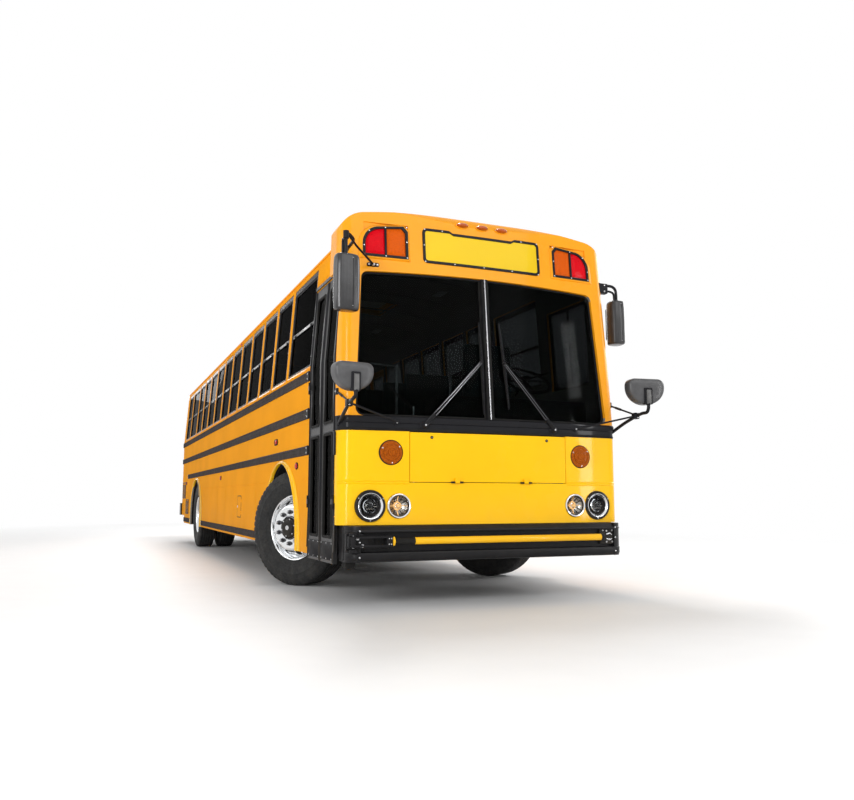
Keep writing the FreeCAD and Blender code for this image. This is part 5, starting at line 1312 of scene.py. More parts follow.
def wheel_places():
    """Each wheel's name, its middle, the way out of it, and its tyres' offsets along that way."""
    places = []
    for side, word in ((RIGHT, "right"), (LEFT, "left")):
        out = Vector((side * cos(STEER), side * sin(STEER), 0.0))
        pin = Vector((side * 0.9, FRONT_AXLE, WHEEL_HEIGHT))
        places.append((f"front_{word}", pin + out * 0.161, out, (0.0,)))
        hub = Vector((side * 0.905, REAR_AXLE, WHEEL_HEIGHT))
        places.append((f"rear_{word}", hub, Vector((side, 0, 0)), (-TWIN, TWIN)))
    return places


def wheel_frame(middle, out):
    """The placing function of a wheel: round its axle, and out of it."""
    return on_plane(middle, Vector((0, 0, 1)).cross(out), (0, 0, 1), out)


def tyre(shape, place, blocks, depth):
    """One tyre: the turned outline with the tread's blocks cut into it."""
    steps = blocks * 4
    half = [(d, r, 0.0) for d, r in TYRE_OUTLINE]
    half += [(d, r, notch) for (d, r), notch in zip(SHOULDER, (0.0, 0.006, 0.012, 0.014, 0.01))]
    tread = [(0.102, 0.5262, 0.006), (0.096, TREAD_RADIUS, 0.0)]
    floor = TREAD_RADIUS - depth
    across = []
    for i, (outer, inner) in enumerate(RIBS):
        edge = 0.0045
        across += [(outer, TREAD_RADIUS, 0.0), (outer - edge * 0.4, 0.5262, 0.0),
            (outer - edge, floor, 0.0)]
        if i < 2:
            across += [(inner + edge, floor, 0.0), (inner + edge * 0.4, 0.5262, 0.003),
                (inner, TREAD_RADIUS, 0.0)]
    section = half + tread + across
    section = [(d * 0.985, r, n) for d, r, n in section]
    section += [(-d, r, n) for d, r, n in reversed(section)]
    rows = []
    for d, radius, notch in section:
        row = []
        for i in range(steps):
            angle = tau * i / steps
            cut = notch if i % 4 == 0 else 0.0
            row.append(place(*polar(radius - cut, angle), d))
        rows.append(row)
    shape.skin(rows, 0, ends="ring")


class SCHOOLBUS_OT_tyres(bpy.types.Operator):
    """Six tyres with ribbed tread, notched shoulders and stepped sidewalls"""

    bl_idname = "school_bus.tyres"
    bl_label = "Tyres"

    def execute(self, context):
        sizes = context.scene.school_bus_sizes
        for name, middle, out, offsets in wheel_places():
            shape = Shape()
            for offset in offsets:
                tyre(shape, wheel_frame(middle + out * offset, out), sizes.tread_blocks, sizes.tread_depth)
            node = f"{name}_tyre" if len(offsets) == 1 else f"{name}_tyres"
            body = f"{name}_wheel" if len(offsets) == 1 else f"{name}_wheels"
            make_piece(f"{node}_detailed", shape, ("tyre rubber",), body=body,
                replaces=[node], angle=32)
        return {"FINISHED"}


def rim_barrel(shape, place):
    """Both flanges and the well between them."""
    outer = mm(286, 80, 286.5, 96, 297.5, 98.5, 300, 102, 299.5, 106.5, 295.5, 108.5, 289, 106, 284, 100,
        279, 90, 275.5, 76, 273, 50, 271.5, 20)
    section = outer + [(r, -d) for r, d in reversed(outer)]
    shape.lathe(place, section, 72, 0, ends="ring")


def rim_disc(shape, place, way, face):
    """The dished disc with its hand holes, from the well to the hub."""

    def depth(r):
        t = min(max((DISC_EDGE - r) / (DISC_EDGE - DISC_FACE), 0.0), 1.0)
        start = way * 0.055
        return start + (face - start) * (sin(t * pi / 2) ** 1.15)

    thick = -0.012 * way
    shape.lathe(place, [(r, depth(r)) for r in (DISC_EDGE, 0.266, HOLES_END)], 80, 0, ends="open")
    pierced_ring(shape, place, depth, DISC_FACE, HOLES_END, HOLE_RING, HOLE_RADIUS)
    shape.lathe(place, [(DISC_FACE, face), (0.18, face), (0.11, face), (0.108, face - 0.004 * way),
        (0.108, face + thick)], 80, 0, ends="open")
    shape.lathe(place, [(0.27, depth(0.27) + thick * 2), (0.22, depth(0.22) + thick * 2.2),
        (0.19, face + thick * 2), (0.11, face + thick * 2)], 60, 2, ends="open")
    for k in range(NUTS):
        angle = tau * (k + 0.5) / NUTS
        wheel_nut(shape, place, *polar(0.1429, angle), face)


def pierced_ring(shape, place, depth, low, high, ring, hole, count=NUTS):
    """The part of the disc with round holes and their turned-in edges."""
    for k in range(count):
        middle = tau * k / count
        half = pi / count
        border = [(low, middle - half + 2 * half * i / 8) for i in range(8)]
        border += [(low + (high - low) * i / 4, middle + half) for i in range(4)]
        border += [(high, middle + half - 2 * half * i / 8) for i in range(8)]
        border += [(high + (low - high) * i / 4, middle - half) for i in range(4)]
        rows = []
        for t in (0.0, 0.45, 0.8, 1.0):
            rows.append([toward_hole(place, depth, p, middle, ring, hole, t, 0.0) for p in border])
        rows.append([toward_hole(place, depth, p, middle, ring, hole * 0.97, 1.0, -0.003) for p in border])
        rows.append([toward_hole(place, depth, p, middle, ring, hole * 0.97, 1.0, -0.014) for p in border])
        shape.skin(rows, 0, ends="open")


def toward_hole(place, depth, point, middle, ring, hole, t, sink):
    """A point of the rim's disc, drawn toward the edge of the hand hole beside it."""
    radius, angle = point
    u, v = (angle - middle) * ring, radius - ring
    turn = atan2(v, u)
    u += (hole * cos(turn) - u) * t
    v += (hole * sin(turn) - v) * t
    r, a = ring + v, middle + u / ring
    return place(*polar(r, a), depth(r) + sink)


def wheel_nut(shape, place, u, v, face):
    """A wheel nut on its washer, with the stud end showing."""
    local = shifted(place, u, v, face)
    shape.lathe(local, mm(22, 0, 22, 4, 17.5, 6), 20, 1, ends="open")
    shape.lathe(local, mm(16.8, 4, 16.8, 26, 13, 30, 8.5, 30), 6, 1, ends="open")
    shape.lathe(local, mm(10, 28, 10, 37, 8, 39.5, 0.5, 39.5), 12, 3, ends="open")


def front_hub(shape, place):
    """The hub that shows in the middle of a front rim."""
    shape.lathe(place, mm(107.5, 140, 107.5, 162, 104, 170, 98, 172, 90, 166, 88, 160), 60, 1, ends="open")
    shape.lathe(place, mm(93, 150, 93, 166, 86, 180, 74, 186, 68, 187, 66, 194, 58, 198, 30, 198.5,
        0.5, 198.5), 48, 4, ends="open")
    shape.bolt_circle(place, 6, 0.078, tau / 24, 0.184, 0.0075, 0.007, 3, 6)
    shape.lathe(place, mm(22, 197.5, 20, 199, 12, 199, 0.5, 199), 24, 3, ends="open")
    shape.lathe(place, mm(200, 75, 200, -50, 190, -70, 50, -70), 48, 2, ends="open")
    shape.lathe(place, mm(200, 75, 110, 85, 100, 145), 48, 2, ends="open")


def rear_hub(shape, place):
    """The axle end that shows in the middle of a rear rim."""
    shape.lathe(place, mm(107.5, -20, 107.5, 60, 100, 70, 88, 74, 86, 100, 80, 120, 74, 128, 0.5, 130),
        60, 4, ends="open")
    for k in range(8):
        angle = tau * k / 8
        shape.bolt(place, *polar(0.095, angle), 0.071, 0.008, 0.007, 3, 6)
        shape.bolt(place, *polar(0.062, angle), 0.1275, 0.006, 0.005, 3, 6)
    shape.lathe(place, mm(205, -100, 205, -250, 190, -262, 80, -262), 48, 2, ends="open")


class SCHOOLBUS_OT_rims(bpy.types.Operator):
    """Polished rims with ten hand holes, dark wheel nuts, hubs and caps"""

    bl_idname = "school_bus.rims"
    bl_label = "Rims, hubs and nuts"

    def execute(self, context):
        names = ("polished alloy", "dark chrome", "chassis black", "bolt steel", "gloss black")
        for name, middle, out, offsets in wheel_places():
            shape = Shape()
            front = len(offsets) == 1
            for offset in offsets:
                rim_barrel(shape, wheel_frame(middle + out * offset, out))
            if front:
                rim_disc(shape, wheel_frame(middle, out), 1, 0.16)
                front_hub(shape, wheel_frame(middle, out))
            else:
                rim_disc(shape, wheel_frame(middle + out * TWIN, out), -1, -0.16)
                rear_hub(shape, wheel_frame(middle, out))
            node = f"{name}_rim" if front else f"{name}_rims"
            body = f"{name}_wheel" if front else f"{name}_wheels"
            make_piece(f"{node}_detailed", shape, names, body=body,
                replaces=[node], angle=35)
        return {"FINISHED"}


# ---------------------------------------------------------------- mirrors and wipers

def turned(origin, turn):
    """An upright placing function: u and d lie level, turned about Z, and v points up."""
    c, s = cos(turn), sin(turn)
    return on_plane(origin, (c, s, 0), (0, 0, 1), (s, -c, 0))


def squircle(half_u, half_d, power=3.2, steps=48):
    """A rounded section between an oval and a rectangle."""
    outline = []
    for i in range(steps):
        angle = tau * i / steps
        c, s = cos(angle), sin(angle)
        scale = (abs(c) ** power + abs(s) ** power) ** (-1 / power)
        outline.append((half_u * c * scale, half_d * s * scale))
    return outline


def mirror_head(shape, place, low, high, half_u, half_d):
    """A barrel-shaped shell with fine upright ribs, end caps, a seam, and glass on its rear face."""
    section = squircle(half_u, half_d, 3.0, 96)
    rows = []
    heights = ((0.0, 0.72), (0.012, 0.86), (0.03, 0.915), (0.034, 0.93), (0.05, 0.945), (0.2, 0.985),
        (0.5, 1.0), (0.8, 0.985), (0.93, 0.95), (0.945, 0.935), (0.965, 0.915), (0.988, 0.85), (1.0, 0.7))
    for t, scale in heights:
        z = low + (high - low) * t
        row = []
        for i, (u, d) in enumerate(section):
            rib = 0.0012 * (i % 4 < 2) if 0.03 < t < 0.95 else 0.0
            row.append(place(u * scale * (1 - rib * 8), z, d * scale * (1 - rib * 8)))
        rows.append(row)
    shape.skin(rows, 0)
    for z in (low + 0.03, high - 0.03):
        shape.bolt(place, half_u * 0.3, z, half_d * 0.94, 0.004, 0.002, 2)
    shape.tube([place(half_u * 0.3, low + 0.02, half_d * 0.955),
        place(half_u * 0.3, (low + high) / 2, half_d * 1.0),
        place(half_u * 0.3, high - 0.02, half_d * 0.955)], 0.0022, 6, 1)
    glass = rounded(-half_u * 0.8, half_u * 0.8, low + 0.05, high - 0.05, 0.02, 5)

    def flipped(u, v, d=0.0):
        return place(-u, v, -half_d * 0.93 - d)

    shape.plate(flipped, glass, 0.0, 0.006, 1, 0.002)
    split = high - (high - low) * 0.36
    shape.plate(flipped, rounded(-half_u * 0.72, half_u * 0.72, low + 0.06, split - 0.006, 0.012, 4),
        0.004, 0.0075, 3)
    shape.plate(flipped, rounded(-half_u * 0.72, half_u * 0.72, split + 0.006, high - 0.06, 0.012, 4),
        0.004, 0.0085, 3)


def right_mirror_arm(shape):
    """The arm that carries the right mirror, with its foot."""
    joint = Vector((-1.3, -5.716, 2.655))
    foot = on_front(-0.944, 2.593, 0.012)
    path = smooth_path([(-1.3, -5.716, 2.495), (-1.3, -5.716, 2.62), (-1.285, -5.69, 2.668),
        (-1.2, -5.56, 2.668), (-1.182, -5.36, 2.662)], 7)
    shape.tube(path, 0.013, 12, 1)
    shape.tube(smooth_path([(-1.318, -5.7, 2.5), (-1.318, -5.7, 2.6), (-1.29, -5.62, 2.64),
        (-1.2, -5.42, 2.652)], 6), 0.01, 10, 1)
    shape.tube([(-1.262, -5.66, 2.664), (-1.16, -5.52, 2.638), foot], 0.0085, 10, 1)
    shape.tube([joint + Vector((0, 0, -0.035)), joint + Vector((0, 0, 0.02))], 0.021, 16, 4)
    local = facing(on_front(-0.944, 2.593), -1)
    shape.plate(local, pad(0.05, 0.016, 0.014, 5), -0.004, 0.008, 1, 0.003)
    for u in (-0.034, 0.034):
        shape.bolt(local, u, 0.0, 0.008, 0.0095, 0.007, 2, 6)
    shape.bolt(local, 0.0, 0.0, 0.01, 0.013, 0.016, 2, 12)
    side = on_side(RIGHT)
    shape.plate(side, rounded(NOSE + 0.175, NOSE + 0.235, 2.6, 2.69, 0.012, 4), -0.02, 0.008, 1, 0.003)
    shape.tube([(-1.182, -5.37, 2.662), side(NOSE + 0.205, 2.65, 0.0)], 0.013, 12, 1)


def left_mirror_arm(shape):
    """The arm that carries the left mirror, with its foot."""
    side = on_side(LEFT)
    shape.plate(side, rounded(NOSE + 0.175, NOSE + 0.255, 2.59, 2.68, 0.01, 4), -0.015, 0.012, 1, 0.003)
    for y, z in mm(188, 2603, 242, 2603, 188, 2667, 242, 2667):
        shape.bolt(side, NOSE + y, z, 0.012, 0.007, 0.004, 2, 6)
    block = turned((1.222, -5.175, 0), 0.0)
    shape.plate(on_plane((1.175, -5.205, 2.635), (0, 0, 1), (0, 1, 0), (1, 0, 0)),
        rounded(-0.045, 0.045, 0.0, 0.06, 0.01, 4), 0.0, 0.085, 1, 0.005)
    for v in (2.608, 2.662):
        shape.bolt(block, 0.0, v, 0.03, 0.008, 0.006, 2, 6)
    shape.tube(smooth_path([(1.24, -5.175, 2.667), (1.315, -5.178, 2.666), (1.352, -5.18, 2.64),
        (1.361, -5.18, 2.59), (1.361, -5.18, 2.52)], 7), 0.0125, 12, 1)
    shape.tube(smooth_path([(1.24, -5.175, 2.612), (1.29, -5.178, 2.618), (1.33, -5.18, 2.602),
        (1.338, -5.18, 2.56), (1.338, -5.18, 2.52)], 7), 0.0095, 12, 1)
    shape.lathe(level((1.352, -5.18, 2.52)), mm(30, 0, 32, 14, 24, 24, 14, 30), 20, 1)


class SCHOOLBUS_OT_rear_view_mirrors(bpy.types.Operator):
    """Tall ribbed mirror heads on bent arms, with braces, clamps and mirror glass behind"""

    bl_idname = "school_bus.rear_view_mirrors"
    bl_label = "Rear-view mirrors"

    def execute(self, context):
        shape = Shape()
        mirror_head(shape, turned((-1.292, -5.712, 0), 0.1), 2.098, 2.503, 0.094, 0.06)
        mirror_head(shape, turned((1.35, -5.178, 0), -0.12), 2.14, 2.53, 0.072, 0.078)
        right_mirror_arm(shape)
        left_mirror_arm(shape)
        make_piece("rear_view_mirror_heads", shape, ("mirror shell", "gloss black", "bolt steel",
            "mirror glass", "satin black"), replaces=["rear_view_mirrors"], angle=40)
        return {"FINISHED"}


def crossover_outline(scale=1.0, steps=40):
    """Flat on top with rounded corners, half an oval below."""
    half, top, bottom = 0.15, 0.078, -0.122
    points = []
    for angle in spread(pi, 2 * pi, steps):
        points.append((half * cos(angle), 0.012 + (0.012 - bottom) * sin(angle)))
    for middle, start in ((half - 0.055, 0.0), (0.055 - half, pi / 2)):
        for angle in spread(start, start + pi / 2, 8)[0 if start else 1:]:
            points.append((middle + 0.055 * cos(angle), top - 0.052 + 0.052 * sin(angle)))
    return [(u * scale, v * scale) for u, v in points]


def crossover_mirror(shape, side, drop):
    """The domed mirror on one front corner."""
    place = turned((side * 1.237, -5.7, 1.655 - drop), side * -0.14)
    shells = ((1.0, -0.035), (1.0, 0.02), (0.985, 0.035), (0.955, 0.045), (0.85, 0.052),
        (0.5, 0.056), (0.02, 0.057))
    grow = 1.06 if side == LEFT else 1.0
    rows = [lifted(place, crossover_outline(scale * grow), d) for scale, d in shells]
    shape.skin(rows, 0)

    def back(u, v, d=0.0):
        return place(-u, v, -0.035 - d)

    shape.plate(back, crossover_outline(0.985 * grow), -0.002, 0.004, 1, 0.002)
    shape.dome(back, crossover_outline(0.93), 0.001, 0.03, 3, 7)
    shape.plate(place, rounded(-0.034, 0.034, -0.13, 0.004, 0.006, 3), 0.03, 0.07, 1, 0.004)
    shape.plate(place, rounded(-0.021, 0.021, -0.128, -0.006, 0.008, 3), 0.06, 0.0765, 4, 0.008)
    shape.plate(place, rounded(-0.022, 0.022, -0.01, 0.0, 0.002, 2), 0.064, 0.0775, 1, 0.002)
    foot = place(0.0, -0.125, 0.055)
    shape.lathe(level(foot), mm(12, -14, 18, -6, 20, 12, 14, 20), 16, 1)
    elbow = Vector((side * 1.232, -5.66, 1.47 - drop * 0.5))
    joint = Vector((side * 1.225, -5.59, 1.475))
    low = Vector((side * 1.205, NOSE + 0.115, 1.35))
    path = smooth_path([foot, foot + Vector((0, 0, -0.035)), (side * 1.234, -5.725, 1.485), elbow,
        joint + Vector((0, 0.02, -0.018)), joint.lerp(low, 0.5), low], 6)
    shape.tube(path, 0.0135, 14, 1)
    clamp = facing(joint + Vector((0, 0, -0.008)), -1)
    shape.plate(clamp, pad(0.024, 0.026, 0.008, 3), -0.022, 0.022, 1, 0.004)
    for v in (-0.014, 0.014):
        shape.bolt(clamp, side * 0.004, v, 0.022, 0.0075, 0.006, 2, 6)
    inner = Vector((side * 0.786, -5.402, 1.362))
    shape.tube([joint + Vector((side * -0.01, 0, -0.01)), inner], 0.0075, 10, 1)
    upper = Vector((side * 1.214, NOSE + 0.15, 1.59))
    shape.tube([joint, upper], 0.0075, 10, 1)
    shape.tube([joint.lerp(upper, 0.55), joint.lerp(upper, 0.75)], 0.0105, 10, 1)
    seat = facing(on_front(side * 0.786, 1.36), -1)
    shape.lathe(seat, mm(21, -12, 21, 10, 16, 14, 0.5, 15), 20, 1)
    shape.bolt(seat, 0.0, 0.0, 0.014, 0.008, 0.005, 2, 6)
    wall = on_side(side)
    shape.plate(wall, rounded(NOSE + 0.125, NOSE + 0.175, 1.565, 1.615, 0.008, 3), -0.02, 0.006, 1, 0.003)
    shape.bolt(wall, NOSE + 0.15, 1.59, 0.006, 0.009, 0.006, 2, 6)
    corner = Vector((side * 1.18, NOSE + 0.135, ARM_PIVOT))
    shape.tube([low + Vector((0, 0, 0.004)), corner], 0.02, 14, 1)


class SCHOOLBUS_OT_crossover_mirrors(bpy.types.Operator):
    """Half-oval crossover mirrors on tubular arms with braces and clamps"""

    bl_idname = "school_bus.crossover_mirrors"
    bl_label = "Crossover mirrors"

    def execute(self, context):
        shape = Shape()
        for side, drop in ((RIGHT, -0.006), (LEFT, -0.02)):
            crossover_mirror(shape, side, drop)
        # The shell's finish is lighter than the rear-view mirrors' black; the difference is painted sheen.
        make_piece("crossover_mirror_heads", shape, ("mirror face", "gloss black", "bolt steel",
            "mirror glass", "grey steel"), replaces=["crossover_mirrors"], angle=42)
        return {"FINISHED"}


WIPERS = (
    # pivot across the bus, then the arm's end and the blade's top and bottom as (across, height)
    (-0.566, (-0.068, 1.868), (-0.064, 2.2), (-0.053, 1.452)),
    (0.566, (0.136, 1.868), (0.116, 2.205), (0.17, 1.5)),
)


def wiper(shape, pivot, elbow, top, bottom):
    """One wiper: pivot, arms and blade."""
    base = on_front(pivot, ARM_PIVOT, 0.0)
    local = facing(base, -1)
    shape.lathe(local, mm(34, -10, 34, 6, 26, 12, 22, 30, 16, 38, 0.5, 39), 28, 0)
    shape.bolt(local, 0.0, 0.0, 0.036, 0.009, 0.006, 2, 6)
    tip = Vector((elbow[0], on_front(elbow[0], elbow[1], 0.012).y, elbow[1]))
    for shift in (-0.017, 0.017):
        near = Vector((pivot, base.y - 0.024, ARM_PIVOT - shift))
        way = Vector((tip.x, tip.y, 1.868 - shift * 0.6))
        shape.tube([near, near.lerp(way, 0.5) + Vector((0, -0.006, 0)), way], 0.0062, 8, 4)
    head = [(pivot, base.y - 0.026, ARM_PIVOT), Vector((pivot, base.y - 0.03, ARM_PIVOT)).lerp(tip, 0.16)]
    shape.tube(head, 0.015, 10, 1)
    shape.lathe(facing(tip, -1), mm(12, -16, 12, 10, 7, 14, 0.5, 14), 16, 1)
    blade = []
    for t in (0.0, 0.12, 0.35, 0.5, 0.65, 0.88, 1.0):
        x = top[0] + (bottom[0] - top[0]) * t
        z = top[1] + (bottom[1] - top[1]) * t
        blade.append(on_front(x, z, -SCREEN_DEPTH + 0.012))
    section = mm(-6, 0, -4, -10, 4, -10, 6, 0, 1.5, 8, -1.5, 8)
    for a, b in zip(blade, blade[1:]):
        shape.skin([[p + Vector((dx, dy, 0)) for dx, dy in section] for p in (a, b)], 3)
    bow = [blade[0] + Vector((0, -0.01, 0)), blade[1] + Vector((0, -0.018, 0)),
        blade[3] + Vector((0, -0.032, 0)), blade[5] + Vector((0, -0.018, 0)),
        blade[6] + Vector((0, -0.01, 0))]
    shape.tube(smooth_path(bow, 5), 0.0052, 8, 0)
    for k in (1, 2, 4, 5):
        shape.tube([blade[k] + Vector((0, -0.006, 0.02)), blade[k] + Vector((0, -0.018, 0.0)),
            blade[k] + Vector((0, -0.006, -0.02))], 0.004, 6, 0)
    shape.tube([tip, blade[3] + Vector((0, -0.03, 0))], 0.006, 8, 0)


class SCHOOLBUS_OT_wipers(bpy.types.Operator):
    """Wiper arms with twin rods, spring heads, and upright blades near the glass"""

    bl_idname = "school_bus.wipers"
    bl_label = "Wipers"

    def execute(self, context):
        shape = Shape()
        for row in WIPERS:
            wiper(shape, *row)
        make_piece("wiper_arms", shape, ("gloss black", "satin black", "bolt steel", "soft rubber",
            "dark chrome"), replaces=["wipers"])
        return {"FINISHED"}


# ---------------------------------------------------------------- front bumper and crossing arm

BUMPER_FACE = NOSE - 0.06


def bumper_point(kind, t, z, depth, half):
    """A point of the bar: straight in the middle, its ends turned back round the corners."""
    radius = 0.1
    if kind == 0:
        return Vector((t * (half - radius), BUMPER_FACE + depth, z))
    turn = pi / 2 * (1 - t)
    reach = max(radius - depth, 0.004)
    back = max(depth - radius, 0.0)
    return Vector((kind * (half - radius + reach * sin(turn)),
        BUMPER_FACE + radius - reach * cos(turn) + back * (1 - sin(turn)), z))


def bumper_end(shape, side):
    """The closed end: a rounded upright column in front of the channel and a cheek to the rear."""
    outline = mm(1083, 2, 1111, 9, 1141, 26, 1163, 52, 1176, 90, 1180, 150, 1180, 225, 1167, 225, 1155, 110,
        1119, 58, 1083, 50)
    rows = []
    for z, grow in ((0.337, 0.55), (0.342, 0.9), (0.35, 1.0), (0.58, 1.0), (0.59, 0.92), (0.5955, 0.7)):
        row = []
        for x, depth in outline:
            cx, cd = 1.143, 0.11
            row.append((side * (cx + (x - cx) * (0.9 + 0.1 * grow)),
                BUMPER_FACE + cd + (depth - cd) * (0.94 + 0.06 * grow), z))
        rows.append(row)
    shape.skin(rows, 0)
    front = facing((0, BUMPER_FACE, 0), -1)
    for v in (0.372, 0.48, 0.56):
        shape.bolt(front, side * 1.092, v, -0.002, 0.008, 0.006, 2, 6)
    if side == RIGHT:
        shape.block((-1.165, BUMPER_FACE + 0.1, 0.29), (-1.095, BUMPER_FACE + 0.19, 0.345), 3)
    shape.plate(on_side(side), rounded(BUMPER_FACE + 0.11, BUMPER_FACE + 0.225, 0.345, 0.59, 0.02, 4),
        -0.042, -0.036, 0, 0.003)


def arm_latch(shape):
    """The latch that holds the tip of the arm."""
    front = facing((0, BUMPER_FACE + 0.044, 0), -1)
    shape.plate(front, rounded(0.962, 1.09, 0.428, 0.548, 0.008, 3), 0.0, 0.022, 1, 0.003)
    shape.plate(front, rounded(0.955, 1.0, 0.446, 0.53, 0.006, 3), 0.018, 0.036, 1, 0.004)
    shape.bolts(front, mm(985, 536, 1020, 532, 1074, 536, 1020, 444, 1074, 444), 0.022, 0.009, 0.007, 2, 6)
    shape.tube([front(1.02, 0.505, 0.024), front(1.045, 0.515, 0.034),
        front(1.075, 0.5, 0.024)], 0.006, 8, 4)
    shape.tube([front(1.02, 0.47, 0.024), front(1.045, 0.462, 0.03),
        front(1.075, 0.47, 0.024)], 0.006, 8, 4)


class SCHOOLBUS_OT_front_bumper(bpy.types.Operator):
    """Rolled bumper with its channel, closed ends, corner boxes, bolts and rubber feet"""

    bl_idname = "school_bus.front_bumper"
    bl_label = "Front bumper"

    def execute(self, context):
        shape = Shape()
        # height, depth behind the face
        profile = mm(596, 150, 596, 52, 594.5, 44, 590, 40, 568, 6, 562, 1, 553, 0, 549, 2, 547, 10,
            546, 46, 410, 46, 408, 12, 405, 3, 400, 0, 362, 0, 352, 3, 343, 10, 337, 22, 335, 40, 335, 80,
            342, 86, 342, 46, 360, 12, 398, 10, 398, 56, 557, 56, 562, 14, 588, 50, 588, 150)
        half = 1.18
        stations = [(-1, t) for t in spread(0.0, 1.0, 7)]
        stations += [(0, t) for t in spread(-1.0, 1.0, 40)[1:-1]]
        stations += [(1, t) for t in spread(1.0, 0.0, 7)]
        rows = [[bumper_point(kind, t, z, depth, half) for z, depth in profile] for kind, t in stations]
        shape.skin(rows, 0)
        for side in SIDES:
            bumper_end(shape, side)
        arm_latch(shape)
        front = facing((0, BUMPER_FACE, 0), -1)
        for u in (-0.55, 0.0, 0.55):
            shape.plate(front, rounded(u - 0.004, u + 0.004, 0.35, 0.352, 0.0005, 1), -0.004, 0.0008, 1)
        make_piece("front_bumper_detailed", shape, ("bumper black", "gloss black", "bolt steel",
            "soft rubber", "chrome"), replaces=["front_bumper"], angle=36)
        return {"FINISHED"}


def box_vent(shape, front, u0, u1, v0, v1):
    """A framed vent with slats."""
    shape.ring(front, rounded(u0 - 0.006, u1 + 0.006, v0 - 0.006, v1 + 0.006, 0.007, 3),
        rounded(u0, u1, v0, v1, 0.003, 3), 0.042, 0.047, 0, 0.001)
    shape.plate(front, rounded(u0, u1, v0, v1, 0.003, 3), 0.03, 0.0445, 4, 0.001)
    for k in range(5):
        u = u0 + (u1 - u0) * (k + 0.5) / 5
        shape.plate(front, rounded(u - 0.0025, u + 0.0025, v0 + 0.004, v1 - 0.004, 0.002, 2), 0.043,
            0.0465, 0, 0.001)


class SCHOOLBUS_OT_crossing_arm_base(bpy.types.Operator):
    """Motor box of the crossing arm with its vents, and the stop arm's base on the left wall"""

    bl_idname = "school_bus.crossing_arm_base"
    bl_label = "Arm bases"

    def execute(self, context):
        shape = Shape()
        front = facing((0, BUMPER_FACE + 0.045, 0), -1)
        shape.plate(front, rounded(-1.185, -1.05, 0.418, 0.545, 0.008, 4), 0.0, 0.014, 0, 0.004)
        shape.plate(front, rounded(-1.178, -0.862, 0.434, 0.53, 0.012, 5), 0.0, 0.044, 0, 0.006)
        shape.bolts(front, mm(-1146, 456, -1108, 505, -1070, 456), 0.043, 0.014, 0.009, 1, 10)
        box_vent(shape, front, -1.03, -0.985, 0.455, 0.515)
        box_vent(shape, front, -0.978, -0.895, 0.448, 0.52)
        shape.plate(front, rounded(-0.888, -0.872, 0.446, 0.524, 0.006, 4), 0.04, 0.052, 3, 0.003)
        for z in (0.412, 0.532):
            ear = level((0, BUMPER_FACE - 0.03, z))
            shape.plate(ear, rounded(-1.178, -1.122, -0.03, 0.03, 0.026), 0.0, 0.02, 2, 0.002)
        wall = leftward((1.231, 0, 0))
        shape.plate(wall, rounded(-4.28, -4.15, 1.555, 1.775, 0.022, 6), 0.0, 0.027, 2, 0.006)
        shape.bolts(wall, mm(-4262, 1575, -4168, 1575, -4262, 1755, -4168, 1755), 0.026,
            0.0075, 0.004, 1, 6)
        for k in range(6):
            z = 1.625 + k * 0.016
            shape.plate(wall, rounded(-4.268, -4.226, z, z + 0.006, 0.002, 2), 0.025, 0.0295, 0, 0.0015)
        for z in (1.545, 1.7645):
            hinge = level((1.274, -4.21, z))
            shape.lathe(hinge, mm(13, 0, 14, 2, 14, 18, 13, 20.5), 20, 2)
            shape.plate(level((1.245, -4.222, z)), rounded(0.0, 0.028, 0.0, 0.024, 0.002, 2),
                0.001, 0.0195, 2)
        make_piece("arm_base_housings", shape, ("bumper black", "bolt steel", "satin black", "chrome",
            "soft rubber"), replaces=["arm_bases"])
        return {"FINISHED"}


class SCHOOLBUS_OT_crossing_arm(bpy.types.Operator):
    """The yellow crossing arm: knuckle, ring, black sleeve, tube and rubber tip"""

    bl_idname = "school_bus.crossing_arm"
    bl_label = "Crossing arm"

    def execute(self, context):
        shape = Shape()
        y, z = -5.482, 0.487
        along = leftward((0, y, z))
        knuckle = level((-1.15, y, z))
        shape.lathe(knuckle, mm(15, -42, 18, -38, 18, 38, 15, 42), 24, 1)
        shape.lathe(knuckle, [(0.008, -0.044), (0.008, 0.044)], 16, 2)
        bar = facing((0, y, z), -1)
        for v in (-0.03, 0.03):
            shape.plate(bar, rounded(-1.146, -0.85, v - 0.006, v + 0.006, 0.003, 2), -0.014,
                0.016, 1, 0.003)
        shape.plate(bar, rounded(-0.9, -0.852, -0.039, 0.039, 0.008, 3), -0.017, 0.017, 1, 0.004)
        for u in (-0.885, -0.868):
            shape.bolt(bar, u, 0.02, 0.017, 0.006, 0.004, 2, 6)
            shape.bolt(bar, u, -0.02, 0.017, 0.006, 0.004, 2, 6)
        shape.lathe(along, mm(30, -856, 34, -854, 34, -842, 30, -840), 28, 0)
        shape.lathe(along, mm(18, -836, 21, -830, 26, -820, 26, -800, 23, -797, 23, -700, 27, -697,
            28, -688, 26, -682, 18, -680), 28, 3)
        shape.lathe(along, mm(19.5, -690, 25.5, -688, 26, -684, 26, 930, 23.5, 936), 32, 0)
        shape.lathe(along, mm(26.3, 925, 27, 928, 27, 948, 22, 956, 0.5, 957), 28, 1)
        make_piece("crossing_arm_detailed", shape, ("arm yellow", "satin black", "bolt steel",
            "soft rubber"), body="crossing_gate", replaces=["crossing_arm"])
        return {"FINISHED"}


# ---------------------------------------------------------------- sides

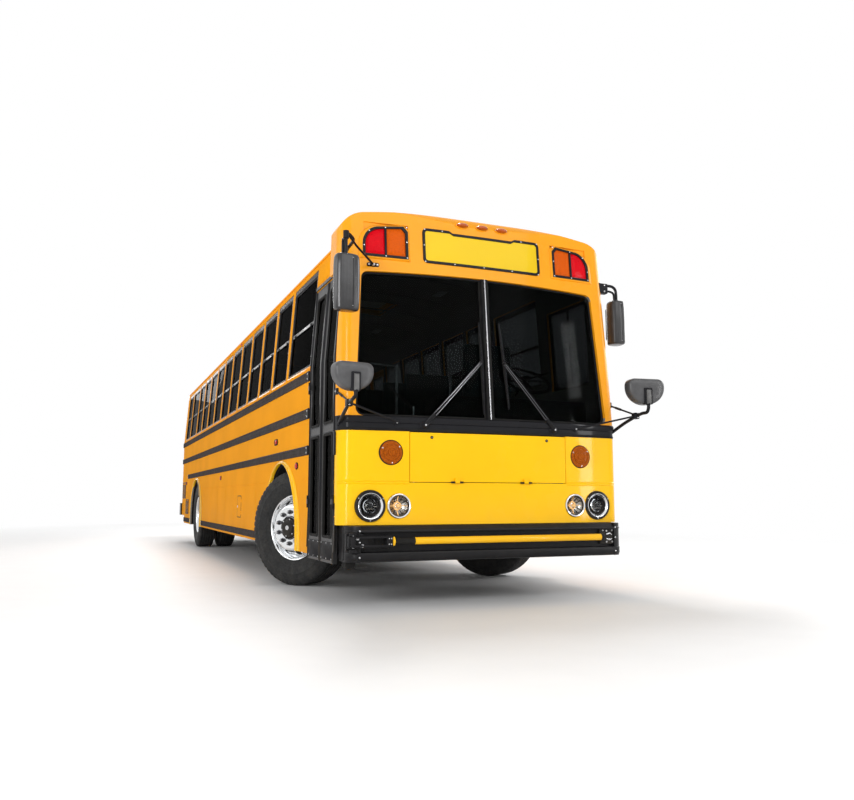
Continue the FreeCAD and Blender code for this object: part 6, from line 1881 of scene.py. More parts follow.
PILLAR = 0.042
BAY = 0.711
FIRST_BAY = NOSE + 2.155  # front of the left side's first full bay
WIDE_BAY = 0.932
SEAT_ROWS = 11
DOOR_ROWS = (5, 6)  # seat rows left out beside the emergency door
RIGHT_BAYS = 10
LEFT_BAYS = 12
EMERGENCY_BAY = 5
WINDOW_LOW, WINDOW_HIGH = 1.9, 2.75
REFLECTORS = (1.373, 5.854, 10.128)  # behind the nose
REFLECTOR_HEIGHT = 1.078


def right_windows():
    """(front, rear) edges of the window openings on the right side."""
    first = NOSE + 1.851
    bays = [(NOSE + 0.92, first)]
    bays += [(first + BAY * i, first + BAY * (i + 1)) for i in range(RIGHT_BAYS)]
    last = first + BAY * RIGHT_BAYS
    bays += [(last, last + WIDE_BAY), (last + WIDE_BAY, last + WIDE_BAY + BAY)]
    return [(a + PILLAR, b - PILLAR) for a, b in bays]


def left_windows():
    """(front, rear) edges of the window openings on the left side, without the emergency door's bay."""
    bays = [(NOSE + 1.205 - PILLAR, FIRST_BAY)]
    bays += [(FIRST_BAY + BAY * i, FIRST_BAY + BAY * (i + 1)) for i in range(LEFT_BAYS)
        if i != EMERGENCY_BAY]
    return [(a + PILLAR, b - PILLAR) for a, b in bays]


def side_window(shape, place, y0, y1, width, split):
    """The frame and sash bars of one passenger window."""
    low, high, top = y0 + width, y1 - width, WINDOW_HIGH - width
    outer = rounded(y0 + 0.001, y1 - 0.001, WINDOW_LOW + 0.001, WINDOW_HIGH - 0.001, 0.03, 4)
    inner = rounded(low, high, WINDOW_LOW + width, top - 0.022, 0.018, 4)
    shape.ring(place, outer, inner, -0.014, -0.002, 0, 0.003)
    rail = rounded(low - 0.001, high + 0.001, split, top - 0.021, 0.012, 4)
    sash = rounded(low + 0.016, high - 0.016, split + 0.02, top - 0.038, 0.01, 4)
    shape.ring(place, rail, sash, -0.015, -0.008, 1, 0.002)
    shape.plate(place, rounded(low - 0.001, high + 0.001, split - 0.014, split + 0.012, 0.004, 3),
        -0.015, -0.0045, 0, 0.003)
    for y in (y0 + 0.13, y1 - 0.13):
        shape.plate(place, rounded(y - 0.022, y + 0.022, split - 0.01, split + 0.006, 0.004, 3),
            -0.006, 0.0, 1, 0.002)
    shape.plate(place, rounded(y0 - 0.004, y1 + 0.004, WINDOW_LOW - 0.01, WINDOW_LOW + 0.004, 0.003, 2),
        -0.004, 0.004, 4, 0.002)
    for y in (y0 + 0.012, y1 - 0.012):
        for z in (WINDOW_LOW + 0.09, split - 0.12, WINDOW_HIGH - 0.1):
            shape.bolt(place, y, z, -0.002, 0.0045, 0.0018, 2, 8)


def driver_window(shape, place):
    """The frame and sliding sash of the driver's window."""
    y0, y1, z0, z1 = NOSE + 0.392, NOSE + 1.016, 1.812, 2.565
    shape.ring(place, rounded(y0 + 0.001, y1 - 0.001, z0 + 0.001, z1 - 0.001, 0.035, 5),
        rounded(y0 + 0.028, y1 - 0.028, z0 + 0.028, z1 - 0.028, 0.02, 5), -0.014, 0.002, 0, 0.003)
    middle = (y0 + y1) / 2
    shape.plate(place, rounded(middle - 0.014, middle + 0.014, z0 + 0.026, z1 - 0.026, 0.003, 2), -0.014,
        -0.004, 1, 0.002)
    shape.plate(place, rounded(middle - 0.04, middle - 0.018, 2.15, 2.23, 0.004, 3), -0.006,
        0.002, 1, 0.002)


class SCHOOLBUS_OT_side_windows(bpy.types.Operator):
    """Black frames, sashes, meeting rails and latches of every side window"""

    bl_idname = "school_bus.side_windows"
    bl_label = "Side windows"

    def execute(self, context):
        sizes = context.scene.school_bus_sizes
        for side, name, windows in ((RIGHT, "right", right_windows()), (LEFT, "left", left_windows())):
            shape = Shape()
            place = on_side(side)
            for y0, y1 in windows:
                side_window(shape, place, y0, y1, sizes.window_frame, sizes.sash_height)
            if side == LEFT:
                driver_window(shape, place)
            names = ("gloss black", "satin black", "bolt steel", "soft rubber", "plain paint")
            make_piece(f"{name}_window_frames", shape, names)
        return {"FINISHED"}


def rub_rail(shape, side, low, high, front, rear):
    """One ribbed rail along a side."""
    place = rail_face(side)
    tall = high - low
    profile = [(0.0, -0.002), (0.02, 0.008), (0.08, 0.0115), (0.2, 0.012), (0.24, 0.0085), (0.3, 0.0075),
        (0.36, 0.0085), (0.4, 0.0115), (0.6, 0.0115), (0.64, 0.0085), (0.7, 0.0075), (0.76, 0.0085),
        (0.8, 0.012), (0.92, 0.0115), (0.98, 0.008), (1.0, -0.002)]
    stations = (front + 0.07, *spread(front + 0.3, rear - 0.3, 10), rear - 0.07)
    rows = [[place(y, low + tall * t, out) for t, out in profile] for y in stations]
    shape.skin(rows, 0)
    for y0, y1 in ((front, front + 0.072), (rear - 0.072, rear)):
        shape.plate(place, rounded(y0, y1, low - 0.001, high + 0.001, 0.012, 4), -0.002, 0.0125, 1, 0.004)
        for z in (low + tall * 0.25, low + tall * 0.75):
            shape.bolt(place, (y0 + y1) / 2, z, 0.012, 0.008, 0.004, 2, 8)


class SCHOOLBUS_OT_rub_rails(bpy.types.Operator):
    """Ridged grey rub rails with closed ends and bright end bolts"""

    bl_idname = "school_bus.rub_rails"
    bl_label = "Rub rails"

    def execute(self, context):
        front, rear = NOSE + 0.96, NOSE + 10.85
        gap = (FIRST_BAY + BAY * EMERGENCY_BAY + 0.015, FIRST_BAY + BAY * (EMERGENCY_BAY + 1) - 0.015)
        shape = Shape()
        for side in SIDES:
            for low, high, end in ((1.779, 1.864, rear), (1.46, 1.548, rear), (1.155, 1.234, NOSE + 9.882)):
                spans = [(front, end)] if side == RIGHT else [(front, gap[0]), (gap[1], end)]
                for span in spans:
                    rub_rail(shape, side, low, high, *span)
            for span in ((FRONT_AXLE + 0.756, REAR_AXLE - 0.756), (REAR_AXLE + 0.756, TAIL - 0.62)):
                rub_rail(shape, side, 0.371, 0.448, *span)
        make_piece("rub_rail_profiles", shape, ("rail grey", "satin black", "bolt steel"),
            replaces=["rub_rails"], angle=30)
        return {"FINISHED"}


def arch_liner(shape, side, axle):
    """The black inside of the wheel well."""
    bend = [(axle - ARCH_LINER, 0.35), (axle - ARCH_LINER, ARCH_HEIGHT)]
    bend += [(axle - ARCH_LINER * cos(a), ARCH_HEIGHT + ARCH_LINER * sin(a))
        for a in spread(0.0, pi, 36)[1:-1]]
    bend += [(axle + ARCH_LINER, ARCH_HEIGHT), (axle + ARCH_LINER, 0.35)]
    bend += [(axle + (y - axle) * 1.006, z + 0.003) for y, z in reversed(bend)]
    shape.skin([[(side * x, y, z) for y, z in bend] for x in (1.213, 0.64)], 1)


def arch_trim(shape, side, axle):
    """The two-step trim round one wheel arch, with rubber under it."""
    profile = mm(652.5, -4, 655, 10, 660, 19, 670, 24, 684, 24.5, 692, 19, 697, 12.5, 712, 12.5, 728, 11.5,
        742, 8, 752, 3, 755, -2)
    rows = []
    legs = (0.348, 0.4)
    stations = [(-1, z) for z in legs] + [(0, a) for a in spread(pi, 0.0, 40)]
    stations += [(1, z) for z in reversed(legs)]
    for kind, value in stations:
        row = []
        for radius, out in profile:
            if kind:
                y, z = axle + kind * radius, value
            else:
                rise = ARCH_RADIUS + (radius - ARCH_RADIUS) * 0.3
                y, z = axle + radius * cos(value), ARCH_HEIGHT + rise * sin(value)
            row.append((side * (HALF + out), y, z))
        rows.append(row)
    shape.sheet(rows, 0)
    path = [(side * (HALF - 0.03), *polar(0.652, a, axle, ARCH_HEIGHT)) for a in spread(pi, 0.0, 40)]
    shape.tube(path, 0.006, 8, 1)
    for a in (0.35, 1.05, 2.09, 2.79):
        y, z = axle + 0.705 * cos(a), ARCH_HEIGHT + 0.67 * sin(a)
        shape.bolt(rail_face(side), y, z, 0.011, 0.006, 0.003, 2, 8)


class SCHOOLBUS_OT_arch_trims(bpy.types.Operator):
    """Rounded two-step trims round the four wheel arches, with rubber under them"""

    bl_idname = "school_bus.arch_trims"
    bl_label = "Wheel arch trims"

    def execute(self, context):
        shape = Shape()
        for side in SIDES:
            for axle in (FRONT_AXLE, REAR_AXLE):
                arch_trim(shape, side, axle)
                arch_liner(shape, side, axle)
        make_piece("arch_trim_profiles", shape, ("front paint", "soft rubber", "bolt steel"),
            replaces=["wheel_arch_trims"], angle=30)
        return {"FINISHED"}


def seam_strip(shape, place, y0, y1, z0, z1, out=0.0022, finish=0):
    """A thin raised strip between two heights of a side."""
    count = max(int((y1 - y0) / 0.5), 1)
    rows = [[place(y, z, d) for z, d in ((z0, -0.001), (z0 + 0.001, out), (z1 - 0.001, out), (z1, -0.001))]
        for y in spread(y0, y1, count)]
    shape.skin(rows, finish)


def side_seams(shape, place, side, spacing):
    """The joints and rivets of one side's panels."""
    front = NOSE + (0.985 if side == RIGHT else 0.43)
    rear = TAIL - 0.26
    arches = [(FRONT_AXLE - 0.77, FRONT_AXLE + 0.77), (REAR_AXLE - 0.77, REAR_AXLE + 0.77)]
    spans = [(front, arches[0][0]), (arches[0][1], arches[1][0]), (arches[1][1], rear)]
    seam_strip(shape, place, front, rear, 1.868, 1.884, 0.003)
    for y0, y1 in spans:
        if y1 > y0:
            seam_strip(shape, place, y0, y1, 0.946, 0.964, 0.002)
            for y in spread(y0 + 0.03, y1 - 0.03, max(int((y1 - y0) / spacing), 1)):
                shape.bolt(place, y, 0.955, 0.002, *RIVET, 0, 6)
    for y in spread(front + 0.04, rear - 0.04, int((rear - front) / spacing)):
        for z in (1.42, 1.592, 1.748):
            shape.bolt(place, y, z, 0.0, *RIVET, 0, 6)
        shape.bolt(place, y, 2.768, 0.0, *RIVET, 0, 6)
    windows = right_windows() if side == RIGHT else left_windows()
    for y0, y1 in windows:
        y = y1 + PILLAR
        if any(a < y < b for a, b in arches) or y > rear:
            continue
        rows = [[place(y + dy, z, d) for dy, d in mm(-10, -1, -9, 1.8, 9, 1.8, 10, -1)]
            for z in (0.46, 0.94)]
        shape.skin(rows, 0)
        for z in spread(0.5, 0.92, 4):
            shape.bolt(place, y, z, 0.0018, *RIVET, 0, 6)
    for y0, y1 in windows:
        for y in (y0 - 0.02, y1 + 0.02):
            for z in spread(1.93, 2.72, 5):
                shape.bolt(place, y, z, 0.0, 0.004, 0.0015, 0, 6)


def side_lamps(shape, place):
    """The marker lamps and reflectors along one side."""
    for behind in REFLECTORS:
        y, z = NOSE + behind, REFLECTOR_HEIGHT
        shape.plate(place, oval(y, z, 0.11, 0.062, 32), 0.0, 0.008, 6, 0.003)
        shape.dome(place, oval(y, z, 0.096, 0.05, 32), 0.006, 0.008, 2, 4)
    y, z = NOSE + 2.252, 1.341
    shape.plate(place, pad(0.075, 0.03, 0.026, 6, y, z), 0.0, 0.007, 6, 0.003)
    shape.dome(place, rounded(y - 0.062, y + 0.02, z - 0.02, z + 0.02, 0.018, 6), 0.005, 0.01, 2, 4)
    shape.dome(place, rounded(y + 0.028, y + 0.062, z - 0.02, z + 0.02, 0.014, 6), 0.005, 0.01, 3, 4)
    y, z = NOSE + 4.815, 2.772
    shape.dome(place, oval(y, z, 0.09, 0.028, 28), 0.0, 0.014, 2, 4)


def side_vents(shape, place):
    """The louvred vents toward the rear of one side."""
    slat = mm(0, 1, 6, 8.5, 16, 7, 17, 1)
    for y0, y1, z0, z1 in ((10.25, 10.74, 0.8, 1.1), (9.72, 10.15, 0.52, 0.78)):
        y0, y1 = y0 + NOSE, y1 + NOSE
        shape.ring(place, rounded(y0, y1, z0, z1, 0.015, 4),
            rounded(y0 + 0.016, y1 - 0.016, z0 + 0.016, z1 - 0.016, 0.006, 4), 0.0, 0.006, 5, 0.002)
        for k in range(int((z1 - z0 - 0.04) / 0.024)):
            z = z0 + 0.022 + k * 0.024
            shape.skin([[place(y, z + dz, d) for dz, d in slat] for y in (y0 + 0.018, y1 - 0.018)], 5)


def fuel_flap(shape, place):
    """The flap over the fuel filler."""
    y, z = NOSE + 4.3, 0.7
    shape.ring(place, pad(0.13, 0.13, 0.025, 5, y, z), pad(0.122, 0.122, 0.02, 5, y, z), 0.0,
        0.002, 6, 0.0008)
    shape.plate(place, pad(0.12, 0.12, 0.018, 5, y, z), 0.0, 0.0025, 0, 0.001)
    shape.lathe(shifted(place, y + 0.085, z), mm(13, 2, 13, 6, 10, 8, 0.5, 8), 20, 4)
    for v in (-0.07, 0.07):
        shape.plate(place, rounded(y - 0.134, y - 0.108, z + v - 0.022, z + v + 0.022, 0.004, 3), 0.001,
            0.0055, 0, 0.002)


class SCHOOLBUS_OT_side_details(bpy.types.Operator):
    """Panel seams, rivets, reflectors, marker lamps, vents and the fuel filler on the walls"""

    bl_idname = "school_bus.side_details"
    bl_label = "Side seams, lamps and vents"

    def execute(self, context):
        sizes = context.scene.school_bus_sizes
        shape = Shape()
        for side in SIDES:
            place = on_side(side)
            side_seams(shape, place, side, sizes.rivet_spacing)
            side_lamps(shape, place)
            side_vents(shape, place)
        fuel_flap(shape, on_side(RIGHT))
        make_piece("side_wall_details", shape, ("wall paint", "bolt steel", "red lens", "amber lens",
            "chrome", "satin black", "soft rubber"), angle=30)
        return {"FINISHED"}


def door_rail(shape, place, span, z):
    """A thin rail across one door leaf."""
    rows = [[place(y, z + dz, d) for dz, d in mm(-4, -1, -3, 3, 3, 3, 4, -1)]
        for y in (span[0] + 0.02, span[1] - 0.02)]
    shape.skin(rows, 1)


DOOR_THICKNESS = 0.03
DOOR_LEAVES = (
    # body, front and rear of the leaf, front and rear of its glass
    ("entrance_front_door", (-5.209, -4.837), (-5.147, -4.909)),
    ("entrance_rear_door", (-4.827, -4.455), (-4.755, -4.517)),
)


class SCHOOLBUS_OT_entrance_doors(bpy.types.Operator):
    """Rubbers, gaskets, kick plates, grips and edge strips of the two entrance leaves"""

    bl_idname = "school_bus.entrance_doors"
    bl_label = "Entrance door fittings"

    def execute(self, context):
        place = on_side(RIGHT)
        for body, span, pane in DOOR_LEAVES:
            shape = Shape()
            for z0, z1 in ((0.505, 1.285), (1.375, 2.45)):
                shape.ring(place, rounded(pane[0] - 0.01, pane[1] + 0.01, z0 - 0.01, z1 + 0.01, 0.022, 4),
                    rounded(pane[0] + 0.012, pane[1] - 0.012, z0 + 0.012, z1 - 0.012, 0.012, 4), -0.013,
                    0.006, 0, 0.004)
            for y in (span[0] + 0.008, span[1] - 0.008):
                rows = [[place(y + dy, z, d) for dy, d in mm(-7, -1, -5, 6, 0, 8.5, 5, 6, 7, -1)]
                    for z in (0.32, 1.0, 1.87, 2.53)]
                shape.skin(rows, 1)
            shape.plate(place, rounded(span[0] + 0.02, span[1] - 0.02, 0.335, 0.47, 0.008, 4), 0.0,
                0.003, 2, 0.001)
            for z in (0.345, 0.46):
                for y in spread(span[0] + 0.045, span[1] - 0.045, 2):
                    shape.bolt(place, y, z, 0.003, 0.006, 0.002, 3, 8)
            for z in (1.3, 1.36):
                door_rail(shape, place, span, z)
            grip = ((pane[0] + 0.02, 1.3, 0.045), (pane[0] + 0.03, 1.2, 0.05), (pane[1] - 0.03, 0.98, 0.05),
                (pane[1] - 0.02, 0.9, 0.045))
            shape.tube([place(y, z, -DOOR_THICKNESS - d) for y, z, d in grip], 0.011, 10, 4)
            make_piece(f"{body}_fittings", shape, ("soft rubber", "gloss black", "satin black",
                "bolt steel", "grey steel"), body=body)
        header = Shape()
        header.plate(place, rounded(-5.225, -4.44, 2.545, 2.575, 0.006, 3), 0.0, 0.01, 0, 0.004)
        header.plate(place, rounded(-5.235, -5.216, 0.4, 2.55, 0.004, 3), 0.0, 0.008, 0, 0.003)
        header.plate(place, rounded(-4.447, -4.434, 0.4, 2.55, 0.004, 3), 0.0, 0.008, 1, 0.003)
        header.plate(place, rounded(-5.21, -4.452, 2.6, 2.735, 0.01, 4), 0.0, 0.003, 2, 0.001)
        make_piece("entrance_door_frame_trim", header, ("gloss black", "soft rubber", "wall paint"))
        return {"FINISHED"}


STOP_SIGN_WIDTH = 0.457


class SCHOOLBUS_OT_stop_arm(bpy.types.Operator):
    """Blank red octagon with its white border and lamps, on a ribbed bar"""

    bl_idname = "school_bus.stop_arm"
    bl_label = "Stop arm"

    def execute(self, context):
        shape = Shape()
        flat = leftward((1.268, -3.9015, 1.665))
        radius = STOP_SIGN_WIDTH / 2 / cos(pi / 8)

        def octagon(scale):
            return [polar(radius * scale, pi / 8 + pi / 4 * i) for i in range(8)]

        shape.plate(flat, octagon(0.998), 0.0005, 0.0115, 1, 0.001)
        shape.plate(flat, octagon(0.94), -0.0001, 0.012, 0, 0.0004)
        for v in (-0.165, 0.165):
            shape.lathe(leftward(flat(0, v, 0.01)), mm(36, 0, 36, 2, 30, 2.8), 28, 2)
            shape.dome(leftward(flat(0, v, 0.01)), oval(0, 0, 0.06, 0.06, 28), 0.001, 0.007, 3, 4)
        bar = leftward((1.268, -4.165, 1.665))
        shape.plate(bar, rounded(-0.043, 0.06, -0.068, 0.068, 0.006, 4), 0.0005, 0.0135, 2, 0.002)
        for v in (-0.045, 0.0, 0.045):
            shape.bolt(bar, 0.035, v, 0.0125, 0.007, 0.004, 4, 6)
        make_piece("stop_arm_sign", shape, ("sign red", "sign white", "satin black", "red lens",
            "bolt steel"), body="stop_sign", replaces=["stop_arm"])
        return {"FINISHED"}


class SCHOOLBUS_OT_emergency_door(bpy.types.Operator):
    """Window rubbers, seam rubbers and the red outside handle of the emergency door"""

    bl_idname = "school_bus.emergency_door"
    bl_label = "Emergency door"

    def execute(self, context):
        place = on_side(LEFT)
        shape = Shape()
        for z0, z1 in ((1.29, 1.72), (1.92, 2.64)):
            shape.ring(place, rounded(0.42, 0.924, z0 - 0.01, z1 + 0.01, 0.03, 5),
                rounded(0.442, 0.902, z0 + 0.012, z1 - 0.012, 0.018, 5), -0.012, 0.006, 0, 0.003)
        shape.ring(place, rounded(0.352, 0.984, 1.148, 2.718, 0.02, 4),
            rounded(0.36, 0.976, 1.156, 2.71, 0.014, 4), -0.001, 0.004, 1, 0.001)
        shape.plate(place, rounded(0.372, 0.412, 1.79, 1.9, 0.012, 4), 0.0, 0.01, 2, 0.003)
        grip = [place(0.392, 1.88, 0.008), place(0.392, 1.88, 0.022), place(0.44, 1.872, 0.026),
            place(0.52, 1.86, 0.022)]
        shape.tube(grip, 0.0075, 10, 3)
        for z in (1.3, 2.5):
            shape.bolt(place, 0.962, z, 0.003, 0.006, 0.004, 4, 6)
        make_piece("emergency_door_trim", shape, ("soft rubber", "plain paint", "satin black", "sign red",
            "bolt steel"), body="emergency_exit")
        return {"FINISHED"}


# ---------------------------------------------------------------- interior

def cushion(name, low, high, old, fill, turned_back=False):
    """A soft stuffed block: rounded edges, a crowned face and a sewn welt, ready for subdivision."""
    shape = Shape()
    mid = [(a + b) / 2 for a, b in zip(low, high)]
    half = [(b - a) / 2 for a, b in zip(low, high)]
    rows = []
    for t, narrow in ((-1.0, 0.9), (-0.86, 0.985), (-0.3, 1.0), (0.3, 1.0), (0.86, 0.985), (1.0, 0.9)):
        outline = pad(half[0] * narrow, half[2 if turned_back else 1] * narrow, 0.035, 3)
        if turned_back:
            rows.append([(mid[0] + u, mid[1] + half[1] * t, mid[2] + v) for u, v in outline])
        else:
            rows.append([(mid[0] + u, mid[1] + v, mid[2] + half[2] * t) for u, v in outline])
    shape.skin(rows, 0)
    piece = make_piece(name, shape, ("seat vinyl",), replaces=[old],
        subdivide=1, angle=60)
    return piece


def seat_rows():
    """(side, front of the cushion) of every passenger seat."""
    return [(side, NOSE + 2.05 + BAY * i) for side in SIDES for i in range(SEAT_ROWS)
        if side == RIGHT or i not in DOOR_ROWS]


class SCHOOLBUS_OT_seats(bpy.types.Operator):
    """Stuffed cushions and backs of the passengers' seats"""

    bl_idname = "school_bus.seats"
    bl_label = "Passenger seats"

    def execute(self, context):
        fill = context.scene.school_bus_sizes.seat_fill
        for number, (side, y) in enumerate(seat_rows()):
            across = sorted((side * 0.217, side * 1.142))
            cushion(f"seat_cushion_{number}", (across[0], y + 0.002, 1.482), (across[1], y + 0.398, 1.598),
                "seat_cushions", fill)
            cushion(f"seat_back_{number}", (across[0], y + 0.402, 1.482), (across[1], y + 0.488, 2.148),
                "seat_backs", fill, turned_back=True)
        cushion("driver_cushion", (0.362, -4.598, 1.502), (0.878, -4.132, 1.618), "driver_seat", fill)
        cushion("driver_backrest", (0.372, -4.128, 1.562), (0.868, -4.022, 2.278), "driver_seat", fill,
            turned_back=True)
        base = Shape()
        base.block((0.49, -4.54, 1.15), (0.75, -4.24, 1.17), 0)
        rows = [[(0.62 + u, -4.39 + v, z) for u, v in pad(w, w, 0.03, 3)]
            for z, w in [(1.17 + 0.034 * k, 0.115 if k % 2 else 0.13) for k in range(9)]]
        base.skin(rows, 1)
        base.block((0.45, -4.56, 1.446), (0.79, -4.18, 1.5), 0)
        make_piece("driver_seat_base", base, ("grey steel", "soft rubber"),
            replaces=["driver_seat"], bevel=0.003)
        return {"FINISHED"}


def dashboard():
    """The driver's instrument panel."""
    shape = Shape()
    panel = facing((0.62, -5.031, 1.47), 1)
    shape.plate(panel, pad(0.25, 0.09, 0.03, 5), 0.0, 0.012, 0, 0.004)
    for u, r in mm(-175, 40, -70, 58, 70, 58, 175, 40):
        dial = facing(panel(u, 0.01, 0.012), 1)
        shape.lathe(dial, [(r, 0.0), (r, 0.008), (r * 0.88, 0.01), (r * 0.86, 0.003),
            (0.0005, 0.003)], 28, 1)
        shape.plate(dial, [(-0.002, -0.004), (0.002, -0.004), (0.001, r * 0.7), (-0.001, r * 0.7)], 0.004,
            0.0055, 2, 0.0004)
    for k in range(8):
        shape.plate(panel, rounded(-0.2 + k * 0.052, -0.165 + k * 0.052, -0.078, -0.06, 0.004, 3), 0.012,
            0.018, 3 if k % 3 else 4, 0.002)
    for u0 in (0.42, 0.66):
        for k in range(7):
            v = -0.1 + k * 0.022
            shape.plate(panel, rounded(u0, u0 + 0.17, v, v + 0.01, 0.003, 3), 0.0, 0.006, 0, 0.002)
    make_piece("dash_instruments", shape, ("satin black", "chrome", "white lens", "soft rubber",
        "red lens"))


def steering_wheel():
    """The steering wheel and its column."""
    shape = Shape()
    tilt = radians(35)
    centre = Vector((0.62, -4.83, 1.83))
    up = Vector((0, cos(tilt), -sin(tilt)))
    axis = Vector((0, sin(tilt), cos(tilt)))
    wheel = on_plane(centre, (1, 0, 0), up, axis)
    for k in range(3):
        a = radians(90 + 120 * k)
        u, v = cos(a), sin(a)
        shape.tube([wheel(0.03 * u, 0.03 * v, 0.003), wheel(0.12 * u, 0.12 * v, 0.009),
            wheel(0.212 * u, 0.212 * v, 0.004)], [0.011, 0.01, 0.009], 10, 0)
    shape.dome(wheel, oval(0.0, 0.0, 0.12, 0.12, 32), 0.004, 0.012, 0, 5)
    make_piece("steering_wheel_spokes", shape, ("satin black",))


def handrails():
    """The bent rails beside the entrance and the driver."""
    shape = Shape()
    for side, x in ((RIGHT, 0.42), (LEFT, 0.3)):
        y = -4.36 if side == RIGHT else -3.93
        shape.tube(smooth_path([(side * x, y, 1.16), (side * x, y, 1.9), (side * (x + 0.06), y, 1.965),
            (side * 1.1, y, 1.965)], 5), 0.016, 12, 0)
    for x in (-0.55, -1.05):
        shape.tube(smooth_path([(x, -5.12, 0.75), (x, -5.12, 1.45), (x, -5.06, 1.52), (x, -4.6, 1.72)],
            5), 0.014, 12, 0)
    make_piece("cabin_handrails", shape, ("chrome",))


def ceiling():
    """The bows and the lamps of the ceiling, and the runner along the aisle."""
    shape = Shape()
    for i in range(14):
        y = NOSE + 1.155 + BAY * i
        rows = []
        for x in spread(-0.9, 0.9, 14):
            z = roof_height(x) - 0.052
            rows.append([(x, y - 0.022, z), (x, y - 0.018, z - 0.006), (x, y + 0.018, z - 0.006),
                (x, y + 0.022, z)])
        shape.skin(rows, 0)
        if i % 3 == 1:
            for x in (-0.52, 0.52):
                z = roof_height(x) - 0.056
                lamp = on_plane((x, y + 0.35, z), (1, 0, 0), (0, 1, 0), (0, 0, -1))
                shape.dome(lamp, pad(0.05, 0.11, 0.03, 5), 0.0, 0.02, 1, 4)
    aisle = mm(-170, 1149.5, -165, 1153, 165, 1153, 170, 1149.5)
    shape.skin([[(x, y, z) for x, z in aisle] for y in spread(-4.3, 4.5, 12)], 2)
    make_piece("ceiling_bows_and_aisle", shape, ("grey steel", "white lens", "floor rubber"))


class SCHOOLBUS_OT_cabin_fittings(bpy.types.Operator):
    """Dash instruments, steering wheel, handrails, ceiling bows and lamps, and the aisle's runner"""

    bl_idname = "school_bus.cabin_fittings"
    bl_label = "Cabin fittings"

    def execute(self, context):
        dashboard()
        steering_wheel()
        handrails()
        ceiling()
        return {"FINISHED"}


# ---------------------------------------------------------------- rear, roof and underside

def crowned(half, low, high, radius):
    """A rounded outline whose long edges follow the rear's crown."""
    points = rounded(-half, half, low, high, radius, 5)
    dense = []
    for a, b in zip(points, points[1:] + points[:1]):
        steps = max(int(abs(b[0] - a[0]) / 0.12), 1)
        dense += [(a[0] + (b[0] - a[0]) * k / steps, a[1] + (b[1] - a[1]) * k / steps)
            for k in range(steps)]
    return dense


def engine_door():
    """The louvres, latches and hinges of the engine's door."""
    shape = Shape()
    louvre = mm(0, -2, 6, 10, 20, 8, 26, -2)
    for side in SIDES:
        for k in range(12):
            z = 0.86 + k * 0.04
            edge = sorted((side * 0.18, side * 0.7))
            shape.skin([[on_rear(-x, z + dz, d) for dz, d in louvre] for x in spread(*edge, 6)], 0)
    for x in (-0.55, 0.55):
        spot = facing(on_rear(x, 0.79), 1)
        shape.plate(spot, pad(0.05, 0.02, 0.008, 4), -0.003, 0.006, 1, 0.002)
        shape.plate(spot, pad(0.036, 0.01, 0.006, 4), 0.005, 0.012, 2, 0.002)
    for x in (-0.6, 0.0, 0.6):
        a, b = on_rear(x - 0.06, 1.438, 0.006), on_rear(x + 0.06, 1.438, 0.006)
        shape.tube([a, b], 0.008, 10, 1)
    make_piece("engine_door_louvres", shape, ("end paint", "satin black", "chrome"), body="engine_cover")


def bumper_bolts():
    """The bolts of the rear bumper."""
    shape = Shape()
    for x in (-0.95, -0.42, 0.42, 0.95):
        for z in (0.545, 0.65):
            spot = facing((x, 5.772 - 0.03 * (abs(x) > 0.9), z), 1)
            shape.bolt(spot, 0, 0, 0.0, 0.013, 0.007, 0, 6)
    make_piece("rear_bumper_bolts", shape, ("bolt steel",))


class SCHOOLBUS_OT_rear_end(bpy.types.Operator):
    """Rear window rubber, engine door louvres and latches, blank plate, reflectors and bumper bolts"""

    bl_idname = "school_bus.rear_end"
    bl_label = "Rear end"

    def execute(self, context):
        shape = Shape()
        shape.ring(on_rear, crowned(0.575, 1.705, 2.495, 0.05), crowned(0.545, 1.735, 2.465, 0.035), -0.004,
            0.009, 0, 0.004)
        shape.ring(on_rear, crowned(0.866, 0.706, 1.456, 0.03), crowned(0.852, 0.72, 1.442, 0.02), -0.003,
            0.006, 0, 0.003)
        shape.strips(on_rear, [(x, 1.515, 1.645) for x in spread(-0.16, 0.16, 6)], 0.004, 1)
        for x in (-0.1, 0.1):
            lamp = facing(on_rear(x, 1.668), 1)
            shape.dome(lamp, pad(0.03, 0.012, 0.008, 4), 0.0, 0.014, 4, 4)
        for x in (-1.02, 1.02):
            for z in (0.8, 1.33):
                spot = facing(on_rear(x, z), 1)
                shape.plate(spot, oval(0, 0, 0.08, 0.08, 24), -0.004, 0.006, 2, 0.002)
                shape.dome(spot, oval(0, 0, 0.068, 0.068, 24), 0.005, 0.006, 3, 4)
        for x in spread(-0.16, 0.16, 2):
            spot = facing(on_rear(x, 2.91), 1)
            shape.dome(spot, oval(0, 0, 0.1, 0.036, 24), -0.004, 0.018, 3, 4)
        for z in (1.56, 2.6):
            for x in spread(-0.95, 0.95, 22):
                if abs(x) > 0.62 or z > 2.5:
                    shape.bolt(on_rear, x, z, 0.0, *RIVET, 5, 6)
        make_piece("rear_end_trim", shape, ("soft rubber", "sign yellow", "satin black", "red lens",
            "white lens", "plain paint"))
        engine_door()
        bumper_bolts()
        return {"FINISHED"}


ROOF_HATCHES = ((-2.42, -1.76, "front_roof_lid"), (2.28, 2.94, "rear_roof_lid"))
HATCH_REACH = 0.37  # no rivets nearer to the roof's middle than this
HATCH_TOP = 3.1495
ROOF_RIVET = (0.0042, 0.0022)


def on_hatch(x, y):
    """Whether a place on the roof lies on one of the two hatches."""
    return abs(x) < HATCH_REACH and any(y0 - 0.05 < y < y1 + 0.05 for y0, y1, body in ROOF_HATCHES)


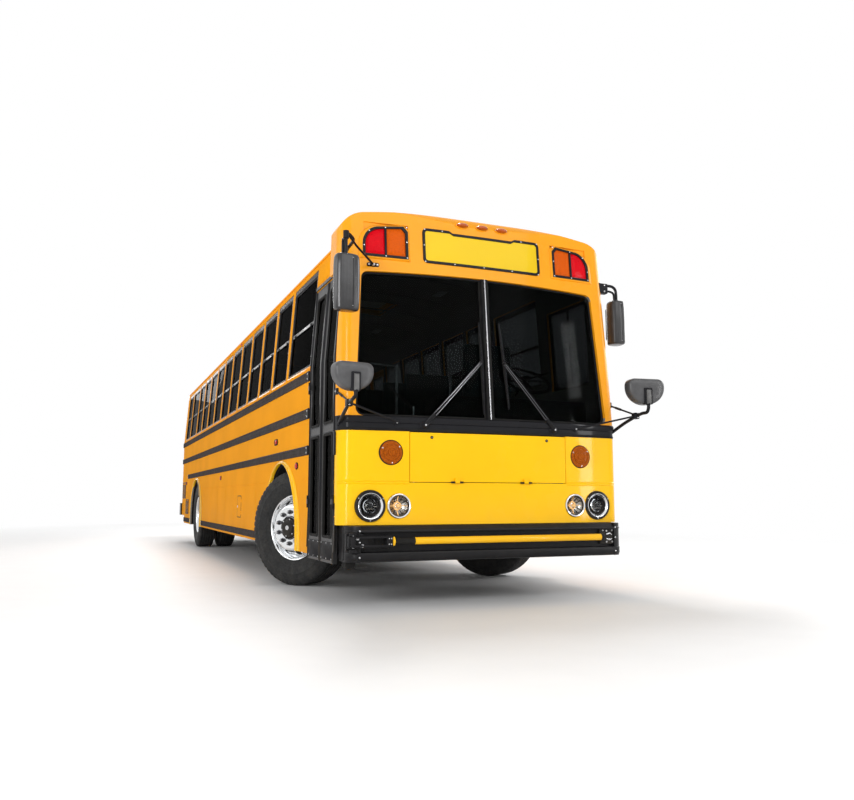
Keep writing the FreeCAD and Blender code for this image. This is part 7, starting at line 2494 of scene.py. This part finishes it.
class SCHOOLBUS_OT_roof_details(bpy.types.Operator):
    """Roof bow seams and rivets, gutter line and roof hatch fittings"""

    bl_idname = "school_bus.roof_details"
    bl_label = "Roof seams and hatches"

    def execute(self, context):
        shape = Shape()
        gutter = mm(-4, 2790, 10, 2792, 14, 2802, 10, 2806, 6, 2799, -4, 2806)
        for i in range(13):
            y = NOSE + 0.92 + BAY * (i + 1.31)
            for dy in (-0.02, 0.02):
                for x in spread(-0.92, 0.92, 24):
                    if on_hatch(x, y + dy):
                        continue
                    shape.bolt(level((x, y + dy, roof_height(x))), 0, 0, -0.001, *ROOF_RIVET, 0, 6)
        for side in SIDES:
            rows = [[(side * (TOP_HALF + a), y, z) for a, z in gutter]
                for y in spread(NOSE + 0.45, TAIL - 0.3, 20)]
            shape.skin(rows, 0)
        make_piece("roof_rivets_and_gutters", shape, ("plain paint",))
        for y0, y1, body in ROOF_HATCHES:
            lid = Shape()
            y = (y0 + y1) / 2
            top = level((0, y, HATCH_TOP))
            lid.ring(top, pad(0.322, 0.322, 0.06, 6), pad(0.3, 0.3, 0.05, 6), -0.004, 0.0004, 1, 0.0003)
            side_place = facing((0, y0, 3.134), -1)
            for x in (-0.2, 0.2):
                lid.plate(side_place, rounded(x - 0.04, x + 0.04, -0.012, 0.01, 0.004, 3), -0.002,
                    0.006, 2, 0.002)
            make_piece(f"{body}_trim", lid, ("hatch white", "soft rubber", "grey steel"), body=body)
        return {"FINISHED"}


class SCHOOLBUS_OT_underside(bpy.types.Operator):
    """Springs, dampers, drive shaft, tank straps, air tanks, exhaust and brake lines"""

    bl_idname = "school_bus.underside"
    bl_label = "Running gear"

    def execute(self, context):
        shape = Shape()
        for axle, z in ((FRONT_AXLE, 0.64), (REAR_AXLE, 0.69)):
            for x in (-0.5, 0.5):
                for k in range(5):
                    half = 0.62 - k * 0.1
                    rows = []
                    for t in spread(-half, half, 12):
                        zz = z - 0.012 * k + 0.1 * (t / 0.62) ** 2 - 0.02
                        rows.append([(x - 0.035, axle + t, zz), (x + 0.035, axle + t, zz),
                            (x + 0.035, axle + t, zz + 0.01), (x - 0.035, axle + t, zz + 0.01)])
                    shape.skin(rows, 0)
        shape.tube([(0.0, 3.43, 0.56), (0.0, 4.62, 0.8)], 0.052, 20, 1)
        for y in (-1.72, -1.39, -1.06):
            shape.tube([(0.43, y, 0.908), (1.136, y, 0.908), (1.136, y, 0.425),
                (0.43, y, 0.425)], 0.008, 8, 2)
        for x, y0 in ((-0.78, -1.9), (-0.78, -0.85)):
            place = on_plane((x, y0, 0.69), (1, 0, 0), (0, 0, 1), (0, 1, 0))
            shape.lathe(place, mm(0.5, 0, 80, 12, 135, 45, 140, 70, 140, 720, 135, 745, 80, 778,
                0.5, 790), 28, 3)
            for dy in (0.16, 0.6):
                ring = on_plane((x, y0 + dy, 0.69), (1, 0, 0), (0, 0, 1), (0, 1, 0))
                shape.lathe(ring, mm(139, 0, 147, 2, 147, 36, 139, 38), 28, 2, ends="open")
                shape.block((x + 0.1, y0 + dy + 0.004, 0.76), (x + 0.36, y0 + dy + 0.032, 0.9), 2)
        shape.tube(smooth_path([(-0.6, 4.3, 0.62), (-0.6, 4.9, 0.55), (-0.62, 5.3, 0.5),
            (-0.62, 5.62, 0.48)], 5), 0.055, 18, 4)
        for y in spread(-4.9, 3.7, 16):
            shape.block((-0.431, y, 0.7), (-0.423, y + 0.03, 0.78), 2)
        for x, z in mm(-437, 720, -437, 750, 437, 740):
            shape.tube([(x, y, z) for y in spread(-4.9, 4.4, 12)], 0.006, 6, 5)
        make_piece("running_gear", shape, ("cast iron", "exhaust steel", "chassis black", "satin black",
            "exhaust steel", "soft rubber"))
        return {"FINISHED"}


# ---------------------------------------------------------------- the add-on

OPERATORS = (
    SCHOOLBUS_OT_stage,
    SCHOOLBUS_OT_finishes,
    SCHOOLBUS_OT_destination_sign,
    SCHOOLBUS_OT_warning_lamps,
    SCHOOLBUS_OT_headlamps,
    SCHOOLBUS_OT_signal_lamps,
    SCHOOLBUS_OT_windshield_trim,
    SCHOOLBUS_OT_front_panel_details,
    SCHOOLBUS_OT_tyres,
    SCHOOLBUS_OT_rims,
    SCHOOLBUS_OT_rear_view_mirrors,
    SCHOOLBUS_OT_crossover_mirrors,
    SCHOOLBUS_OT_wipers,
    SCHOOLBUS_OT_front_bumper,
    SCHOOLBUS_OT_crossing_arm_base,
    SCHOOLBUS_OT_crossing_arm,
    SCHOOLBUS_OT_side_windows,
    SCHOOLBUS_OT_rub_rails,
    SCHOOLBUS_OT_arch_trims,
    SCHOOLBUS_OT_side_details,
    SCHOOLBUS_OT_entrance_doors,
    SCHOOLBUS_OT_stop_arm,
    SCHOOLBUS_OT_emergency_door,
    SCHOOLBUS_OT_seats,
    SCHOOLBUS_OT_cabin_fittings,
    SCHOOLBUS_OT_rear_end,
    SCHOOLBUS_OT_roof_details,
    SCHOOLBUS_OT_underside,
)


class SCHOOLBUS_PT_panel(bpy.types.Panel):
    """Lists the bus's pieces and the sizes and colours that can be changed"""

    bl_idname = "SCHOOLBUS_PT_panel"
    bl_label = "School Bus"
    bl_space_type = "VIEW_3D"
    bl_region_type = "UI"
    bl_category = "School Bus"

    def draw(self, context):
        column = self.layout.column()
        for group in (context.scene.school_bus_colours, context.scene.school_bus_sizes):
            for name in group.__annotations__:
                column.prop(group, name)
        for operator in OPERATORS:
            column.operator(operator.bl_idname)


CLASSES = (SchoolBusColours, SchoolBusSizes, *OPERATORS, SCHOOLBUS_PT_panel)


def register():
    """Adds the operators, the panel and the user's settings to Blender."""
    for item in CLASSES:
        bpy.utils.register_class(item)
    bpy.types.Scene.school_bus_colours = PointerProperty(type=SchoolBusColours)
    bpy.types.Scene.school_bus_sizes = PointerProperty(type=SchoolBusSizes)


def unregister():
    """Takes them out again."""
    del bpy.types.Scene.school_bus_sizes
    del bpy.types.Scene.school_bus_colours
    for item in reversed(CLASSES):
        bpy.utils.unregister_class(item)


def main():
    """Builds every piece in order."""
    register()
    for operator in OPERATORS:
        group, name = operator.bl_idname.split(".")
        getattr(getattr(bpy.ops, group), name)()


if __name__ == "__main__":
    main()
